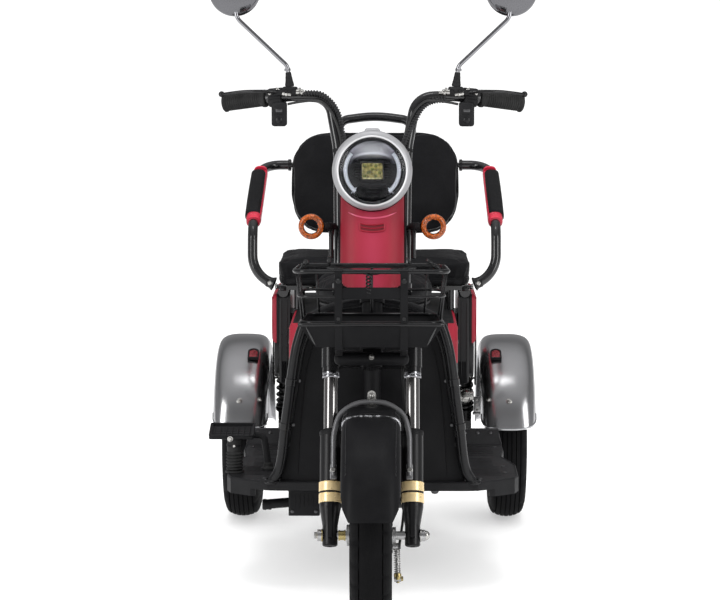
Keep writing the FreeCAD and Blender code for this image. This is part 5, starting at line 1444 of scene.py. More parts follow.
# square projector with a stepped frame and a ribbed face
g = Geo()
rbox(g, P(0, HU + 15.0, HZ - 1.0), (46.0, 12.0, 38.0), 2.0, 2, 0)
rbox(g, P(0, HU + 11.0, HZ - 1.0), (40.5, 12.0, 32.0), 3.4, 3, 1)
# brighter lower lip and the facets of the lens
rbox(g, P(0, HU + 6.2, HZ - 14.6), (36.0, 3.4, 3.2), 1.2, 2, 3)
rndp = random.Random(8)
for k in range(5):
    for j in range(4):
        rbox(g, P(-14.4 + 7.2 * k, HU + 5.4, HZ + 9.6 - 6.6 * j), (6.2, 1.6 + 1.4 * rndp.random(), 5.6), 1.0, 2, 1 if (k + j) % 3 else 4)
for k in range(6):
    rbox(g, P(-28.5 - 0.0 * k, HU + 12.0, HZ - 12.0 + 5.0 * k), (9.0, 9.0, 2.2), 0.6, 1, 0)
    rbox(g, P(28.5, HU + 12.0, HZ - 12.0 + 5.0 * k), (9.0, 9.0, 2.2), 0.6, 1, 0)
make("headlight_projector", g, ["lamp_black", "projector", "dark_steel", "proj_edge", "proj_dark"], "steering", sharp=45)

# lower black trapezoid with its thin lit edge and two short strips each side
g = Geo()
tz = [(-26.0, -27.0), (26.0, -27.0), (34.0, -38.0), (27.0, -52.0), (14.0, -57.0), (-14.0, -57.0),
      (-27.0, -52.0), (-34.0, -38.0)]
vs = [P(x, HU + 7.0, HZ + z) for x, z in tz] + [P(x * 0.965, HU + 5.0, HZ - 42 + (z + 42) * 0.94) for x, z in tz] \
    + [P(x, HU + 21.0, HZ + z) for x, z in tz]
n8 = len(tz)
fs = [[n8 + k for k in range(n8)]]
for k in range(n8):
    k2 = (k + 1) % n8
    fs.append([k, k2, n8 + k2, n8 + k])
    fs.append([2 * n8 + k, 2 * n8 + k2, k2, k])
fs.append([2 * n8 + k for k in reversed(range(n8))])
g.add(vs, fs, 0, smooth=False)
sweep(g, [P(-27.5, HU + 5.6, HZ - 28.2), P(-23.0, HU + 4.8, HZ - 26.6), P(0, HU + 4.6, HZ - 26.2),
          P(23.0, HU + 4.8, HZ - 26.6), P(27.5, HU + 5.6, HZ - 28.2)], 0.0008, 8, 1)
for sx in (1, -1):
    sweep(g, [P(sx * 30.5, HU + 6.5, HZ - 33.0), P(sx * 42.0, HU + 7.0, HZ - 45.0),
              P(sx * 45.5, HU + 8.0, HZ - 45.5)], 0.0010, 8, 2)
    sweep(g, [P(sx * 26.0, HU + 6.0, HZ - 30.0), P(sx * 36.0, HU + 6.5, HZ - 47.0)], 0.0007, 8, 1)
make("headlight_lower_mask", g, ["mask_black", "reflector", "drl"], "steering", sharp=30)

# ------------------------------------------------------------- turn signals
TX, TU, TZ = 120.0, 235.5, 745.0
g = Geo()
lathe(g, P(-TX, TU, TZ), FRONT, [
    (-8.0, 14.0), (-8.0, 24.0), (-6.0, 24.9), (2.0, 24.9), (5.0, 24.2), (7.4, 22.6), (8.4, 20.4),
    (8.8, 19.2), (8.4, 18.0), (7.2, 16.2), (5.0, 14.6), (2.0, 13.8)], 72, 0, mats=[1, 1, 1, 0, 0, 0, 0, 0, 0, 0, 1, 1])
# moulded ribs round the ring
for k in range(28):
    t = 2 * math.pi * k / 28
    dx, dz = math.cos(t), math.sin(t)
    sweep(g, [P(-TX + dx * 17.4, TU - 8.0, TZ + dz * 17.4), P(-TX + dx * 19.4, TU - 9.1, TZ + dz * 19.4),
              P(-TX + dx * 21.4, TU - 8.2, TZ + dz * 21.4)], [0.0010, 0.0015, 0.0010], 6, 0)
# inner small lamps
for k in range(9):
    t = 2 * math.pi * (k + 0.5) / 9
    lathe(g, P(-TX + 16.2 * math.cos(t), TU - 4.8, TZ + 16.2 * math.sin(t)),
          Vector((-math.cos(t) * 0.5, -1, -math.sin(t) * 0.5)), [(0, 2.2), (1.2, 2.0), (2.0, 1.0), (2.2, 0.0)], 12, 2, closed=False)
g.mirrored()
make("turn_signal_rings", g, ["amber", "black_plastic", "amber_dark"], "steering",
     sharp=40)
# black backs, stems and clamps
g = Geo()
lathe(g, P(-TX, TU, TZ), BACK, [(6.0, 14.2), (6.0, 24.6), (7.6, 25.2), (9.4, 24.8), (9.4, 14.2)], 64, 0)
st = spline([P(-TX + 24.0, TU + 2.0, TZ), P(-TX + 32.0, TU + 6.0, TZ - 0.3),
             P(-81.0, TU + 14.0, TZ - 0.8), P(-73.0, TU + 20.5, TZ - 1.0)], 6)
sweep(g, st, [0.0085 - 0.0016 * min(1.0, i / 6) for i in range(len(st))], 14, 0)
for k, t in enumerate((5, 8, 11)):
    p0 = st[t]
    dd = (st[t + 1] - st[t - 1]).normalized()
    lathe(g, p0, dd, [(-1.6, 6.0), (-1.6, 8.4), (1.6, 8.4), (1.6, 6.0)], 20, 0)
# lower stalk that clamps to the upright
sweep(g, [P(-80.5, TU + 17.0, TZ - 1.0), P(-80.5, TU + 10.0, TZ - 20.0), P(-80.5, TU - 2.0, TZ - 62.0)],
      [0.0062, 0.0050, 0.0046], 12, 1)
hexbolt(g, P(-86.5, TU + 12.0, TZ - 2.0), Vector((-1, -0.4, 0)), 8.0, 3.4, 1, washer=(5.4, 1.0))
g.mirrored()
make("turn_signal_stems", g, ["black_plastic", "black_paint"], "steering",
     ["turn_signals"], sharp=40)

# -------------------------------------------------------------------- mirrors
MX, MU, MZ = 276.5, 384.0, 1206.0
g = Geo()
stem = spline(bent([P(-166, 368, 1014), P(-171, 366, 1056), P(-271, 372, 1150), P(-277, 376, 1182)],
                   [16.0, 24.0]), 1)
sweep(g, stem, 0.0044, 16, 0)
# threaded foot with a lock nut
lathe(g, P(-166.6, 367.8, 1018.0), P(-169.5, 366.5, 1046) - P(-166.6, 367.8, 1018.0),
      [(-3.0, 8.6), (0.0, 9.2), (2.0, 9.0), (6.0, 8.0), (7.0, 8.4), (8.0, 7.6), (14.0, 6.9), (15.0, 7.3),
       (16.0, 6.6), (22.0, 5.9), (25.0, 5.6), (26.0, 4.5)], 28, 1, closed=False)
hexbolt(g, P(-170.6, 366.2, 1046.0), Vector((-0.08, -0.02, 1)), 11.0, 5.0, 0)
# ball joint behind the head
lathe(g, P(-277.0, 376.5, 1180.0), Vector((-0.02, 0.25, 1)), [(-8.0, 4.5), (-6.0, 7.0), (0.0, 8.6), (6.0, 8.4), (12.0, 6.6), (16.0, 5.0), (18.0, 0.01)], 24, 1, closed=False)
g.mirrored()
make("mirror_stems", g, ["stem_chrome", "black_plastic"], "steering", ["mirrors"], sharp=40)
# dished head: silvered face towards the rider, bright domed back with a fine rim
g = Geo()
MC = P(-MX, MU - 4.0, MZ)
lathe(g, MC, BACK, [
    (-21.5, 0.01), (-21.0, 10.0), (-19.6, 20.0), (-17.0, 30.0), (-13.4, 38.0), (-9.0, 45.0),
    (-4.6, 49.6), (-0.5, 51.6), (3.0, 52.0), (8.0, 52.0), (12.0, 51.8), (13.6, 51.0), (14.0, 49.6),
    (13.4, 48.4), (12.6, 48.0)], 96, 0, closed=False)
lathe(g, MC, BACK, [(12.6, 48.0), (12.9, 24.0), (13.0, 0.01)], 96, 1, closed=False)
g.mirrored()
make("mirror_heads", g, ["mirror_back", "mirror"], "steering", sharp=40)


# ------------------------------------------------------------------- tyres
def tyre_profile(w, grooves, depth=3.2, gw=3.0):
    """Half profiles joined: sidewall, rounded shoulder, crown with ring grooves."""
    pts = [(26.0, 101.0), (29.5, 104.0), (31.5, 108.0), (w - 5.5, 117.0), (w - 2.6, 125.0),
           (w - 1.0, 134.0), (w - 0.2, 143.0), (w - 0.3, 150.0), (w - 1.6, 157.0), (w - 3.4, 162.5),
           (w - 6.0, 167.4), (w - 9.5, 171.6)]
    # crown from the shoulder to the middle
    x0, r0 = w - 9.5, 171.6
    crown = []
    n = 26
    for i in range(1, n + 1):
        t = i / n
        x = x0 * (1 - t)
        r = r0 + (180.0 - r0) * (1 - (x / x0) ** 2.1)
        crown.append((x, r))
    for x, r in crown:
        pts.append((x, r))
    out = []
    for i, (x, r) in enumerate(pts):
        out.append((x, r))
    # grooves cut as steps
    full = out + [(-x, r) for x, r in reversed(out[:-1])]
    res = []
    for (x, r), (x2, r2) in zip(full[:-1], full[1:]):
        res.append((x, r))
        for gx in grooves:
            if (x - gx) * (x2 - gx) < 0 and r > 165:
                def rad_at(q):
                    t = (q - x) / (x2 - x) if abs(x2 - x) > 1e-9 else 0
                    return r + (r2 - r) * t
                s = 1 if x2 > x else -1
                a, b = gx - s * gw / 2, gx + s * gw / 2
                res += [(a, rad_at(a)), (a + s * 0.5, rad_at(a) - depth), (b - s * 0.5, rad_at(b) - depth),
                        (b, rad_at(b))]
    res.append(full[-1])
    # drop points that fall inside a groove's span
    clean = []
    for x, r in res:
        bad = False
        for gx in grooves:
            if abs(x - gx) < gw / 2 - 0.01 and r > 165 and not any(abs(abs(x - gx) - v) < 0.02 for v in (gw / 2 - 0.5,)):
                bad = True
        if not bad:
            clean.append((x, r))
    return clean


def build_tyre(name, cx, cu, width, grooves, node_name, body, shoulder, lugs):
    w = width / 2.0
    g = Geo()
    prof = tyre_profile(w, grooves)
    seg = 180

    def warp(h, r, t):
        # shoulder notches: short cuts across each shoulder, evenly spaced
        if shoulder:
            ax = abs(h)
            if r > 160.0 and ax > w * 0.60 and ax < w * 0.985:
                ph = (t * shoulder / (2 * math.pi) + (0.5 if h < 0 else 0.0)) % 1.0
                if abs(ph - 0.5) < 0.11:
                    return h * 0.992, r - 2.6
        # elsewhere the profile is left as it is
        return h, r

    lathe(g, P(cx, cu, 180.0), X, prof, seg, 0, closed=False, warp=warp)
    inner = [(prof[-1][0], prof[-1][1]), (-25.9, 100.4), (0.0, 101.5), (25.9, 100.4), (prof[0][0], prof[0][1])]
    lathe(g, P(cx, cu, 180.0), X, inner, seg, 0, closed=False)
    # raised rings and plain blocks on the sidewall
    for sx in (1, -1):
        for rr_, hh in ((116.0, 0.9), (150.5, 0.8), (128.0, 0.5)):
            base = {116.0: w - 5.9, 150.5: w - 0.6, 128.0: w - 2.2}[rr_]
            lathe(g, P(cx, cu, 180.0), X * sx, [(base, rr_ - 1.2), (base + hh, rr_ - 0.6), (base + hh, rr_ + 0.6),
                                               (base - 0.2, rr_ + 1.2)], 120, 0, closed=False)
        for k in range(lugs):
            t = 2 * math.pi * (k + (0.5 if sx < 0 else 0)) / lugs
            c = P(cx + sx * (w - 1.2), cu + 139.0 * math.sin(t), 180.0 + 139.0 * math.cos(t))
            R = Matrix.Rotation(-t, 3, "X")
            rbox(g, c, (1.6, 4.0, 9.0), 0.5, 1, 0, rot=R)
    return make(name, g, "tyre", body, [node_name], sharp=32)


build_tyre("front_tyre_tread", 0.0, 0.0, 78.0, (-22.0, 22.0), "front_tyre", "front_wheel", 26, 60)
for side, sx in (("left", 1), ("right", -1)):
    build_tyre("rear_tyre_tread_" + side, sx * 305.0, 1080.0, 82.0, (-26.0, -15.6, -5.2, 5.2, 15.6, 26.0),
               "rear_tyre_" + side, "rear_wheel_" + side, 14, 60)


# ------------------------------------------------------------ wheels: trimming
def wheel_trim(name, cx, cu, body, hub_r, hub_lo, hub_hi, drum):
    """Swept spoke faces, rim lip, hub bolts and ribs, and valve."""
    g = Geo()
    C = P(cx, cu, 180.0)
    for sx in (1, -1):
        # bright-edged rim lip bead
        lathe(g, C, X * sx, [(30.0, 90.4), (30.6, 91.2), (31.2, 98.0), (31.4, 104.5), (30.8, 107.0), (30.0, 107.4)], 128, 0,
              closed=False)
        # spoke faces, Y-shaped with a raised spine
        for k in range(5):
            t = 2 * math.pi * k / 5
            R = Matrix.Rotation(-t, 3, "X")

            def q(a, r, h):
                """a: across the spoke, r: outwards, h: sideways"""
                v_ = R @ Vector((0.0, mm(a), mm(r)))
                return C + v_ + X * sx * mm(h)
            rows = []
            for r_, wd, h0 in ((hub_r - 5.0, 15.0, 14.5), (hub_r + 4.0, 12.5, 15.2), (hub_r + 12.0, 11.8, 14.8),
                               (76.0, 12.2, 14.2), (84.0, 14.5, 14.6), (92.0, 20.0, 17.0)):
                if rows and r_ <= rows[-1][0]:
                    continue
                rows.append((r_, wd, h0))
            vs, fs = [], []
            for r_, wd, h0 in rows:
                vs += [q(-wd, r_, 10.0), q(-wd, r_, h0 - 2.2), q(-wd * 0.72, r_, h0), q(-wd * 0.2, r_, h0 - 1.2),
                       q(wd * 0.2, r_, h0 - 1.2), q(wd * 0.72, r_, h0), q(wd, r_, h0 - 2.2), q(wd, r_, 10.0)]
            for i in range(len(rows) - 1):
                for j in range(7):
                    fs.append([i * 8 + j, i * 8 + j + 1, (i + 1) * 8 + j + 1, (i + 1) * 8 + j])
                fs.append([i * 8 + 7, i * 8, (i + 1) * 8, (i + 1) * 8 + 7])
            fs.append(list(range(8)))
            fs.append([(len(rows) - 1) * 8 + j for j in reversed(range(8))])
            g.add(vs, fs, 0)
        # hub ring with five bolts
    for k in range(5):
        t = 2 * math.pi * (k + 0.5) / 5
        for sx, hx in ((1, hub_hi), (-1, -hub_lo)):
            if drum and ((sx > 0) == (drum > 0)):
                continue
            p = C + Vector((0, mm((hub_r - 10.0) * math.sin(t)), mm((hub_r - 10.0) * math.cos(t)))) + X * sx * mm(hx - 0.2)
            hexbolt(g, p, X * sx, 9.0, 4.0, 1, washer=(6.5, 1.0))
    # cooling ribs round the hub
    for h in range(-2, 3):
        lathe(g, C, X, [(h * 9.0 - 1.2, hub_r - 1.0), (h * 9.0 - 0.9, hub_r + 2.6), (h * 9.0 + 0.9, hub_r + 2.6),
                        (h * 9.0 + 1.2, hub_r - 1.0)], 64, 0, closed=False)
    # valve
    t = math.radians(36)
    d = Vector((0, math.sin(t), math.cos(t)))
    p = C + d * mm(94.0)
    lathe(g, p, (-d + X * 0.4), [(-2.0, 5.0), (1.0, 5.0), (4.0, 3.6), (14.0, 3.2), (15.0, 3.4), (22.0, 3.3), (23.0, 2.6), (23.2, 0.01)],
          16, 2, closed=False)
    return make(name, g, ["alloy", "steel", "grip_rubber"], body, sharp=35)


wheel_trim("front_wheel_trim", 0.0, 0.0, "front_wheel", 42.0, -30.0, 30.0, +1)
wheel_trim("rear_wheel_trim_left", 305.0, 1080.0, "rear_wheel_left", 52.0, -34.0, 26.0, -1)
wheel_trim("rear_wheel_trim_right", -305.0, 1080.0, "rear_wheel_right", 52.0, -26.0, 34.0, 1)

# -------------------------------------------------------- rear fenders' details
FX0, FX1, RR, FCZ_R = 240.0, 364.0, 234.0, 190.0
FXM = (FX0 + FX1) / 2.0


def fender_r(x):
    """Outer radius of the arch at a lateral place."""
    pts = [(FX0, RR - 46.0), (FX0 + 3, RR - 22.0), (FX0 + 14, RR - 7.0), (FX0 + 36, RR - 0.8),
           (FX0 + 64, RR), (FX1 - 28, RR - 2.6), (FX1 - 11, RR - 11.0), (FX1 - 2.8, RR - 27.0), (FX1, RR - 58.0)]
    for (xa, ra), (xb, rb) in zip(pts[:-1], pts[1:]):
        if xa <= x <= xb:
            t = (x - xa) / (xb - xa)
            return ra + (rb - ra) * t
    return pts[0][1] if x < FX0 else pts[-1][1]


def fender_pt(x, z=None, ang=None, lift=0.0):
    """Point on the front of the arch at lateral x and height z (or angle from up)."""
    r = fender_r(x) + lift
    if ang is None:
        c = max(-1.0, min(1.0, (z - FCZ_R) / r))
        ang = math.acos(c)
    return P(x, 1080.0 - r * math.sin(ang), FCZ_R + r * math.cos(ang))


def ray_y(obj_name, x, z, side=-1):
    """Front-most (or rear-most) point of a CAD node on a lengthwise line."""
    o = N[obj_name]
    start = Vector((mm(x), side * 2.0, mm(z)))
    ok, loc, nor, _ = o.ray_cast(start, Vector((0, -side, 0)))
    return (loc, nor) if ok else (None, None)


g = Geo()
# rounded bead along the front lip and up both flanks
lip = []
for k in range(61):
    t = math.pi * (k / 60.0 - 0.5)
    c_, s_c = math.sin(t), math.cos(t)
    x = FXM + 63.5 * (abs(c_) ** 0.75) * (1 if c_ > 0 else -1)
    z = 268.0 - 29.0 * s_c ** 0.62
    x = max(FX0 + 0.6, min(FX1 - 0.6, x))
    loc, nor = ray_y("rear_fenders", x, z + 0.6)
    if loc is not None:
        lip.append(loc)
if len(lip) > 6:
    sm = [lip[0]] + [(a + b * 2 + c) / 4 for a, b, c in zip(lip[:-2], lip[1:-1], lip[2:])] + [lip[-1]]
    sweep(g, resample(sm, 0.003), 0.0019, 8, 0)
# bolts with washers on the face and the two on the flank
for x, z, af in ((302.0, 300.0, 9.0), (257.0, 302.0, 8.0)):
    loc, nor = ray_y("rear_fenders", x, z)
    if loc is not None:
        hexbolt(g, loc - nor * 0.0003, nor, af, 4.2, 1, washer=(af * 0.72, 1.1), dome=1.2)
g.mirrored()
make("rear_fender_beads", g, ["chrome", "bright_steel"], "root", sharp=40)

# rolled edge round the whole side rim of each arch, outer and inner
g = Geo()
for x, r in ((FX1 - 0.8, RR - 58.0), (FX0 + 0.9, RR - 46.0)):
    arc = []
    for k in range(121):
        a_ = math.radians(-78.0 + 168.0 * k / 120.0)
        arc.append(P(x, 1080.0 + r * math.sin(a_), FCZ_R + r * math.cos(a_)))
    sweep(g, [p for p in arc if p.z > mm(262.0) or p.y > P(0, 1080.0, 0).y], 0.0018, 8, 0)
g.mirrored()
make("rear_fender_edges", g, "chrome", "root", sharp=0)

# reflectors: black bezel, pale prismatic face
g = Geo()
ang_ = math.radians(31.0)
ru = 1080.0 - (RR + 2.0) * math.sin(ang_)
rz = FCZ_R + (RR + 2.0) * math.cos(ang_)
Rr = Matrix.Rotation(-math.radians(59.0), 3, "X")
Cn = P(275.0, ru, rz)


def rfl(x, y, z):
    return Cn + Rr @ Vector((mm(x), mm(y), mm(z)))


# D-shaped bezel outline
outl = []
for a_ in range(0, 181, 12):
    t = math.radians(a_)
    outl.append((12.6 * math.cos(t), 6.0 + 11.5 * math.sin(t)))
outl += [(-12.6, -16.6), (12.6, -16.6)]
n9 = len(outl)
vs = [rfl(x, 1.5, z) for x, z in outl] + [rfl(x, -5.4, z) for x, z in outl] + \
     [rfl(x * 0.78, -5.8, -0.2 + z * 0.82) for x, z in outl] + [rfl(x * 0.74, -4.0, -0.2 + z * 0.78) for x, z in outl]
fs = []
for i in range(3):
    for k in range(n9):
        k2 = (k + 1) % n9
        fs.append([i * n9 + k, i * n9 + k2, (i + 1) * n9 + k2, (i + 1) * n9 + k])
fs.append([3 * n9 + k for k in range(n9)])
fs.append([k for k in reversed(range(n9))])
g.add(vs, fs, 0)
# face: domed plate with fine ribs
vs = [rfl(x * 0.735, -4.1, -0.2 + z * 0.775) for x, z in outl] + [rfl(x * 0.60, -5.2, -0.2 + z * 0.66) for x, z in outl]
fs = [[k, (k + 1) % n9, n9 + (k + 1) % n9, n9 + k] for k in range(n9)]
fs.append([n9 + k for k in range(n9)])
g.add(vs, fs, 1)
for k in range(-3, 4):
    sweep(g, [rfl(-7.2, -5.25, k * 2.9 - 1.0), rfl(0, -5.5, k * 2.9 - 1.0), rfl(7.2, -5.25, k * 2.9 - 1.0)], 0.0005, 6, 1)
g.mirrored()
make("fender_reflectors", g, ["black_plastic", "reflector_face"], "root", sharp=35)

# tail lamps with chrome surround and ribbed red lens, and a round rear reflector
g = Geo()
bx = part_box("seat_body")[1][1] if False else P(0, 1172.0, 0).y
for sx in (1, -1):
    c = P(sx * 120.0, 1168.0, 445.0)
    rbox(g, c + Vector((0, -0.0075, 0)), (66.0, 9.0, 56.0), 3.5, 3, 0)
    rbox(g, c + Vector((0, 0.0010, 0)), (58.0, 7.4, 48.0), 3.0, 3, 1)
    for k in range(9):
        rbox(g, c + Vector((0, 0.0040, mm(-20.0 + 5.0 * k))), (52.0, 2.2, 2.0), 0.7, 2, 1)
    # amber segment at the outer side
    rbox(g, c + Vector((mm(sx * 22.0), 0.0030, 0)), (11.0, 4.8, 44.0), 1.5, 2, 2)
lathe(g, P(0, 1152.5, 470.0), BACK, [(0, 0.01), (0, 27.0), (3.5, 27.0), (5.0, 25.5), (5.6, 23.0)], 48, 0, closed=False)
lathe(g, P(0, 1152.5, 470.0), BACK, [(5.6, 23.0), (6.4, 12.0), (6.6, 0.01)], 48, 1, closed=False)
# blank number plate, bare
rbox(g, P(0, 1156.0, 408.0), (150.0, 2.0, 74.0), 0.9, 2, 3)
for sx in (1, -1):
    screw_head(g, P(sx * 52.0, 1157.0, 434.0), BACK, 4.5, 2.2, 4)
make("tail_lamp_lenses", g, ["black_gloss", "red_lens", "amber", "label", "dark_steel"], "root",
     ["lamps_and_reflectors"], sharp=35)


# ------------------------------------------------------------- fork and stay
def helix(a, b, r, turns, n=18, wire=0.0012, seg=7, g=None, mat=0, ends=True):
    """Coil spring between two points."""
    a, b = Vector(a), Vector(b)
    u, v, w = basis(b - a)
    L = (b - a).length
    pts = []
    tot = int(turns * n)
    for i in range(tot + 1):
        t = i / tot
        th = 2 * math.pi * turns * t
        k = t
        if ends:                       # closed end coils
            k = 0.5 - 0.5 * math.cos(math.pi * t)
            k = 0.35 * k + 0.65 * t
        pts.append(a + w * (L * k) + (u * math.cos(th) + v * math.sin(th)) * r)
    sweep(g, pts, wire, seg, mat)


LEG_X, LEG_F, LEG_R = 78.0, 32.45, 20.5
g = Geo()
# stay arch over the mudguard, flattened at its feet and bolted to the legs
stay_y = -LEG_F - LEG_R - 4.8 - 0.4
SP = [F(-72, stay_y, 96), F(-72, stay_y, 176), F(-62, stay_y + 1, 217), F(-30, stay_y + 2.5, 238), F(0, stay_y + 3, 241),
      F(30, stay_y + 2.5, 238), F(62, stay_y + 1, 217), F(72, stay_y, 176), F(72, stay_y, 96)]
sweep(g, bent(SP, [90, 60, 60, 160, 60, 60, 90]), 0.0052, 18, 0)
for sx in (1, -1):
    rbox(g, F(sx * 72.0, stay_y + 1.0, 104.0), (13.0, 5.5, 30.0), 2.2, 3, 0, rot=Matrix.Rotation(-RAKE, 3, "X"))
    hexbolt(g, F(sx * 72.0, stay_y - 1.6, 107.0), -FORK_Y, 8.5, 3.6, 1, washer=(6.2, 1.0))
# plated bracket, folded, with its bolt
top_ = F(0.0, stay_y + 3.0, 249.0)
bw = 8.2
outl = [(-bw, -0.020), (bw, -0.020), (bw, 0.006)]
vsf = []
for k in range(9):
    t = math.pi * k / 8
    vsf.append((bw * math.cos(t), mm(6.0) + mm(bw) * math.sin(t)))
ol = [(-bw, -mm(19.0)), (bw, -mm(19.0))] + vsf
nn = len(ol)
yb = top_.y - 0.0072
vs = [Vector((mm(x), yb, top_.z + z)) for x, z in ol] + [Vector((mm(x), yb + 0.003, top_.z + z)) for x, z in ol]
fs = [list(range(nn))[::-1], [nn + k for k in range(nn)]] + \
     [[k, (k + 1) % nn, nn + (k + 1) % nn, nn + k] for k in range(nn)]
g.add(vs, fs, 1, smooth=False)
hexbolt(g, Vector((0, yb - 0.0002, top_.z + 0.0045)), FRONT, 7.6, 3.6, 1, washer=(5.8, 1.0), dome=1.6)
hexbolt(g, Vector((0, yb - 0.0002, top_.z - 0.0125)), FRONT, 5.0, 2.0, 1)
make("fender_stay_arch", g, ["stay_silver", "bright_steel"], "steering", ["fender_stay"], sharp=38)

g = Geo()
for sx in (1, -1):
    C0 = F(sx * LEG_X, -LEG_F, 0)
    # dust seal and circlip at the top of each leg
    lathe(g, F(sx * LEG_X, -LEG_F, 187.5), FORK_Z, [(-9.0, 20.7), (-8.0, 21.6), (-2.0, 21.6), (-0.6, 21.0), (0.6, 19.6),
                                                 (2.2, 16.8), (3.4, 15.2), (4.0, 14.2), (4.0, 13.9)], 64, 0, closed=False)
    # knurled plated ring below the crown
    lathe(g, F(sx * LEG_X, -LEG_F, 291.0), FORK_Z, [(0, 13.9), (0, 16.4), (1.4, 17.2), (3.4, 17.2), (4.4, 16.2), (4.4, 15.2),
                                                 (6.4, 15.2), (6.4, 16.2), (7.4, 17.0), (10.8, 17.0), (11.8, 16.2), (12.0, 13.9)],
          64, 1, closed=False)
    for k in range(22):
        t = 2 * math.pi * k / 22
        u_, v_, w_ = basis(FORK_Z)
        p = F(sx * LEG_X, -LEG_F, 296.4) + (v_ * math.cos(t) + u_ * math.sin(t)) * 0.0158
        R = Matrix.Rotation(0, 3, "X")
        rbox(g, p, (2.0, 2.0, 2.2), 0.4, 1, 1, rot=align(FORK_Z, (v_ * math.cos(t) + u_ * math.sin(t))))
    # lower lug: drain screw
    lathe(g, F(sx * LEG_X, -LEG_F, -32.0), -FORK_Z, [(0, 0.01), (0, 13.4), (1.6, 12.6), (2.4, 9.0), (2.4, 5.0), (0.8, 4.6), (0.8, 0.01)],
          32, 0, closed=False)
    # small lever plate seen ahead of each leg
    rbox(g, F(sx * (LEG_X - 11.0), -LEG_F - 20.0, 133.0), (4.0, 6.0, 46.0), 1.4, 2, 0, rot=Matrix.Rotation(-RAKE, 3, "X"))
make("fork_fittings", g, ["black_plastic", "stem_chrome", "dark_steel"], "steering", sharp=38)

g = Geo()
for sx in (1, -1):
    for z0 in (48.0, 70.0):
        lathe(g, F(sx * LEG_X, -LEG_F, z0), FORK_Z, [(0.0, 20.4), (0.0, 21.3), (0.7, 22.0), (15.2, 22.0), (15.7, 21.5), (16.3, 21.5),
                                                  (16.8, 22.0), (17.4, 22.0), (18.0, 21.3), (18.0, 20.4)], 96, 0, closed=False)
    lathe(g, F(sx * LEG_X, -LEG_F, 66.4), FORK_Z, [(0.0, 20.3), (0.0, 21.0), (3.2, 21.0), (3.2, 20.3)], 72, 1, closed=False)
    # clamp screw at the inner side of the lower ring
    screw_head(g, F(sx * (LEG_X - 21.6), -LEG_F - 3.0, 57.0), X * -sx, 5.0, 2.4, 1)
make("fork_collar_rings", g, ["gold", "black_plastic"], "steering", ["fork_collars"], sharp=38)

# axle ends: nut, washer, thread on the right; domed nut on the left
g = Geo()
A0 = P(-108.0, 0, 180.0)
for k in range(7):
    lathe(g, P(-106.5 + 1.6 * k, 0, 180.0), X, [(-0.6, 5.6), (0.0, 6.4), (0.6, 5.6)], 24, 0, closed=False)
hexbolt(g, P(-92.0, 0, 180.0), -X, 17.0, 8.0, 1, washer=(12.2, 2.0), spin=0.3)
hexbolt(g, P(92.8, 0, 180.0), X, 17.0, 7.5, 0, washer=(12.2, 2.0), spin=0.1)
lathe(g, P(102.0, 0, 180.0), X, [(0, 9.2), (3.0, 9.0), (6.5, 6.8), (8.6, 3.4), (9.2, 0.01)], 32, 0, closed=False)
lathe(g, P(-58.0, 0, 180.0), X, [(-4.0, 8.2), (-4.0, 10.0), (-1.0, 10.0), (-1.0, 9.0), (7.0, 9.0), (7.0, 10.4), (9.6, 10.4), (9.6, 8.2)], 32, 1, closed=False)
make("front_axle_nuts", g, ["bright_steel", "brass"], "steering", sharp=35)
g = Geo()
lathe(g, P(-46.0, 0, 180.0), X, [(-0.6, 8.6), (-0.6, 19.2), (0.4, 20.3), (7.4, 20.3), (8.4, 19.4), (8.4, 17.0), (12.0, 15.5)], 64, 0, closed=False)
make("front_hub_dust_cap", g, "satin", "front_wheel", sharp=38)

# drum brake: return spring, adjuster, cable stop and bolts
g = Geo()
pa, pb = P(48.0, 14.0, 156.0), P(50.0, 4.0, 100.0)
d_ = (pb - pa).normalized()
helix(pa + d_ * 0.004, pb - d_ * 0.004, 0.0056, 13, 16, 0.0009, 6, g, 0)
lathe(g, pb, d_, [(-6.0, 4.2), (-6.0, 6.6), (-4.0, 7.2), (4.0, 7.2), (6.0, 6.4), (6.0, 3.4), (12.0, 3.2), (12.5, 0.01)], 24, 1, closed=False)
hexbolt(g, P(56.0, 4.0, 96.0), X, 8.0, 3.6, 1, washer=(6.0, 1.0))
hexbolt(g, P(50.8, 14.0, 156.0), X, 8.5, 3.8, 2, washer=(7.0, 1.2))
lathe(g, P(50.5, 4.6, 104.0), P(51.0, 24.0, 140.0) - P(50.5, 4.6, 104.0), [(0, 2.7), (0, 4.4), (10, 4.4), (11, 3.6), (20, 3.4), (21, 2.7)], 20, 2, closed=False)
for k in range(6):
    t = 2 * math.pi * k / 6
    hexbolt(g, P(38.8, 31.0 * math.sin(t), 180.0 + 31.0 * math.cos(t)), X, 5.5, 1.8, 2)
make("front_brake_fittings", g, ["bright_steel", "brass", "dark_steel"], "steering", sharp=35)

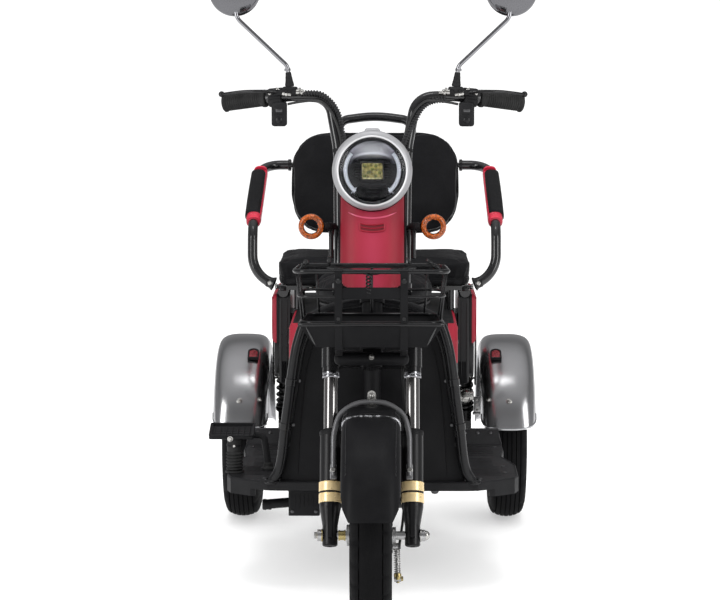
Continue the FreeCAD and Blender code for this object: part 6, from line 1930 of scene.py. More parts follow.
# mudguard: rolled edge, front bead and side ribs
FR_, FCZ_F = 238.0, 185.0
g = Geo()
for sx in (1, -1):
    arc = []
    for k in range(97):
        a_ = math.radians(-60.0 + 126.0 * k / 96.0)
        arc.append(P(sx * 52.6, (FR_ - 34.0) * math.sin(a_), FCZ_F + (FR_ - 34.0) * math.cos(a_)))
    sweep(g, arc, 0.0018, 8, 0)
    arc = []
    for k in range(80):
        a_ = math.radians(-52.0 + 116.0 * k / 79.0)
        arc.append(P(sx * 45.5, (FR_ - 6.6) * math.sin(a_), FCZ_F + (FR_ - 6.6) * math.cos(a_)))
    sweep(g, arc, 0.0012, 8, 0)
po = [(-52.8, FR_ - 30.0), (-52.0, FR_ - 14.0), (-48.0, FR_ - 8.0), (-43.0, FR_ - 4.5), (-30.0, FR_ - 1.6), (-15.0, FR_ - 0.3), (0.0, FR_),
      (15.0, FR_ - 0.3), (30.0, FR_ - 1.6), (43.0, FR_ - 4.5), (48.0, FR_ - 8.0), (52.0, FR_ - 14.0), (52.8, FR_ - 30.0)]
# the outermost front bead carries the painted glints
for a_deg, rr_, mi in ((-13.8, 0.0027, 2), (-11.0, 0.0012, 0), (-7.0, 0.0010, 0)):
    a_ = math.radians(a_deg)
    line = [P(x, (r + 0.6) * math.sin(a_), FCZ_F + (r + 0.6) * math.cos(a_)) for x, r in po]
    sweep(g, spline(line, 5), rr_, 8, mi)
make("front_fender_edges", g, ["black_gloss", "dark_steel", "lip_painted_glint"], "steering", sharp=0)

# --------------------------------------------------------- handlebar and grips
BAR_END, BAR_IN = P(-295.0, 418.2, 981.2), P(-206.0, 384.0, 992.0)
gd = (BAR_IN - BAR_END).normalized()
g0 = BAR_END - gd * 0.006
g = Geo()
prof = [(0.0, 0.01), (0.0, 13.0), (0.8, 17.6), (2.2, 19.0), (5.0, 19.0), (6.4, 18.0), (7.4, 17.0)]
L_ = 94.0
t = 9.0
while t < L_ - 12.0:
    r = 17.4 - 1.9 * t / L_
    prof += [(t, r), (t + 0.5, r - 1.05), (t + 1.5, r - 1.05), (t + 2.0, r)]
    t += 4.6
prof += [(L_ - 10.0, 15.7), (L_ - 8.0, 17.6), (L_ - 3.5, 18.0), (L_ - 1.0, 17.2), (L_, 15.6), (L_, 11.1)]
lathe(g, g0, gd, prof, 72, 0, closed=False)
# end cap, slightly dished
lathe(g, g0 - gd * 0.0004, -gd, [(0.0, 10.0), (0.5, 9.0), (0.2, 6.0), (0.2, 0.01)], 32, 1, closed=False)
g.mirrored()
make("grip_sleeves", g, ["grip_rubber", "black_plastic"], "steering", ["grips"], sharp=30)

# levers, switch housings and mirror clamps
g = Geo()


def pod_rot():
    ax = (P(-158.0, 373.5, 996.5) - BAR_IN).normalized()
    return align(ax, Z)


ax_ = (P(-158.0, 373.5, 996.5) - BAR_IN).normalized()
Rp = align(ax_, Z)
pc = P(-194.0, 382.0, 993.0)
# two-shell housing with a parting line
for sgn in (1, -1):
    rbox(g, pc + Rp @ Vector((0, mm(sgn * 9.6), 0)), (38.0, 18.4, 28.0), 5.5, 3, 0, rot=Rp)
rbox(g, pc, (35.5, 6.0, 26.5), 2.0, 2, 0, rot=Rp)
for k in (-8.0, 8.0):
    screw_head(g, pc + Rp @ Vector((mm(-18.8), mm(9.0), mm(k))), Rp @ Vector((-1, 0, 0)), 3.2, 1.6, 1)
# switch box hanging below
sb_ = P(-187.5, 372.5, 960.0)
rbox(g, sb_, (30.5, 33.0, 49.0), 5.5, 3, 0)
rbox(g, sb_ + Vector((0, -mm(16.2), mm(6.0))), (19.0, 3.4, 13.0), 1.4, 2, 0)
rbox(g, sb_ + Vector((0, -mm(17.4), mm(7.5))), (13.0, 3.2, 6.5), 1.2, 2, 2)
lathe(g, sb_ + Vector((0, -mm(16.0), -mm(12.0))), FRONT, [(0, 0.01), (0, 6.4), (1.6, 6.4), (2.0, 5.6), (3.4, 5.2), (4.2, 4.0), (4.5, 0.01)], 28, 3, closed=False)
rbox(g, sb_ + Vector((0, mm(15.6), mm(2.0))), (20.0, 4.0, 26.0), 1.5, 2, 2)
# mirror clamp
mc_ = P(-166.0, 370.0, 1005.0)
rbox(g, mc_, (31.0, 24.5, 19.5), 4.0, 3, 0)
hexbolt(g, mc_ + Vector((mm(8.0), -mm(12.0), 0)), FRONT, 6.5, 3.0, 3, washer=(5.0, 0.8))
hexbolt(g, mc_ + Vector((-mm(8.0), -mm(12.0), 0)), FRONT, 6.5, 3.0, 3, washer=(5.0, 0.8))
# lever: flat forging with a ball end, pivot bolt
lv = spline([P(-181, 374, 1002), P(-197, 361, 1004.5), P(-214, 353.5, 1005.5), P(-236, 356, 1005.6),
             P(-258, 364, 1005), P(-284, 375.5, 1002), P(-304, 386, 999)], 7)
rad_ = []
for i in range(len(lv)):
    t = i / (len(lv) - 1)
    rad_.append(0.0060 - 0.0022 * t if t > 0.2 else 0.0066)
sweep(g, lv, rad_, 14, 4, flat=0.72)
lathe(g, lv[-1], (lv[-1] - lv[-2]), [(-6.0, 0.01), (-5.6, 3.0), (-3.6, 5.2), (0.0, 6.4), (3.6, 5.2), (5.6, 3.0), (6.2, 0.01)], 24, 4, closed=False)
rbox(g, P(-188.0, 366.0, 1003.0), (20.0, 15.0, 12.0), 3.0, 2, 0)
hexbolt(g, P(-190.0, 364.0, 1009.0), Z, 8.0, 3.2, 1, washer=(5.8, 0.8))
# plated adjuster where the wrapped cables start
aj0, aj1 = P(-153.0, 358.5, 1004.5), P(-130.0, 357.0, 1003.0)
lathe(g, aj0, aj1 - aj0, [(0, 2.4), (0, 5.0), (5.6, 5.0), (5.8, 3.6), (8.6, 3.6), (8.8, 5.6), (10.4, 6.0), (13.4, 6.0), (14.6, 5.4), (14.8, 3.4),
                         (22.0, 3.0), (22.4, 2.2)], 24, 1, closed=False)
rbox(g, P(-146.0, 355.0, 1010.0), (5.0, 5.0, 6.5), 1.0, 1, 1)
# plated cable adjuster
lathe(g, P(-180.0, 362.0, 1001.0), P(-160.0, 356.0, 998.0) - P(-180.0, 362.0, 1001.0),
      [(0, 3.0), (0, 4.6), (5.0, 4.6), (5.2, 3.6), (7.0, 3.6), (7.2, 5.4), (10.5, 5.4), (10.8, 3.2), (18.0, 3.0)], 20, 1, closed=False)
g.mirrored()
make("switch_housings", g, ["black_plastic", "bright_steel", "dark_steel", "black_gloss", "black_paint"], "steering",
     ["hand_controls"], sharp=38)

# wrapped cable bundles and the front brake cable
g = Geo()


def wrapped(pts, r, pitch=5.6, mat=0):
    """A bundle with a coiled sleeve wound round it."""
    path = resample(spline(pts, 8), mm(0.56))
    sweep(g, path[::6], r - 0.0012, 12, mat)
    n = len(path)
    th = 0.0
    coil = []
    for i in range(n):
        t_ = (path[min(n - 1, i + 1)] - path[max(0, i - 1)]).normalized()
        nn = (Y - t_ * t_.dot(Y)).normalized()
        bb = t_.cross(nn)
        coil.append(path[i] + (nn * math.cos(th) + bb * math.sin(th)) * (r - 0.0004))
        th += 2 * math.pi * 0.56 / pitch
    sweep(g, coil, 0.0017, 6, mat)


wrapped([P(-146, 360, 1001), P(-127, 356, 1002), P(-106, 353, 1000.5), P(-88, 353, 989), P(-75, 346, 973), P(-67, 342, 956),
         P(-62, 334, 930), P(-55, 322, 890), P(-52, 297, 815)], 0.0056)
wrapped([P(146, 358, 989), P(122, 354, 987), P(105, 348, 980), P(93, 343, 967), P(85, 338, 952), P(75, 331, 933),
         P(63, 325, 905), P(55, 315, 870), P(52, 296, 815)], 0.0056)
for sx in (1, -1):
    # single leads that leave the wrap
    s1 = spline([P(sx * 170, 362, 980), P(sx * 150, 356, 984), P(sx * 126, 350, 987), P(sx * 104, 343, 986),
                 P(sx * 83, 337, 966), P(sx * 68, 329, 930), P(sx * 59, 321, 880), P(sx * 54, 304, 820), P(sx * 50, 286, 800)], 8)
    sweep(g, s1, 0.0026, 10, 1)
    # clips on the upright
    for tt in (0.35, 0.7):
        q0 = P(sx * (69.0 - 4.0 * tt), 345.0 - 40.0 * tt, 930.0 - 120.0 * tt)
        lathe(g, q0, (P(sx * 65.0, 300.0, 800.0) - P(sx * 69.0, 345.0, 930.0)), [(-2.5, 11.2), (-2.5, 12.6), (2.5, 12.6), (2.5, 11.2)], 32, 2)
cab = [P(50, 4, 101), P(51, 24, 140), P(60, 45, 200), F(64, -7, 75), F(64, -7, 225), F(60, 26, 300),
       F(57, 26, 400), F(55, 27, 560), F(57, 28, 640)]
sweep(g, resample(bent(cab, 90.0), 0.008), 0.0026, 10, 1)
make("cable_bundles", g, ["wrap", "cable", "black_plastic"], "steering", ["control_cables"], sharp=0)

# ------------------------------------------------------------------ red cowl
def on_node(name, x, z, side=-1):
    return ray_y(name, x, z, side)


g = Geo()
# curved crease above, rounded ridge drawn in a lighter red as a painted highlight
line = []
for k in range(33):
    t = -1 + 2 * k / 32.0
    x = 47.0 * t
    z = 764.5 + 10.5 * abs(t) ** 2.0
    loc, nor = on_node("front_cowl", x, z)
    if loc is not None:
        line.append(loc - Vector((0, 0.0002, 0)))
if len(line) > 4:
    n_ = len(line)
    sweep(g, line, [0.0004 + 0.0019 * math.sin(math.pi * i / (n_ - 1)) ** 0.5 for i in range(n_)], 10, 2)
# slotted vent: raised lip round a dark red sheet, painted shade standing in for the recess, with one bar
def cowl_loop(x0, x1, z0, z1, r, sag, lift):
    pts = rect_ring(0, 0, (x1 - x0) / 2, (z1 - z0) / 2, r, 0, 72)
    out = []
    for p in pts:
        x = (x0 + x1) / 2 + p.x
        z = (z0 + z1) / 2 + p.y - sag * (1 - (p.x / ((x1 - x0) / 2)) ** 2)
        loc, nor = on_node("front_cowl", x, z)
        if loc is not None:
            out.append(loc - Vector((0, lift, 0)))
    return out


lp_ = cowl_loop(-24.0, 24.0, 742.0, 755.0, 2.6, 3.2, 0.0006)
sweep(g, lp_, 0.0017, 8, 0, closed=True)
# the sheet inside the lip, painted darker as the recess's shade
rows_ = []
for k in range(25):
    x = -22.6 + 45.2 * k / 24.0
    sag = 3.2 * (1 - (x / 24.0) ** 2)
    a_, _ = on_node("front_cowl", x, 743.6 - sag)
    b_, _ = on_node("front_cowl", x, 753.4 - sag)
    if a_ is not None and b_ is not None:
        rows_.append((a_ - Vector((0, 0.0003, 0)), b_ - Vector((0, 0.0003, 0))))
vs, fs = [], []
for a_, b_ in rows_:
    vs += [a_, b_, b_ + Vector((0, 0.0008, 0)), a_ + Vector((0, 0.0008, 0))]
for i in range(len(rows_) - 1):
    for j in range(4):
        fs.append([i * 4 + j, i * 4 + (j + 1) % 4, (i + 1) * 4 + (j + 1) % 4, (i + 1) * 4 + j])
fs.append([0, 1, 2, 3]); fs.append([(len(rows_) - 1) * 4 + j for j in (3, 2, 1, 0)])
g.add(vs, fs, 1)
bar_ = []
for k in range(25):
    x = -22.0 + 44.0 * k / 24.0
    loc, _ = on_node("front_cowl", x, 748.4 - 3.2 * (1 - (x / 24.0) ** 2))
    if loc is not None:
        bar_.append(loc - Vector((0, 0.0006, 0)))
sweep(g, bar_, 0.0012, 8, 0)
make("cowl_trim", g, ["red", "red_painted_recess_shade", "red_painted_highlight"], "steering", sharp=40)

# ------------------------------------------------------------------- basket
B_U0, B_U1 = -36.0, 126.0
g = Geo()


def cage_ring(hw, ua, ub, z, zb, rr, seg=14):
    pts = [P(0, ub, zb), P(hw * 0.96, ub, zb), P(hw, ua, z), P(-hw, ua, z), P(-hw * 0.96, ub, zb), P(-0.3, ub, zb)]
    sweep(g, bent(pts, 26.0), mm(rr), seg, 0)


cage_ring(143.0, B_U0, B_U1, 684.0, 678.0, 4.6, 18)
cage_ring(137.0, B_U0 + 4, B_U1 - 6, 637.0, 634.0, 2.8)
cage_ring(131.0, B_U0 + 8, B_U1 - 12, 588.0, 588.0, 2.8)
for x in (-108.0, -62.0, 0.0, 62.0, 108.0):
    sweep(g, [P(x, B_U1 + 0.2, 678.0), P(x * 0.965, B_U1 - 6.0, 634.0), P(x * 0.93, B_U1 - 12.2, 588.0)], 0.0024, 10, 0)
for sx in (1, -1):
    for fr_ in (0.3, 0.7):
        uu = B_U0 + (B_U1 - B_U0) * fr_
        sweep(g, [P(sx * (143.0 - 5.7 * fr_), uu, 684.0 - 6.0 * fr_),
                  P(sx * (137.0 - 5.5 * fr_), B_U0 + 4 + (B_U1 - B_U0 - 10) * fr_, 637.0 - 3.0 * fr_),
                  P(sx * (131.0 - 5.2 * fr_), B_U0 + 8 + (B_U1 - B_U0 - 20) * fr_, 588.0)], 0.0024, 10, 0)
# second wire over the front rail, one ball end and the stubs of the folded handle
sweep(g, spline([P(-133, B_U0 + 12, 686.0), P(-126, B_U0 + 12, 694.0), P(-118, B_U0 + 13, 695.6), P(0, B_U0 + 14, 695.4), P(108, B_U0 + 13, 695.6),
                 P(118, B_U0 + 12, 694.0), P(127, B_U0 + 12, 686.0)], 8), 0.0034, 12, 0)
lathe(g, P(-121, B_U0 + 10, 700.5), Z, [(-5.0, 0.01), (-4.6, 3.4), (-1.6, 5.0), (1.6, 5.0), (4.6, 3.4), (5.0, 0.01)], 20, 0, closed=False)
sweep(g, [P(-78.6, B_U0 + 13, 694.0), P(-78.6, B_U0 + 12, 703.0), P(-78.2, B_U0 + 11, 711.0)], [0.0036, 0.0034, 0.0030], 12, 0)
sweep(g, [P(74.0, B_U0 + 13, 694.0), P(70.0, B_U0 + 12, 702.0), P(66.0, B_U0 + 11, 709.0)], [0.0028, 0.0026, 0.0022], 12, 0)
sweep(g, [P(116.0, B_U0 + 12, 694.0), P(109.0, B_U0 + 10, 701.0), P(103.0, B_U0 + 9, 706.0)], [0.0028, 0.0026, 0.0022], 12, 0)
make("basket_wires", g, ["black_paint"], "steering", ["basket_cage"], sharp=0)

g = Geo()
prof_ = [(B_U0 - 10.6, 690.0), (B_U0 - 8.6, 691.2), (B_U0 - 5.6, 690.6), (B_U0 - 5.0, 688.0), (B_U0 + 0.6, 637.0), (B_U0 + 5.8, 588.0),
         (B_U0 + 22.5, 542.0), (30.0, 527.5), (62.0, 520.0), (64.0, 515.0), (57.0, 513.0), (24.0, 520.0), (B_U0 + 17.0, 535.0), (B_U0 + 0.6, 586.0), (B_U0 - 4.6, 637.0)]
n_ = len(prof_)
for sx in (1, -1):
    for xa, xb in ((-7.0, 7.0),):
        vs = []
        for x_, k_ in ((xa, 0.0), (xa + 0.9, 1.0), (xb - 0.9, 1.0), (xb, 0.0)):
            for i in range(n_):
                p0, p1, p2 = Vector(prof_[i - 1]), Vector(prof_[i]), Vector(prof_[(i + 1) % n_])
                d1, d2 = (p1 - p0).normalized(), (p2 - p1).normalized()
                nr = Vector((d1.y + d2.y, -(d1.x + d2.x))).normalized()
                q = p1 - nr * (0.0 if k_ else 0.8) * -1.0
                vs.append(P(sx * 61.0 + x_, q.x, q.y))
        fs = [list(range(n_)), [3 * n_ + i for i in reversed(range(n_))]]
        for rr in range(3):
            for i in range(n_):
                j = (i + 1) % n_
                fs.append([rr * n_ + i, (rr + 1) * n_ + i, (rr + 1) * n_ + j, rr * n_ + j])
        g.add(vs, fs, 0, smooth=False)
lathe(g, P(-71.0, 60.0, 508.0), X, [(0, 0.01), (0.5, 4.6), (2.0, 7.8), (4.6, 10.4), (8.0, 11.9), (12.0, 12.3), (130.0, 12.3), (134.0, 11.9), (137.4, 10.4),
                                   (140.0, 7.8), (141.5, 4.6), (142.0, 0.01)], 56, 0, closed=False)
rbox(g, F(0, -LEG_F - 25.0, 334.0), (36.0, 22.0, 16.0), 2.0, 2, 0, rot=Matrix.Rotation(-RAKE, 3, "X"))
rbox(g, P(0, B_U0 - 1.6, 644.0), (110.0, 2.4, 22.0), 0.9, 1, 0)
make("basket_bracket", g, ["black_satin"], "steering", ["basket_carrier"], sharp=38)

g = Geo()
# two crossing wires and the twisted pair that hangs on the front rail
for sx in (1, -1):
    cr = spline([P(sx * 96, B_U0 + 20, 683.6), P(sx * 60, B_U0 + 14, 686.0), P(sx * 30, B_U0 + 5, 684.5), P(sx * 8, B_U0 + 1, 680.5),
                 P(-sx * 10, B_U0 + 3, 680.0), P(-sx * 34, B_U0 + 8, 686.0), P(-sx * 62, B_U0 + 18, 688.4), P(-sx * 82, B_U0 + 40, 688.0)], 6)
    sweep(g, cr, 0.0022, 10, 0)
tw_n = 60
for ph in (0.0, math.pi):
    pts = []
    for i in range(tw_n + 1):
        t = i / tw_n
        a_ = ph + 2 * math.pi * 3.2 * t
        pts.append(P(-5.0 + 4.2 * math.cos(a_), B_U0 - 4.0 + 4.2 * math.sin(a_) * 0.6 + 5.0 * t, 681.0 - 42.0 * t))
    sweep(g, pts, 0.0017, 8, 0)
# rolled lip round the tray and drain ribs inside
lip_ = [P(-134, B_U0 + 2, 584.8), P(134, B_U0 + 2, 584.8), P(128, B_U1 - 6, 584.8), P(-128, B_U1 - 6, 584.8)]
ll = []
for i in range(4):
    a_, b_ = lip_[i], lip_[(i + 1) % 4]
    for k in range(14):
        ll.append(a_ + (b_ - a_) * (0.03 + 0.94 * k / 13.0))
sweep(g, ll, 0.0034, 12, 0, closed=True)
for k in range(7):
    x = -72.0 + 24.0 * k
    sweep(g, [P(x, B_U0 + 34, 544.6), P(x, B_U0 + 80, 545.0), P(x, B_U1 - 38, 544.6)], [0.001, 0.0022, 0.001], 8, 1)
# thin glossy beads down the corners of the tray's front face, where the edges catch the light
for sx in (1, -1):
    ed_ = []
    for k in range(13):
        z_ = 580.0 - 36.0 * k / 12.0
        loc_, nor_ = ray_y("basket_tray", sx * (121.0 - 17.0 * k / 12.0), z_, -1)
        if loc_ is not None:
            ed_.append(loc_ - Vector((0, 0.0001, 0)))
    if len(ed_) > 4:
        n_ = len(ed_)
        sweep(g, ed_, [0.0004 + 0.0016 * math.sin(math.pi * i / (n_ - 1)) ** 0.5 for i in range(n_)], 10, 3)
# carrier: top straps, their bolts and the centre bolt
for sx in (1, -1):
    rbox(g, P(sx * 61.0, B_U0 - 9.0, 689.0), (17.5, 7.0, 5.0), 2.0, 2, 0)
    hexbolt(g, P(sx * 61.0, B_U0 - 9.4, 668.0), FRONT, 7.5, 3.2, 0, washer=(5.4, 0.9))
    hexbolt(g, P(sx * 61.0, B_U0 + 1.6, 596.0), FRONT, 7.5, 3.2, 0, washer=(5.4, 0.9))
hexbolt(g, P(0, 48.0, 513.0), FRONT + Z * 0.5, 7.6, 3.6, 2, washer=(5.8, 1.0), dome=1.4)
make("basket_fittings", g, ["black_paint", "black_plastic", "bright_steel", "black_tube"], "steering", sharp=40)


# ------------------------------------------------------- leg shield and floor
FLOOR_TOP, FLOOR_LOW, BODY_X, BODY_TOP = 226.0, 209.0, 178.0, 515.0
UP = Vector((0, 0, 1))


def strip(g, pts, r=0.0010, mat=0, ends=True, flat=1.0):
    n = len(pts)
    rad = [r * (0.35 + 0.65 * min(1.0, i / 2.0, (n - 1 - i) / 2.0)) if ends else r for i in range(n)]
    sweep(g, pts, rad, 8, mat, flat=flat)


def on_front(name, xs, zs, lift=0.3):
    out = []
    for x, z in zip(xs, zs):
        loc, nor = ray_y(name, x, z, -1)
        if loc is not None:
            out.append(loc - Vector((0, mm(lift), 0)))
    return out


g = Geo()
edge_ = [(-183.0, 229.0), (-177.0, 282.0), (-167.0, 362.0), (-157.0, 440.0), (-149.0, 498.0), (-132.0, 542.0), (-99.0, 572.0), (-63.0, 589.0)]
for sx in (1, -1):
    pl = spline([Vector((sx * x, 0, z)) for x, z in edge_], 8)
    ln = on_front("leg_shield", [p.x for p in pl], [p.z for p in pl], 0.2)
    if len(ln) > 4:
        strip(g, ln, 0.0016, 0)
    # embossed inner contour and the fixing screws
    pl = spline([Vector((sx * x, 0, z)) for x, z in ((150.0, 238.0), (147.0, 300.0), (140.0, 380.0), (132.0, 450.0), (116.0, 506.0), (90.0, 534.0))], 8)
    ln = on_front("leg_shield", [p.x for p in pl], [p.z for p in pl], 0.1)
    if len(ln) > 4:
        strip(g, ln, 0.0013, 0)
    for x, z in ((168.0, 300.0), (156.0, 400.0), (138.0, 500.0), (60.0, 300.0), (60.0, 500.0)):
        loc, nor = ray_y("leg_shield", sx * x, z, -1)
        if loc is not None:
            screw_head(g, loc, Vector((0, -1, 0)), 4.4, 2.0, 1)
make("leg_shield_trim", g, ["black_satin", "black_plastic"], "root", sharp=40)

g = Geo()
# anti-slip bars on the floorboard
for k in range(13):
    u0 = 372.0 + 15.5 * k
    hw = 262.0 if u0 < 470 else 250.0
    for x0, x1 in ((-hw, -200.0), (-188.0, -96.0), (-84.0, 84.0), (96.0, 188.0), (200.0, hw)):
        if u0 > 540 and abs(x0 + x1) < 300:
            continue
        strip(g, [P(x0, u0, FLOOR_TOP + 0.1), P((x0 + x1) / 2, u0, FLOOR_TOP + 0.3), P(x1, u0, FLOOR_TOP + 0.1)], 0.0019, 0, flat=0.7)
for k in range(6):
    u0 = 600.0 + 22.0 * k
    for sx in (1, -1):
        strip(g, [P(sx * 196.0, u0, FLOOR_TOP + 0.1), P(sx * 225.0, u0, FLOOR_TOP + 0.3), P(sx * 256.0, u0, FLOOR_TOP + 0.1)], 0.0019, 0, flat=0.7)
# rolled edge of the wings and the outline of the kicked-up rear corner
for sx in (1, -1):
    wing = [(190, 291), (212, 293.5), (245, 313), (287, 343), (295.6, 373), (295.6, 486), (284, 540), (271, 584), (279, 664), (278, 738)]
    pl = []
    for (x0, u0), (x1, u1) in zip(wing[:-1], wing[1:]):
        for j in range(6):
            t = j / 6.0
            pl.append(P(sx * (x0 + (x1 - x0) * t - 1.2), u0 + (u1 - u0) * t + 0.6, FLOOR_TOP - 0.4))
    sweep(g, pl, 0.0016, 8, 0)
    pl = [P(sx * (x - 0.3), u, FLOOR_LOW - 7.0) for x, u in wing[2:-1]]
    sweep(g, resample(pl, 0.012), 0.0014, 8, 0)
    # kick panel edges; the top and outer ones in a lighter grey as painted highlights
    k0 = [P(sx * 183.5, 771.5, 253.0), P(sx * 228.0, 771.2, 254.3), P(sx * 272.0, 771.5, 253.0)]
    strip(g, k0, 0.0016, 1)
    strip(g, [P(sx * 272.6, 772.0, 252.0), P(sx * 276.0, 756.0, 238.0), P(sx * 279.0, 741.0, 226.0)], 0.0016, 1)
    strip(g, [P(sx * 183.0, 772.0, 252.0), P(sx * 182.6, 756.0, 238.0), P(sx * 182.6, 741.0, 226.0)], 0.0014, 0)
    for x_, z_, u_ in ((200.0, 246.5, 765.4), (228.0, 246.5, 765.4), (256.0, 246.5, 765.4)):
        screw_head(g, P(sx * x_, u_, z_), Vector((0, -0.62, 0.78)), 4.2, 2.0, 2)
    for x_, u_ in ((270.0, 400.0), (270.0, 470.0), (218.0, 330.0), (262.0, 700.0)):
        screw_head(g, P(sx * x_, u_, FLOOR_TOP), UP, 4.6, 2.2, 2)
# small knob below the front edge and its bolt
lathe(g, P(127.0, 380.0, 206.0), Vector((0, 0, -1)), [(0, 0.01), (0, 9.5), (3.0, 10.5), (6.0, 9.5), (8.0, 10.5), (11.0, 9.5), (14.0, 9.0), (19.0, 6.0), (21.0, 0.01)], 28, 3, closed=False)
hexbolt(g, P(127.0, 368.6, 196.0), FRONT, 8.0, 3.4, 2, washer=(6.0, 1.0))
make("floor_trim", g, ["black_plastic", "kick_edge_painted_highlight", "dark_steel", "black_paint"], "root", sharp=40)

# guard hoop: the tube, its welded feet, and the rolled edge of the shield beside it
g = Geo()
HP = [(203.0, 302.0, 222.0), (197.0, 300.5, 232.0), (187.5, 298.0, 250.0), (181.0, 294.5, 280.0), (175.5, 291.0, 330.0), (170.5, 288.2, 368.0), (166.5, 286.6, 396.0),
      (161.0, 285.2, 440.0), (152.2, 284.5, 495.0), (139.5, 284.5, 538.0), (126.0, 284.8, 555.0), (107.0, 285.2, 567.5), (74.0, 286.0, 580.5),
      (38.0, 286.0, 587.0), (0.0, 286.0, 589.0)]
hoop_ = [P(x, u, z) for x, u, z in HP] + [P(-x, u, z) for x, u, z in reversed(HP[:-1])]
sweep(g, spline(hoop_, 8), 0.0100, 24, 0)
RE = [(184.5, 304.0, 240.0), (172.0, 302.5, 300.0), (160.0, 301.0, 370.0), (149.5, 299.5, 436.0), (140.0, 298.5, 490.0), (128.5, 297.0, 522.0), (112.0, 296.0, 541.0),
      (92.0, 295.0, 554.0), (58.0, 294.0, 566.0)]
for sx in (1, -1):
    sweep(g, spline([P(sx * x, u, z) for x, u, z in RE], 8), 0.0036, 12, 1)
    lathe(g, P(sx * 203.0, 302.0, 222.0), Z, [(0.0, 9.6), (0.0, 16.0), (4.0, 16.6), (5.6, 15.6), (7.4, 12.4), (9.0, 10.2)], 40, 0, closed=False)
make("guard_hoop_tube", g, ["black_gloss", "black_gloss"], "root", ["front_guard_hoop"], sharp=0)

# rubber gaiter under the brake pedal, standing on the wing
g = Geo()
bel = [(0.0, 0.01), (0.0, 19.0), (2.0, 19.6), (4.0, 18.6)]
zz = 5.0
while zz < 40.0:
    bel += [(zz, 14.6), (zz + 2.6, 17.6), (zz + 3.8, 17.6), (zz + 6.0, 14.6)]
    zz += 6.4
bel += [(45.0, 15.2), (47.0, 15.8), (66.0, 15.4), (70.0, 14.4), (71.0, 12.0), (71.0, 0.01)]
lathe(g, P(-283.0, 401.0, FLOOR_TOP), Z, bel, 56, 0, closed=False)
lathe(g, P(-283.0, 401.0, FLOOR_TOP + 55.0), Z, [(0.0, 15.4), (0.0, 16.6), (4.0, 16.6), (4.0, 15.4)], 56, 1, closed=False)
hexbolt(g, P(-283.0, 384.4, FLOOR_TOP + 57.0), FRONT, 5.0, 2.4, 2)
make("pedal_gaiter", g, ["grip_rubber", "black_plastic", "bright_steel"], "root", sharp=38)

# front hoop: clamps and saddle clips that hold the shield
g = Geo()
for sx in (1, -1):
    for (x, u, z), (dx, du, dz) in (((174.6, 290.2, 340.0), (-17.0, -8.0, 160.0)), ((162.2, 285.8, 430.0), (-13.0, -4.0, 100.0))):
        dd = Vector((sx * mm(dx), mm(du), mm(dz))).normalized()
        c = P(sx * x, u, z)
        lathe(g, c, dd, [(-7.0, 9.9), (-7.0, 11.0), (-6.4, 11.5), (6.4, 11.5), (7.0, 11.0), (7.0, 9.9)], 40, 0, closed=False)
        rbox(g, c + Vector((-sx * mm(6.0), mm(14.0), 0)), (13.0, 14.0, 12.0), 1.2, 2, 0)
        hexbolt(g, c + Vector((-sx * mm(16.0), mm(16.0), 0)), FRONT, 6.0, 2.4, 1)
make("hoop_clips", g, ["black_paint", "dark_steel"], "root", sharp=38)

# head tube: bearing cups
g = Geo()
for z_ in (398.0, 470.0):
    lathe(g, F(0, 0, z_), FORK_Z, [(-4.0, 26.0), (-4.0, 30.4), (-2.0, 31.2), (2.0, 31.2), (4.0, 30.4), (4.0, 26.0)], 56, 0, closed=False)
make("steering_bearing_cups", g, "dark_steel", "root", sharp=38)

# ------------------------------------------------------------ pedal
g = Geo()
Rp_ = Matrix.Rotation(math.radians(13.0), 3, "X")


def ped(x, y, z):
    """Pedal plate frame: x across, y along, z out of the tray."""
    q = Rp_ @ Vector((mm(x + 290.0), mm(y), mm(z)))
    return P(-290.0, 420.0, 307.0) + q


tray = [ped(x, y, 4.3) for x, y in ((-334, -34), (-244, -34), (-244, 34), (-334, 34))]
loop_ = []
for i in range(4):
    a_, b_ = tray[i], tray[(i + 1) % 4]
    for j in range(10):
        loop_.append(a_ + (b_ - a_) * (0.04 + 0.92 * j / 9.0))
sweep(g, loop_, 0.0016, 8, 0, closed=True)
for k in range(7):
    x = -325.0 + 12.0 * k
    strip(g, [ped(x, -27, 0.9), ped(x, 0, 1.6), ped(x, 27, 0.9)], 0.0020, 0)
for k in range(5):
    y = -24.0 + 12.0 * k
    strip(g, [ped(-328, y, 0.6), ped(-289, y, 0.9), ped(-250, y, 0.6)], 0.0012, 0)
hexbolt(g, ped(-291.0, -36.4, -1.4), Rp_ @ Vector((0, -1, 0)), 8.0, 2.4, 1, washer=(6.0, 0.9))
hexbolt(g, ped(-262.0, 6.0, -4.2), Rp_ @ Vector((0, 0, -1)), 8.0, 3.6, 1, washer=(6.0, 0.9))
lathe(g, P(-215.5, 424.0, FLOOR_TOP + 5.0), UP, [(0, 15.0), (1.2, 14.6), (2.0, 11.0), (5.0, 9.6), (6.0, 9.0), (7.0, 9.8), (8.5, 9.0), (9.5, 9.6), (11.5, 8.4), (12.0, 7.2)], 40, 2, closed=False)
make("pedal_tread", g, ["black_plastic", "bright_steel", "grip_rubber"], "root", sharp=38)

# ------------------------------------------------------------- seat body
g = Geo()
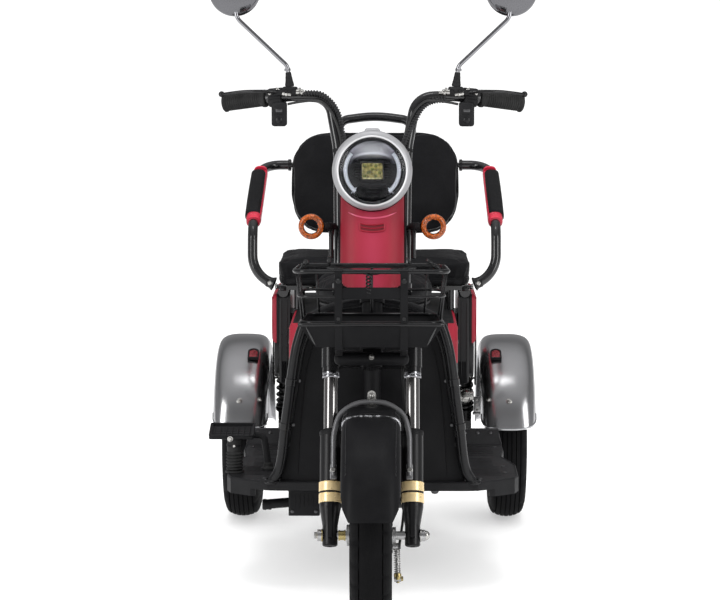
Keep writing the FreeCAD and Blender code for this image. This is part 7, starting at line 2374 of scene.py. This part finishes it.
# joint between the red cladding and the black tub
for sx in (1, -1):
    pl = [P(sx * (BODY_X + 0.3), u, 429.8) for u in (575.0, 650.0, 760.0, 860.0, 960.0, 1060.0, 1138.0)]
    strip(g, resample(pl, 0.02), 0.0012, 1)
    # pressed line along the upper flank
    pl = spline([P(sx * (BODY_X + 0.2), 590.0, 498.0), P(sx * (BODY_X + 0.2), 680.0, 494.0), P(sx * (BODY_X + 0.2), 780.0, 478.0)], 10)
    strip(g, pl, 0.0015, 0)
    # side hatch with its latch, on the red flank ahead of the panels
    hat = [Vector((0, p.x, p.y)) for p in rect_ring(0, 0, mm(52.0), mm(27.0), mm(12.0), 0, 72)]
    hp = [P(sx * (BODY_X + 0.25), 690.0, 448.0) + v for v in hat]
    sweep(g, hp, 0.0010, 8, 1, closed=True)
    lathe(g, P(sx * BODY_X, 732.0, 448.0), X * sx, [(0, 6.4), (1.6, 6.2), (2.0, 5.0), (2.2, 0.01)], 28, 2, closed=False)
    for u_, z_ in ((600.0, 300.0), (700.0, 300.0), (600.0, 390.0), (760.0, 390.0), (600.0, 470.0), (770.0, 250.0)):
        screw_head(g, P(sx * BODY_X, u_, z_), X * sx, 4.4, 2.0, 2)
    # louvres low on the flank
    for k in range(6):
        strip(g, [P(sx * (BODY_X + 0.3), 640.0 + 14.0 * k, 330.0), P(sx * (BODY_X + 0.5), 646.0 + 14.0 * k, 350.0), P(sx * (BODY_X + 0.3), 652.0 + 14.0 * k, 370.0)], 0.0019, 1)
# front face of the tub: a framed panel
fr = []
for p in rect_ring(0, 0, mm(120.0), mm(96.0), mm(18.0), 0, 120):
    x, z = p.x * 1000.0, 372.0 + p.y * 1000.0
    loc, nor = ray_y("seat_body", x, z, -1)
    if loc is not None:
        fr.append(loc - Vector((0, 0.0003, 0)))
if len(fr) > 60:
    sweep(g, fr, 0.0014, 8, 1, closed=True)
# rear face: lid joint, screws and lock
rl = []
for k in range(31):
    x = -160.0 + 320.0 * k / 30.0
    loc, nor = ray_y("seat_body", x, 429.8, 1)
    if loc is not None:
        rl.append(loc + Vector((0, 0.0002, 0)))
if len(rl) > 6:
    strip(g, rl, 0.0012, 1)
for x, z in ((-120.0, 380.0), (120.0, 380.0), (-120.0, 490.0), (120.0, 490.0)):
    loc, nor = ray_y("seat_body", x, z, 1)
    if loc is not None:
        screw_head(g, loc, BACK, 4.6, 2.2, 2)
loc, nor = ray_y("seat_body", 0.0, 490.0, 1)
if loc is not None:
    lathe(g, loc, BACK, [(-0.5, 12.0), (1.2, 11.6), (1.8, 9.6), (2.4, 8.6), (2.4, 3.0), (1.4, 2.6), (1.4, 0.01)], 36, 3, closed=False)
make("seat_body_trim", g, ["body_two_tone", "black_plastic", "dark_steel", "bright_steel"], "root", sharp=40)

# side panels: raised field, screws; red covers: raised lip and a seam
g = Geo()
for sx in (1, -1):
    xo = 209.5
    fld = spline([P(sx * (xo + 0.3), 812.0, 366.0), P(sx * (xo + 0.3), 808.0, 402.0), P(sx * (xo + 0.3), 812.0, 426.0)], 6)
    strip(g, fld, 0.0012, 0)
    strip(g, [P(sx * (xo + 0.3), 880.0, 362.0), P(sx * (xo + 0.3), 936.0, 388.0), P(sx * (xo + 0.3), 986.0, 446.0), P(sx * (xo + 0.3), 1044.0, 476.0)], 0.0012, 0)
    for u_, z_ in ((826.0, 372.0), (888.0, 366.0), (826.0, 424.0), (948.0, 404.0)):
        screw_head(g, P(sx * xo, u_, z_), X * sx, 4.2, 2.0, 2)
    cl = spline([P(sx * 224.3, u, z) for u, z in ((818, 452), (816, 532), (826, 539), (1022, 539), (1030, 530), (1030, 487), (1018, 482), (900, 448))], 8, closed=True)
    sweep(g, cl, 0.0013, 8, 1, closed=True)
    for u_, z_ in ((836.0, 526.0), (1012.0, 526.0), (846.0, 462.0), (1006.0, 494.0)):
        screw_head(g, P(sx * 224.0, u_, z_), X * sx, 4.0, 1.8, 2)
    # front edge of the black column: rounded head and a vertical bead
    for dx in (192.0, 204.0):
        ln = []
        for k in range(24):
            z = 362.0 + (540.0 - 362.0) * k / 23.0
            loc, nor = ray_y("side_panels", sx * dx, z, -1)
            if loc is not None:
                ln.append(loc - Vector((0, 0.0002, 0)))
        if len(ln) > 5:
            strip(g, ln, 0.0011, 0)
# raised lower field of each black panel, seen below the red cover
for sx in (1, -1):
    of_ = [(806.0, 404.0), (812.0, 372.0), (826.0, 362.0), (888.0, 362.0), (926.0, 384.0), (960.0, 420.0), (972.0, 452.0), (940.0, 456.0), (812.0, 452.0)]
    cx_ = sum(p[0] for p in of_) / len(of_)
    cz_ = sum(p[1] for p in of_) / len(of_)
    vs, m_ = [], len(of_)
    for x_, k_ in ((208.0, 1.0), (217.0, 1.0), (219.2, 0.985), (220.4, 0.95)):
        vs += [P(sx * x_, cx_ + (u - cx_) * k_, cz_ + (z - cz_) * k_) for u, z in of_]
    fs = [list(range(m_)), [3 * m_ + i for i in range(m_)]]
    for q in range(3):
        for i in range(m_):
            j = (i + 1) % m_
            fs.append([q * m_ + i, q * m_ + j, (q + 1) * m_ + j, (q + 1) * m_ + i])
    g.add(vs, fs, 0)
make("side_panel_trim", g, ["black_gloss", "red", "dark_steel"], "root", sharp=40)

# liner plates between the body and the mudguards
g = Geo()
for sx in (1, -1):
    lp0 = [(1006, 318), (980, 352), (968, 396), (974, 430), (990, 446), (1010, 452), (1018, 440), (1022, 380), (1024, 318)]
    xa, xb = sx * 229.0, sx * 231.4
    n_ = len(lp0)
    vs = [P(xa, u, z) for u, z in lp0] + [P(xb, u, z) for u, z in lp0]
    fs = [[k for k in range(n_)], [n_ + k for k in range(n_)][::-1]]
    for k in range(n_):
        k2 = (k + 1) % n_
        fs.append([k, n_ + k, n_ + k2, k2])
    g.add(vs, fs, 0, smooth=False)
    sweep(g, [P(sx * 230.2, u, z) for u, z in lp0], 0.0017, 8, 0, closed=True)
    # strap that ties the plate to the shock tower
    rbox(g, P(sx * 218.0, 1014.0, 332.0), (26.0, 14.0, 3.0), 0.8, 1, 0)
    hexbolt(g, P(sx * 219.0, 1014.0, 333.6), UP, 8.0, 3.4, 1, washer=(6.0, 0.9))
make("fender_liners", g, ["black_gloss", "bright_steel"], "root", sharp=38)

# differences on the driven side: cast bracket, bushing, parking lever, small box
g = Geo()
rbox(g, P(236.0, 1000.0, 271.0), (19.0, 6.0, 40.0), 1.6, 2, 0)
rbox(g, P(236.0, 998.0, 252.5), (23.0, 9.0, 6.0), 1.4, 2, 0)
for dz in (-10.0, 2.0, 12.0):
    hexbolt(g, P(235.0, 996.8, 271.0 + dz), FRONT, 5.4, 2.2, 1)
lathe(g, P(190.0, 1003.0, 293.0), X, [(0, 0.01), (0, 9.6), (1.2, 11.4), (6.0, 11.8), (7.0, 10.0), (9.0, 10.0), (10.0, 14.2), (13.0, 14.9), (25.0, 14.9),
                                     (27.6, 14.0), (28.4, 11.0), (36.0, 10.8), (37.0, 9.6), (37.0, 0.01)], 48, 1, closed=False)
for k in range(10):
    t = 2 * math.pi * k / 10
    rbox(g, P(209.0, 1003.0 + 14.8 * math.cos(t), 293.0 + 14.8 * math.sin(t)), (9.0, 2.2, 2.2), 0.5, 1, 1, rot=Matrix.Rotation(t, 3, "X"))
rbox(g, P(197.0, 992.0, 331.0), (15.0, 10.0, 24.0), 2.0, 2, 2)
rbox(g, P(208.5, 992.0, 343.0), (7.0, 5.0, 16.0), 1.0, 1, 3, rot=Matrix.Rotation(math.radians(-14.0), 3, "Y"))
for k in range(5):
    rbox(g, P(213.0 - 0.6 * k, 990.5, 336.0 + 3.2 * k), (3.0, 4.0, 1.5), 0.4, 1, 3)
make("driven_side_brackets", g, ["satin", "bright_steel", "black_plastic", "dark_steel"], "root", sharp=38)

# ------------------------------------------------------------------- shocks
g = Geo()
SHOCK_Z0 = 180.0
for sx in (1, -1):
    a = P(sx * 212.0, 1080.0, SHOCK_Z0 + 44.0)
    b = P(sx * 207.0, 1013.0, 412.0)
    d = (b - a)
    L = d.length * 1000.0
    dn = d.normalized()
    lathe(g, a, dn, [(2.0, 0.01), (2.0, 12.6), (8.0, 12.9), (27.0, 12.9), (28.0, 18.6), (31.0, 19.0), (33.5, 18.6), (34.0, 12.0),
                     (L * 0.56, 12.0), (L * 0.56 + 1.0, 11.0), (L * 0.56 + 1.5, 5.6), (L - 40.0, 5.6)], 48, 0, closed=False)
    lathe(g, a, dn, [(L - 36.0, 5.6), (L - 36.0, 17.6), (L - 34.5, 18.8), (L - 31.0, 18.8), (L - 29.0, 14.0), (L - 14.0, 11.6), (L - 9.0, 8.0), (L - 9.0, 0.01)], 48, 2, closed=False)
    helix(a + dn * mm(33.5), a + dn * mm(L - 36.5), 0.0152, 8.6, 22, 0.0031, 12, g, 1)
make("rear_shock_springs", g, ["black_gloss", "spring", "black_plastic"], "root", ["rear_shocks"], sharp=38)

# motor: cooling fins, cover bolts, cable gland; axle flange bolts
g = Geo()
mc = P(-62.0, 962.0, SHOCK_Z0 + 12.0)
for k in range(9):
    x0 = 14.0 + 9.6 * k
    lathe(g, mc, X, [(x0 - 1.4, 57.8), (x0 - 1.2, 60.6), (x0 + 1.2, 60.6), (x0 + 1.4, 57.8)], 72, 0, closed=False)
for k in range(6):
    t = 2 * math.pi * k / 6 + 0.2
    hexbolt(g, P(-62.0, 962.0 + 46.0 * math.cos(t), SHOCK_Z0 + 12.0 + 46.0 * math.sin(t)), -X, 7.0, 3.2, 1, washer=(5.2, 0.8))
lathe(g, mc, -X, [(0, 0.01), (0, 26.0), (2.4, 25.0), (3.0, 18.0), (3.0, 7.0), (1.6, 6.0), (1.6, 0.01)], 48, 0, closed=False)
for sx in (1, -1):
    for k in range(5):
        t = 2 * math.pi * k / 5 + 0.3
        hexbolt(g, P(sx * 256.0, 1080.0 + 35.0 * math.cos(t), SHOCK_Z0 + 35.0 * math.sin(t)), -X * sx, 8.0, 3.6, 1, washer=(6.2, 0.9))
for k in range(8):
    t = 2 * math.pi * k / 8
    hexbolt(g, P(40.0, 1080.0 + 52.0 * math.cos(t), SHOCK_Z0 + 52.0 * math.sin(t)), X, 7.0, 3.4, 1, washer=(5.6, 0.8))
lathe(g, P(-15.0, 1142.0, SHOCK_Z0 + 4.0), BACK, [(-2.0, 0.01), (-2.0, 10.5), (1.0, 10.5), (1.4, 8.0), (5.0, 7.4), (5.4, 0.01)], 6, 1, closed=False)
make("drive_details", g, ["dark_steel", "bright_steel"], "root", sharp=35)

# control box: lid seam, screws, glands
g = Geo()
rb = []
for (x, u) in ((-171.8, 372.2), (-108.2, 372.2), (-108.2, 441.8), (-171.8, 441.8)):
    rb.append(P(x, u, 192.0))
lp2 = []
for i in range(4):
    a_, b_ = rb[i], rb[(i + 1) % 4]
    for j in range(8):
        lp2.append(a_ + (b_ - a_) * (0.08 + 0.84 * j / 7.0))
sweep(g, lp2, 0.0013, 8, 0, closed=True)
for x in (-164.0, -116.0):
    screw_head(g, P(x, 372.0, 199.0), FRONT, 3.6, 1.8, 1)
    screw_head(g, P(x, 372.0, 150.0), FRONT, 3.6, 1.8, 1)
for k in range(5):
    strip(g, [P(-158.0 + 9.0 * k, 371.8, 158.0), P(-158.0 + 9.0 * k, 371.6, 172.0), P(-158.0 + 9.0 * k, 371.8, 186.0)], 0.0013, 0)
lathe(g, P(-222.0, 408.0, 157.2), X, [(-5.0, 0.01), (-5.0, 9.0), (-3.0, 11.4), (3.0, 11.4), (4.0, 10.2), (12.0, 10.9), (14.0, 10.0)], 28, 0, closed=False)
make("control_box_details", g, ["black_plastic", "dark_steel"], "root", sharp=40)

# armrest feet: flared fork bracket, peg head and washers; pivot caps
for side, sx in (("left", 1.0), ("right", -1.0)):
    g = Geo()
    e0, e1 = P(sx * 268.0, 812.0, 590.0), P(sx * 224.5, 806.0, 572.5)
    dd = (e1 - e0).normalized()
    lathe(g, e1, dd, [(-12.0, 10.9), (-11.0, 12.0), (-4.0, 12.0), (-1.0, 12.9), (3.0, 15.4), (4.6, 15.6), (5.0, 14.4), (3.0, 11.0), (1.0, 9.6), (1.0, 0.01)], 40, 0, closed=False)
    hexbolt(g, e1 - dd * 0.004 + Vector((0, -mm(11.0), 0)), FRONT, 7.0, 3.0, 1, washer=(5.4, 0.8))
    pv = P(sx * 214.0, 1160.0, 812.0)
    lathe(g, P(sx * 197.0, 1160.0, 812.0), X * sx, [(-1.0, 11.0), (-1.0, 13.6), (5.0, 13.6), (6.0, 12.6), (6.0, 11.0)], 40, 0, closed=False)
    make("armrest_foot_" + side, g, ["black_paint", "bright_steel"], "armrest_" + side, sharp=38)
g = Geo()
for sx in (1, -1):
    lathe(g, P(sx * 217.2, 806.0, 565.0), X * sx, [(-4.0, 0.01), (-4.0, 5.0), (-3.0, 7.2), (-0.5, 7.2), (0.5, 5.6), (1.0, 0.01)], 24, 0, closed=False)
    rbox(g, P(sx * 200.0, 806.0, 561.0), (14.0, 16.0, 10.0), 2.0, 2, 1)
    # cushion pan lip
    strip(g, [P(sx * 150.0, 797.5, 563.0), P(0, 797.0, 563.0)], 0.0016, 1)
    for x_ in (60.0, 140.0):
        hexbolt(g, P(sx * x_, 799.6, 562.6), FRONT, 6.0, 2.4, 0)
make("bench_pan_details", g, ["bright_steel", "black_paint"], "root", sharp=38)

# saddle post: bolts, rubber stops
g = Geo()
for x in (-26.0, 26.0):
    for du in (-26.0, 26.0):
        hexbolt(g, P(x, 610.0 + du, BODY_TOP + 5.0), UP, 8.0, 3.4, 0, washer=(6.0, 0.9))
for x in (-46.0, 46.0):
    for u_ in (556.0, 672.0):
        lathe(g, P(x, u_, BODY_TOP + 0.2), UP, [(0, 0.01), (0, 11.0), (6.0, 10.4), (8.0, 11.2), (16.0, 10.0), (22.0, 9.4), (29.6, 9.0), (29.6, 0.01)], 28, 1, closed=False)
make("saddle_stops", g, ["bright_steel", "grip_rubber"], "root", sharp=35)


# ------------------------------------------------------------- stage and view
def area(name, loc, target, size_x, size_y, power, color=(1, 1, 1)):
    l = bpy.data.lights.new(name, "AREA")
    l.shape = "RECTANGLE"
    l.size, l.size_y = size_x, size_y
    l.energy = power
    l.color = color
    o = bpy.data.objects.new(name, l)
    o.location = loc
    o.rotation_mode = "QUATERNION"
    o.rotation_quaternion = (Vector(target) - Vector(loc)).to_track_quat("-Z", "Y")
    bpy.context.scene.collection.objects.link(o)
    return o


me_ = bpy.data.meshes.new("floor")
s_ = 60.0
me_.from_pydata([(-s_, -s_, 0), (s_, -s_, 0), (s_, s_, 0), (-s_, s_, 0)], [], [(0, 1, 2, 3)])
floor = bpy.data.objects.new("floor", me_)
bpy.context.scene.collection.objects.link(floor)
fm, fnt, fb_ = new_mat("mat_floor")
fb_.inputs["Roughness"].default_value = 0.9
fb_.inputs["Specular IOR Level"].default_value = 0.05
flp = fnt.nodes.new("ShaderNodeLightPath")
fcol = mix_col(fnt, noise_tex(fnt, 3.0, 4.0), (0.60, 0.60, 0.60), (0.62, 0.62, 0.62))
fnt.links.new(mix_col(fnt, flp.outputs["Is Glossy Ray"], fcol, (0.30, 0.30, 0.305)),
              fb_.inputs["Base Color"])
fb_.inputs["Emission Color"].default_value = (1, 1, 1, 1)
fb_.inputs["Emission Strength"].default_value = 0.42
floor.data.materials.append(fm)
floor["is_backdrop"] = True

w_ = bpy.data.worlds.new("studio")
bpy.context.scene.world = w_
w_.use_nodes = True
wnt = w_.node_tree
wnt.nodes.clear()
wout = wnt.nodes.new("ShaderNodeOutputWorld")
lp = wnt.nodes.new("ShaderNodeLightPath")
bg_soft = wnt.nodes.new("ShaderNodeBackground")
bg_soft.inputs["Color"].default_value = (1, 1, 1, 1)
bg_soft.inputs["Strength"].default_value = 1.25
bg_gloss = wnt.nodes.new("ShaderNodeBackground")
tc = wnt.nodes.new("ShaderNodeTexCoord")
sep = wnt.nodes.new("ShaderNodeSeparateXYZ")
wnt.links.new(tc.outputs["Generated"], sep.inputs["Vector"])
ramp = wnt.nodes.new("ShaderNodeValToRGB")
mr = wnt.nodes.new("ShaderNodeMapRange")
mr.inputs["From Min"].default_value = -1.0
mr.inputs["From Max"].default_value = 1.0
wnt.links.new(sep.outputs["Z"], mr.inputs["Value"])
wnt.links.new(mr.outputs["Result"], ramp.inputs["Fac"])
cr = ramp.color_ramp
cr.elements[0].position = 0.0
cr.elements[0].color = (0.35, 0.35, 0.35, 1)
cr.elements[1].position = 1.0
cr.elements[1].color = (0.55, 0.55, 0.56, 1)
for pos, val in ((0.46, 0.24), (0.53, 0.25), (0.62, 0.26), (0.80, 0.16)):
    e_ = cr.elements.new(pos)
    e_.color = (val, val, val * 1.02, 1)
wnt.links.new(ramp.outputs["Color"], bg_gloss.inputs["Color"])
bg_gloss.inputs["Strength"].default_value = 1.0
mx = wnt.nodes.new("ShaderNodeMixShader")
wnt.links.new(lp.outputs["Is Glossy Ray"], mx.inputs["Fac"])
wnt.links.new(bg_soft.outputs["Background"], mx.inputs[1])
wnt.links.new(bg_gloss.outputs["Background"], mx.inputs[2])
wnt.links.new(mx.outputs["Shader"], wout.inputs["Surface"])

area("key_left", (-3.6, -3.2, 2.2), (0, 0, 0.7), 1.7, 3.4, 75)
area("key_right", (3.6, -3.2, 2.2), (0, 0, 0.7), 1.7, 3.4, 65)
top_l = area("top", (0, -0.6, 4.2), (0, 0, 0.4), 2.6, 2.2, 120)
top_l.visible_glossy = False
rim_l = area("rim_back", (0, 3.8, 3.0), (0, 0, 0.6), 3.0, 1.0, 45)
rim_l.visible_glossy = False
# small overhead window that only shows as a glint on the bright parts
glint = area("glint", (0, -0.8, 4.2), (0, -0.8, 0.0), 1.0, 0.6, 7)
glint.visible_diffuse = False

cam_d = bpy.data.cameras.new("camera")
cam = bpy.data.objects.new("camera", cam_d)
bpy.context.scene.collection.objects.link(cam)
bpy.context.scene.camera = cam
cam_d.sensor_width = 36.0
cam_d.lens = 2426.0 / 720.0 * 36.0
cam_d.clip_start, cam_d.clip_end = 0.05, 200.0
D_, H_, PITCH, YAW, XC = 4500.0, 1140.0, math.radians(6.5), math.radians(0.70), 33.7
cam.location = P(XC, -D_, H_)
cam.rotation_mode = "XYZ"
cam.rotation_euler = (math.radians(90.0) - PITCH, 0.0, YAW)

sc = bpy.context.scene
sc.view_settings.view_transform = "Standard"
sc.view_settings.look = "None"
sc.view_settings.exposure = 0.0
sc.view_settings.gamma = 1.0

lo_, hi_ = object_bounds()
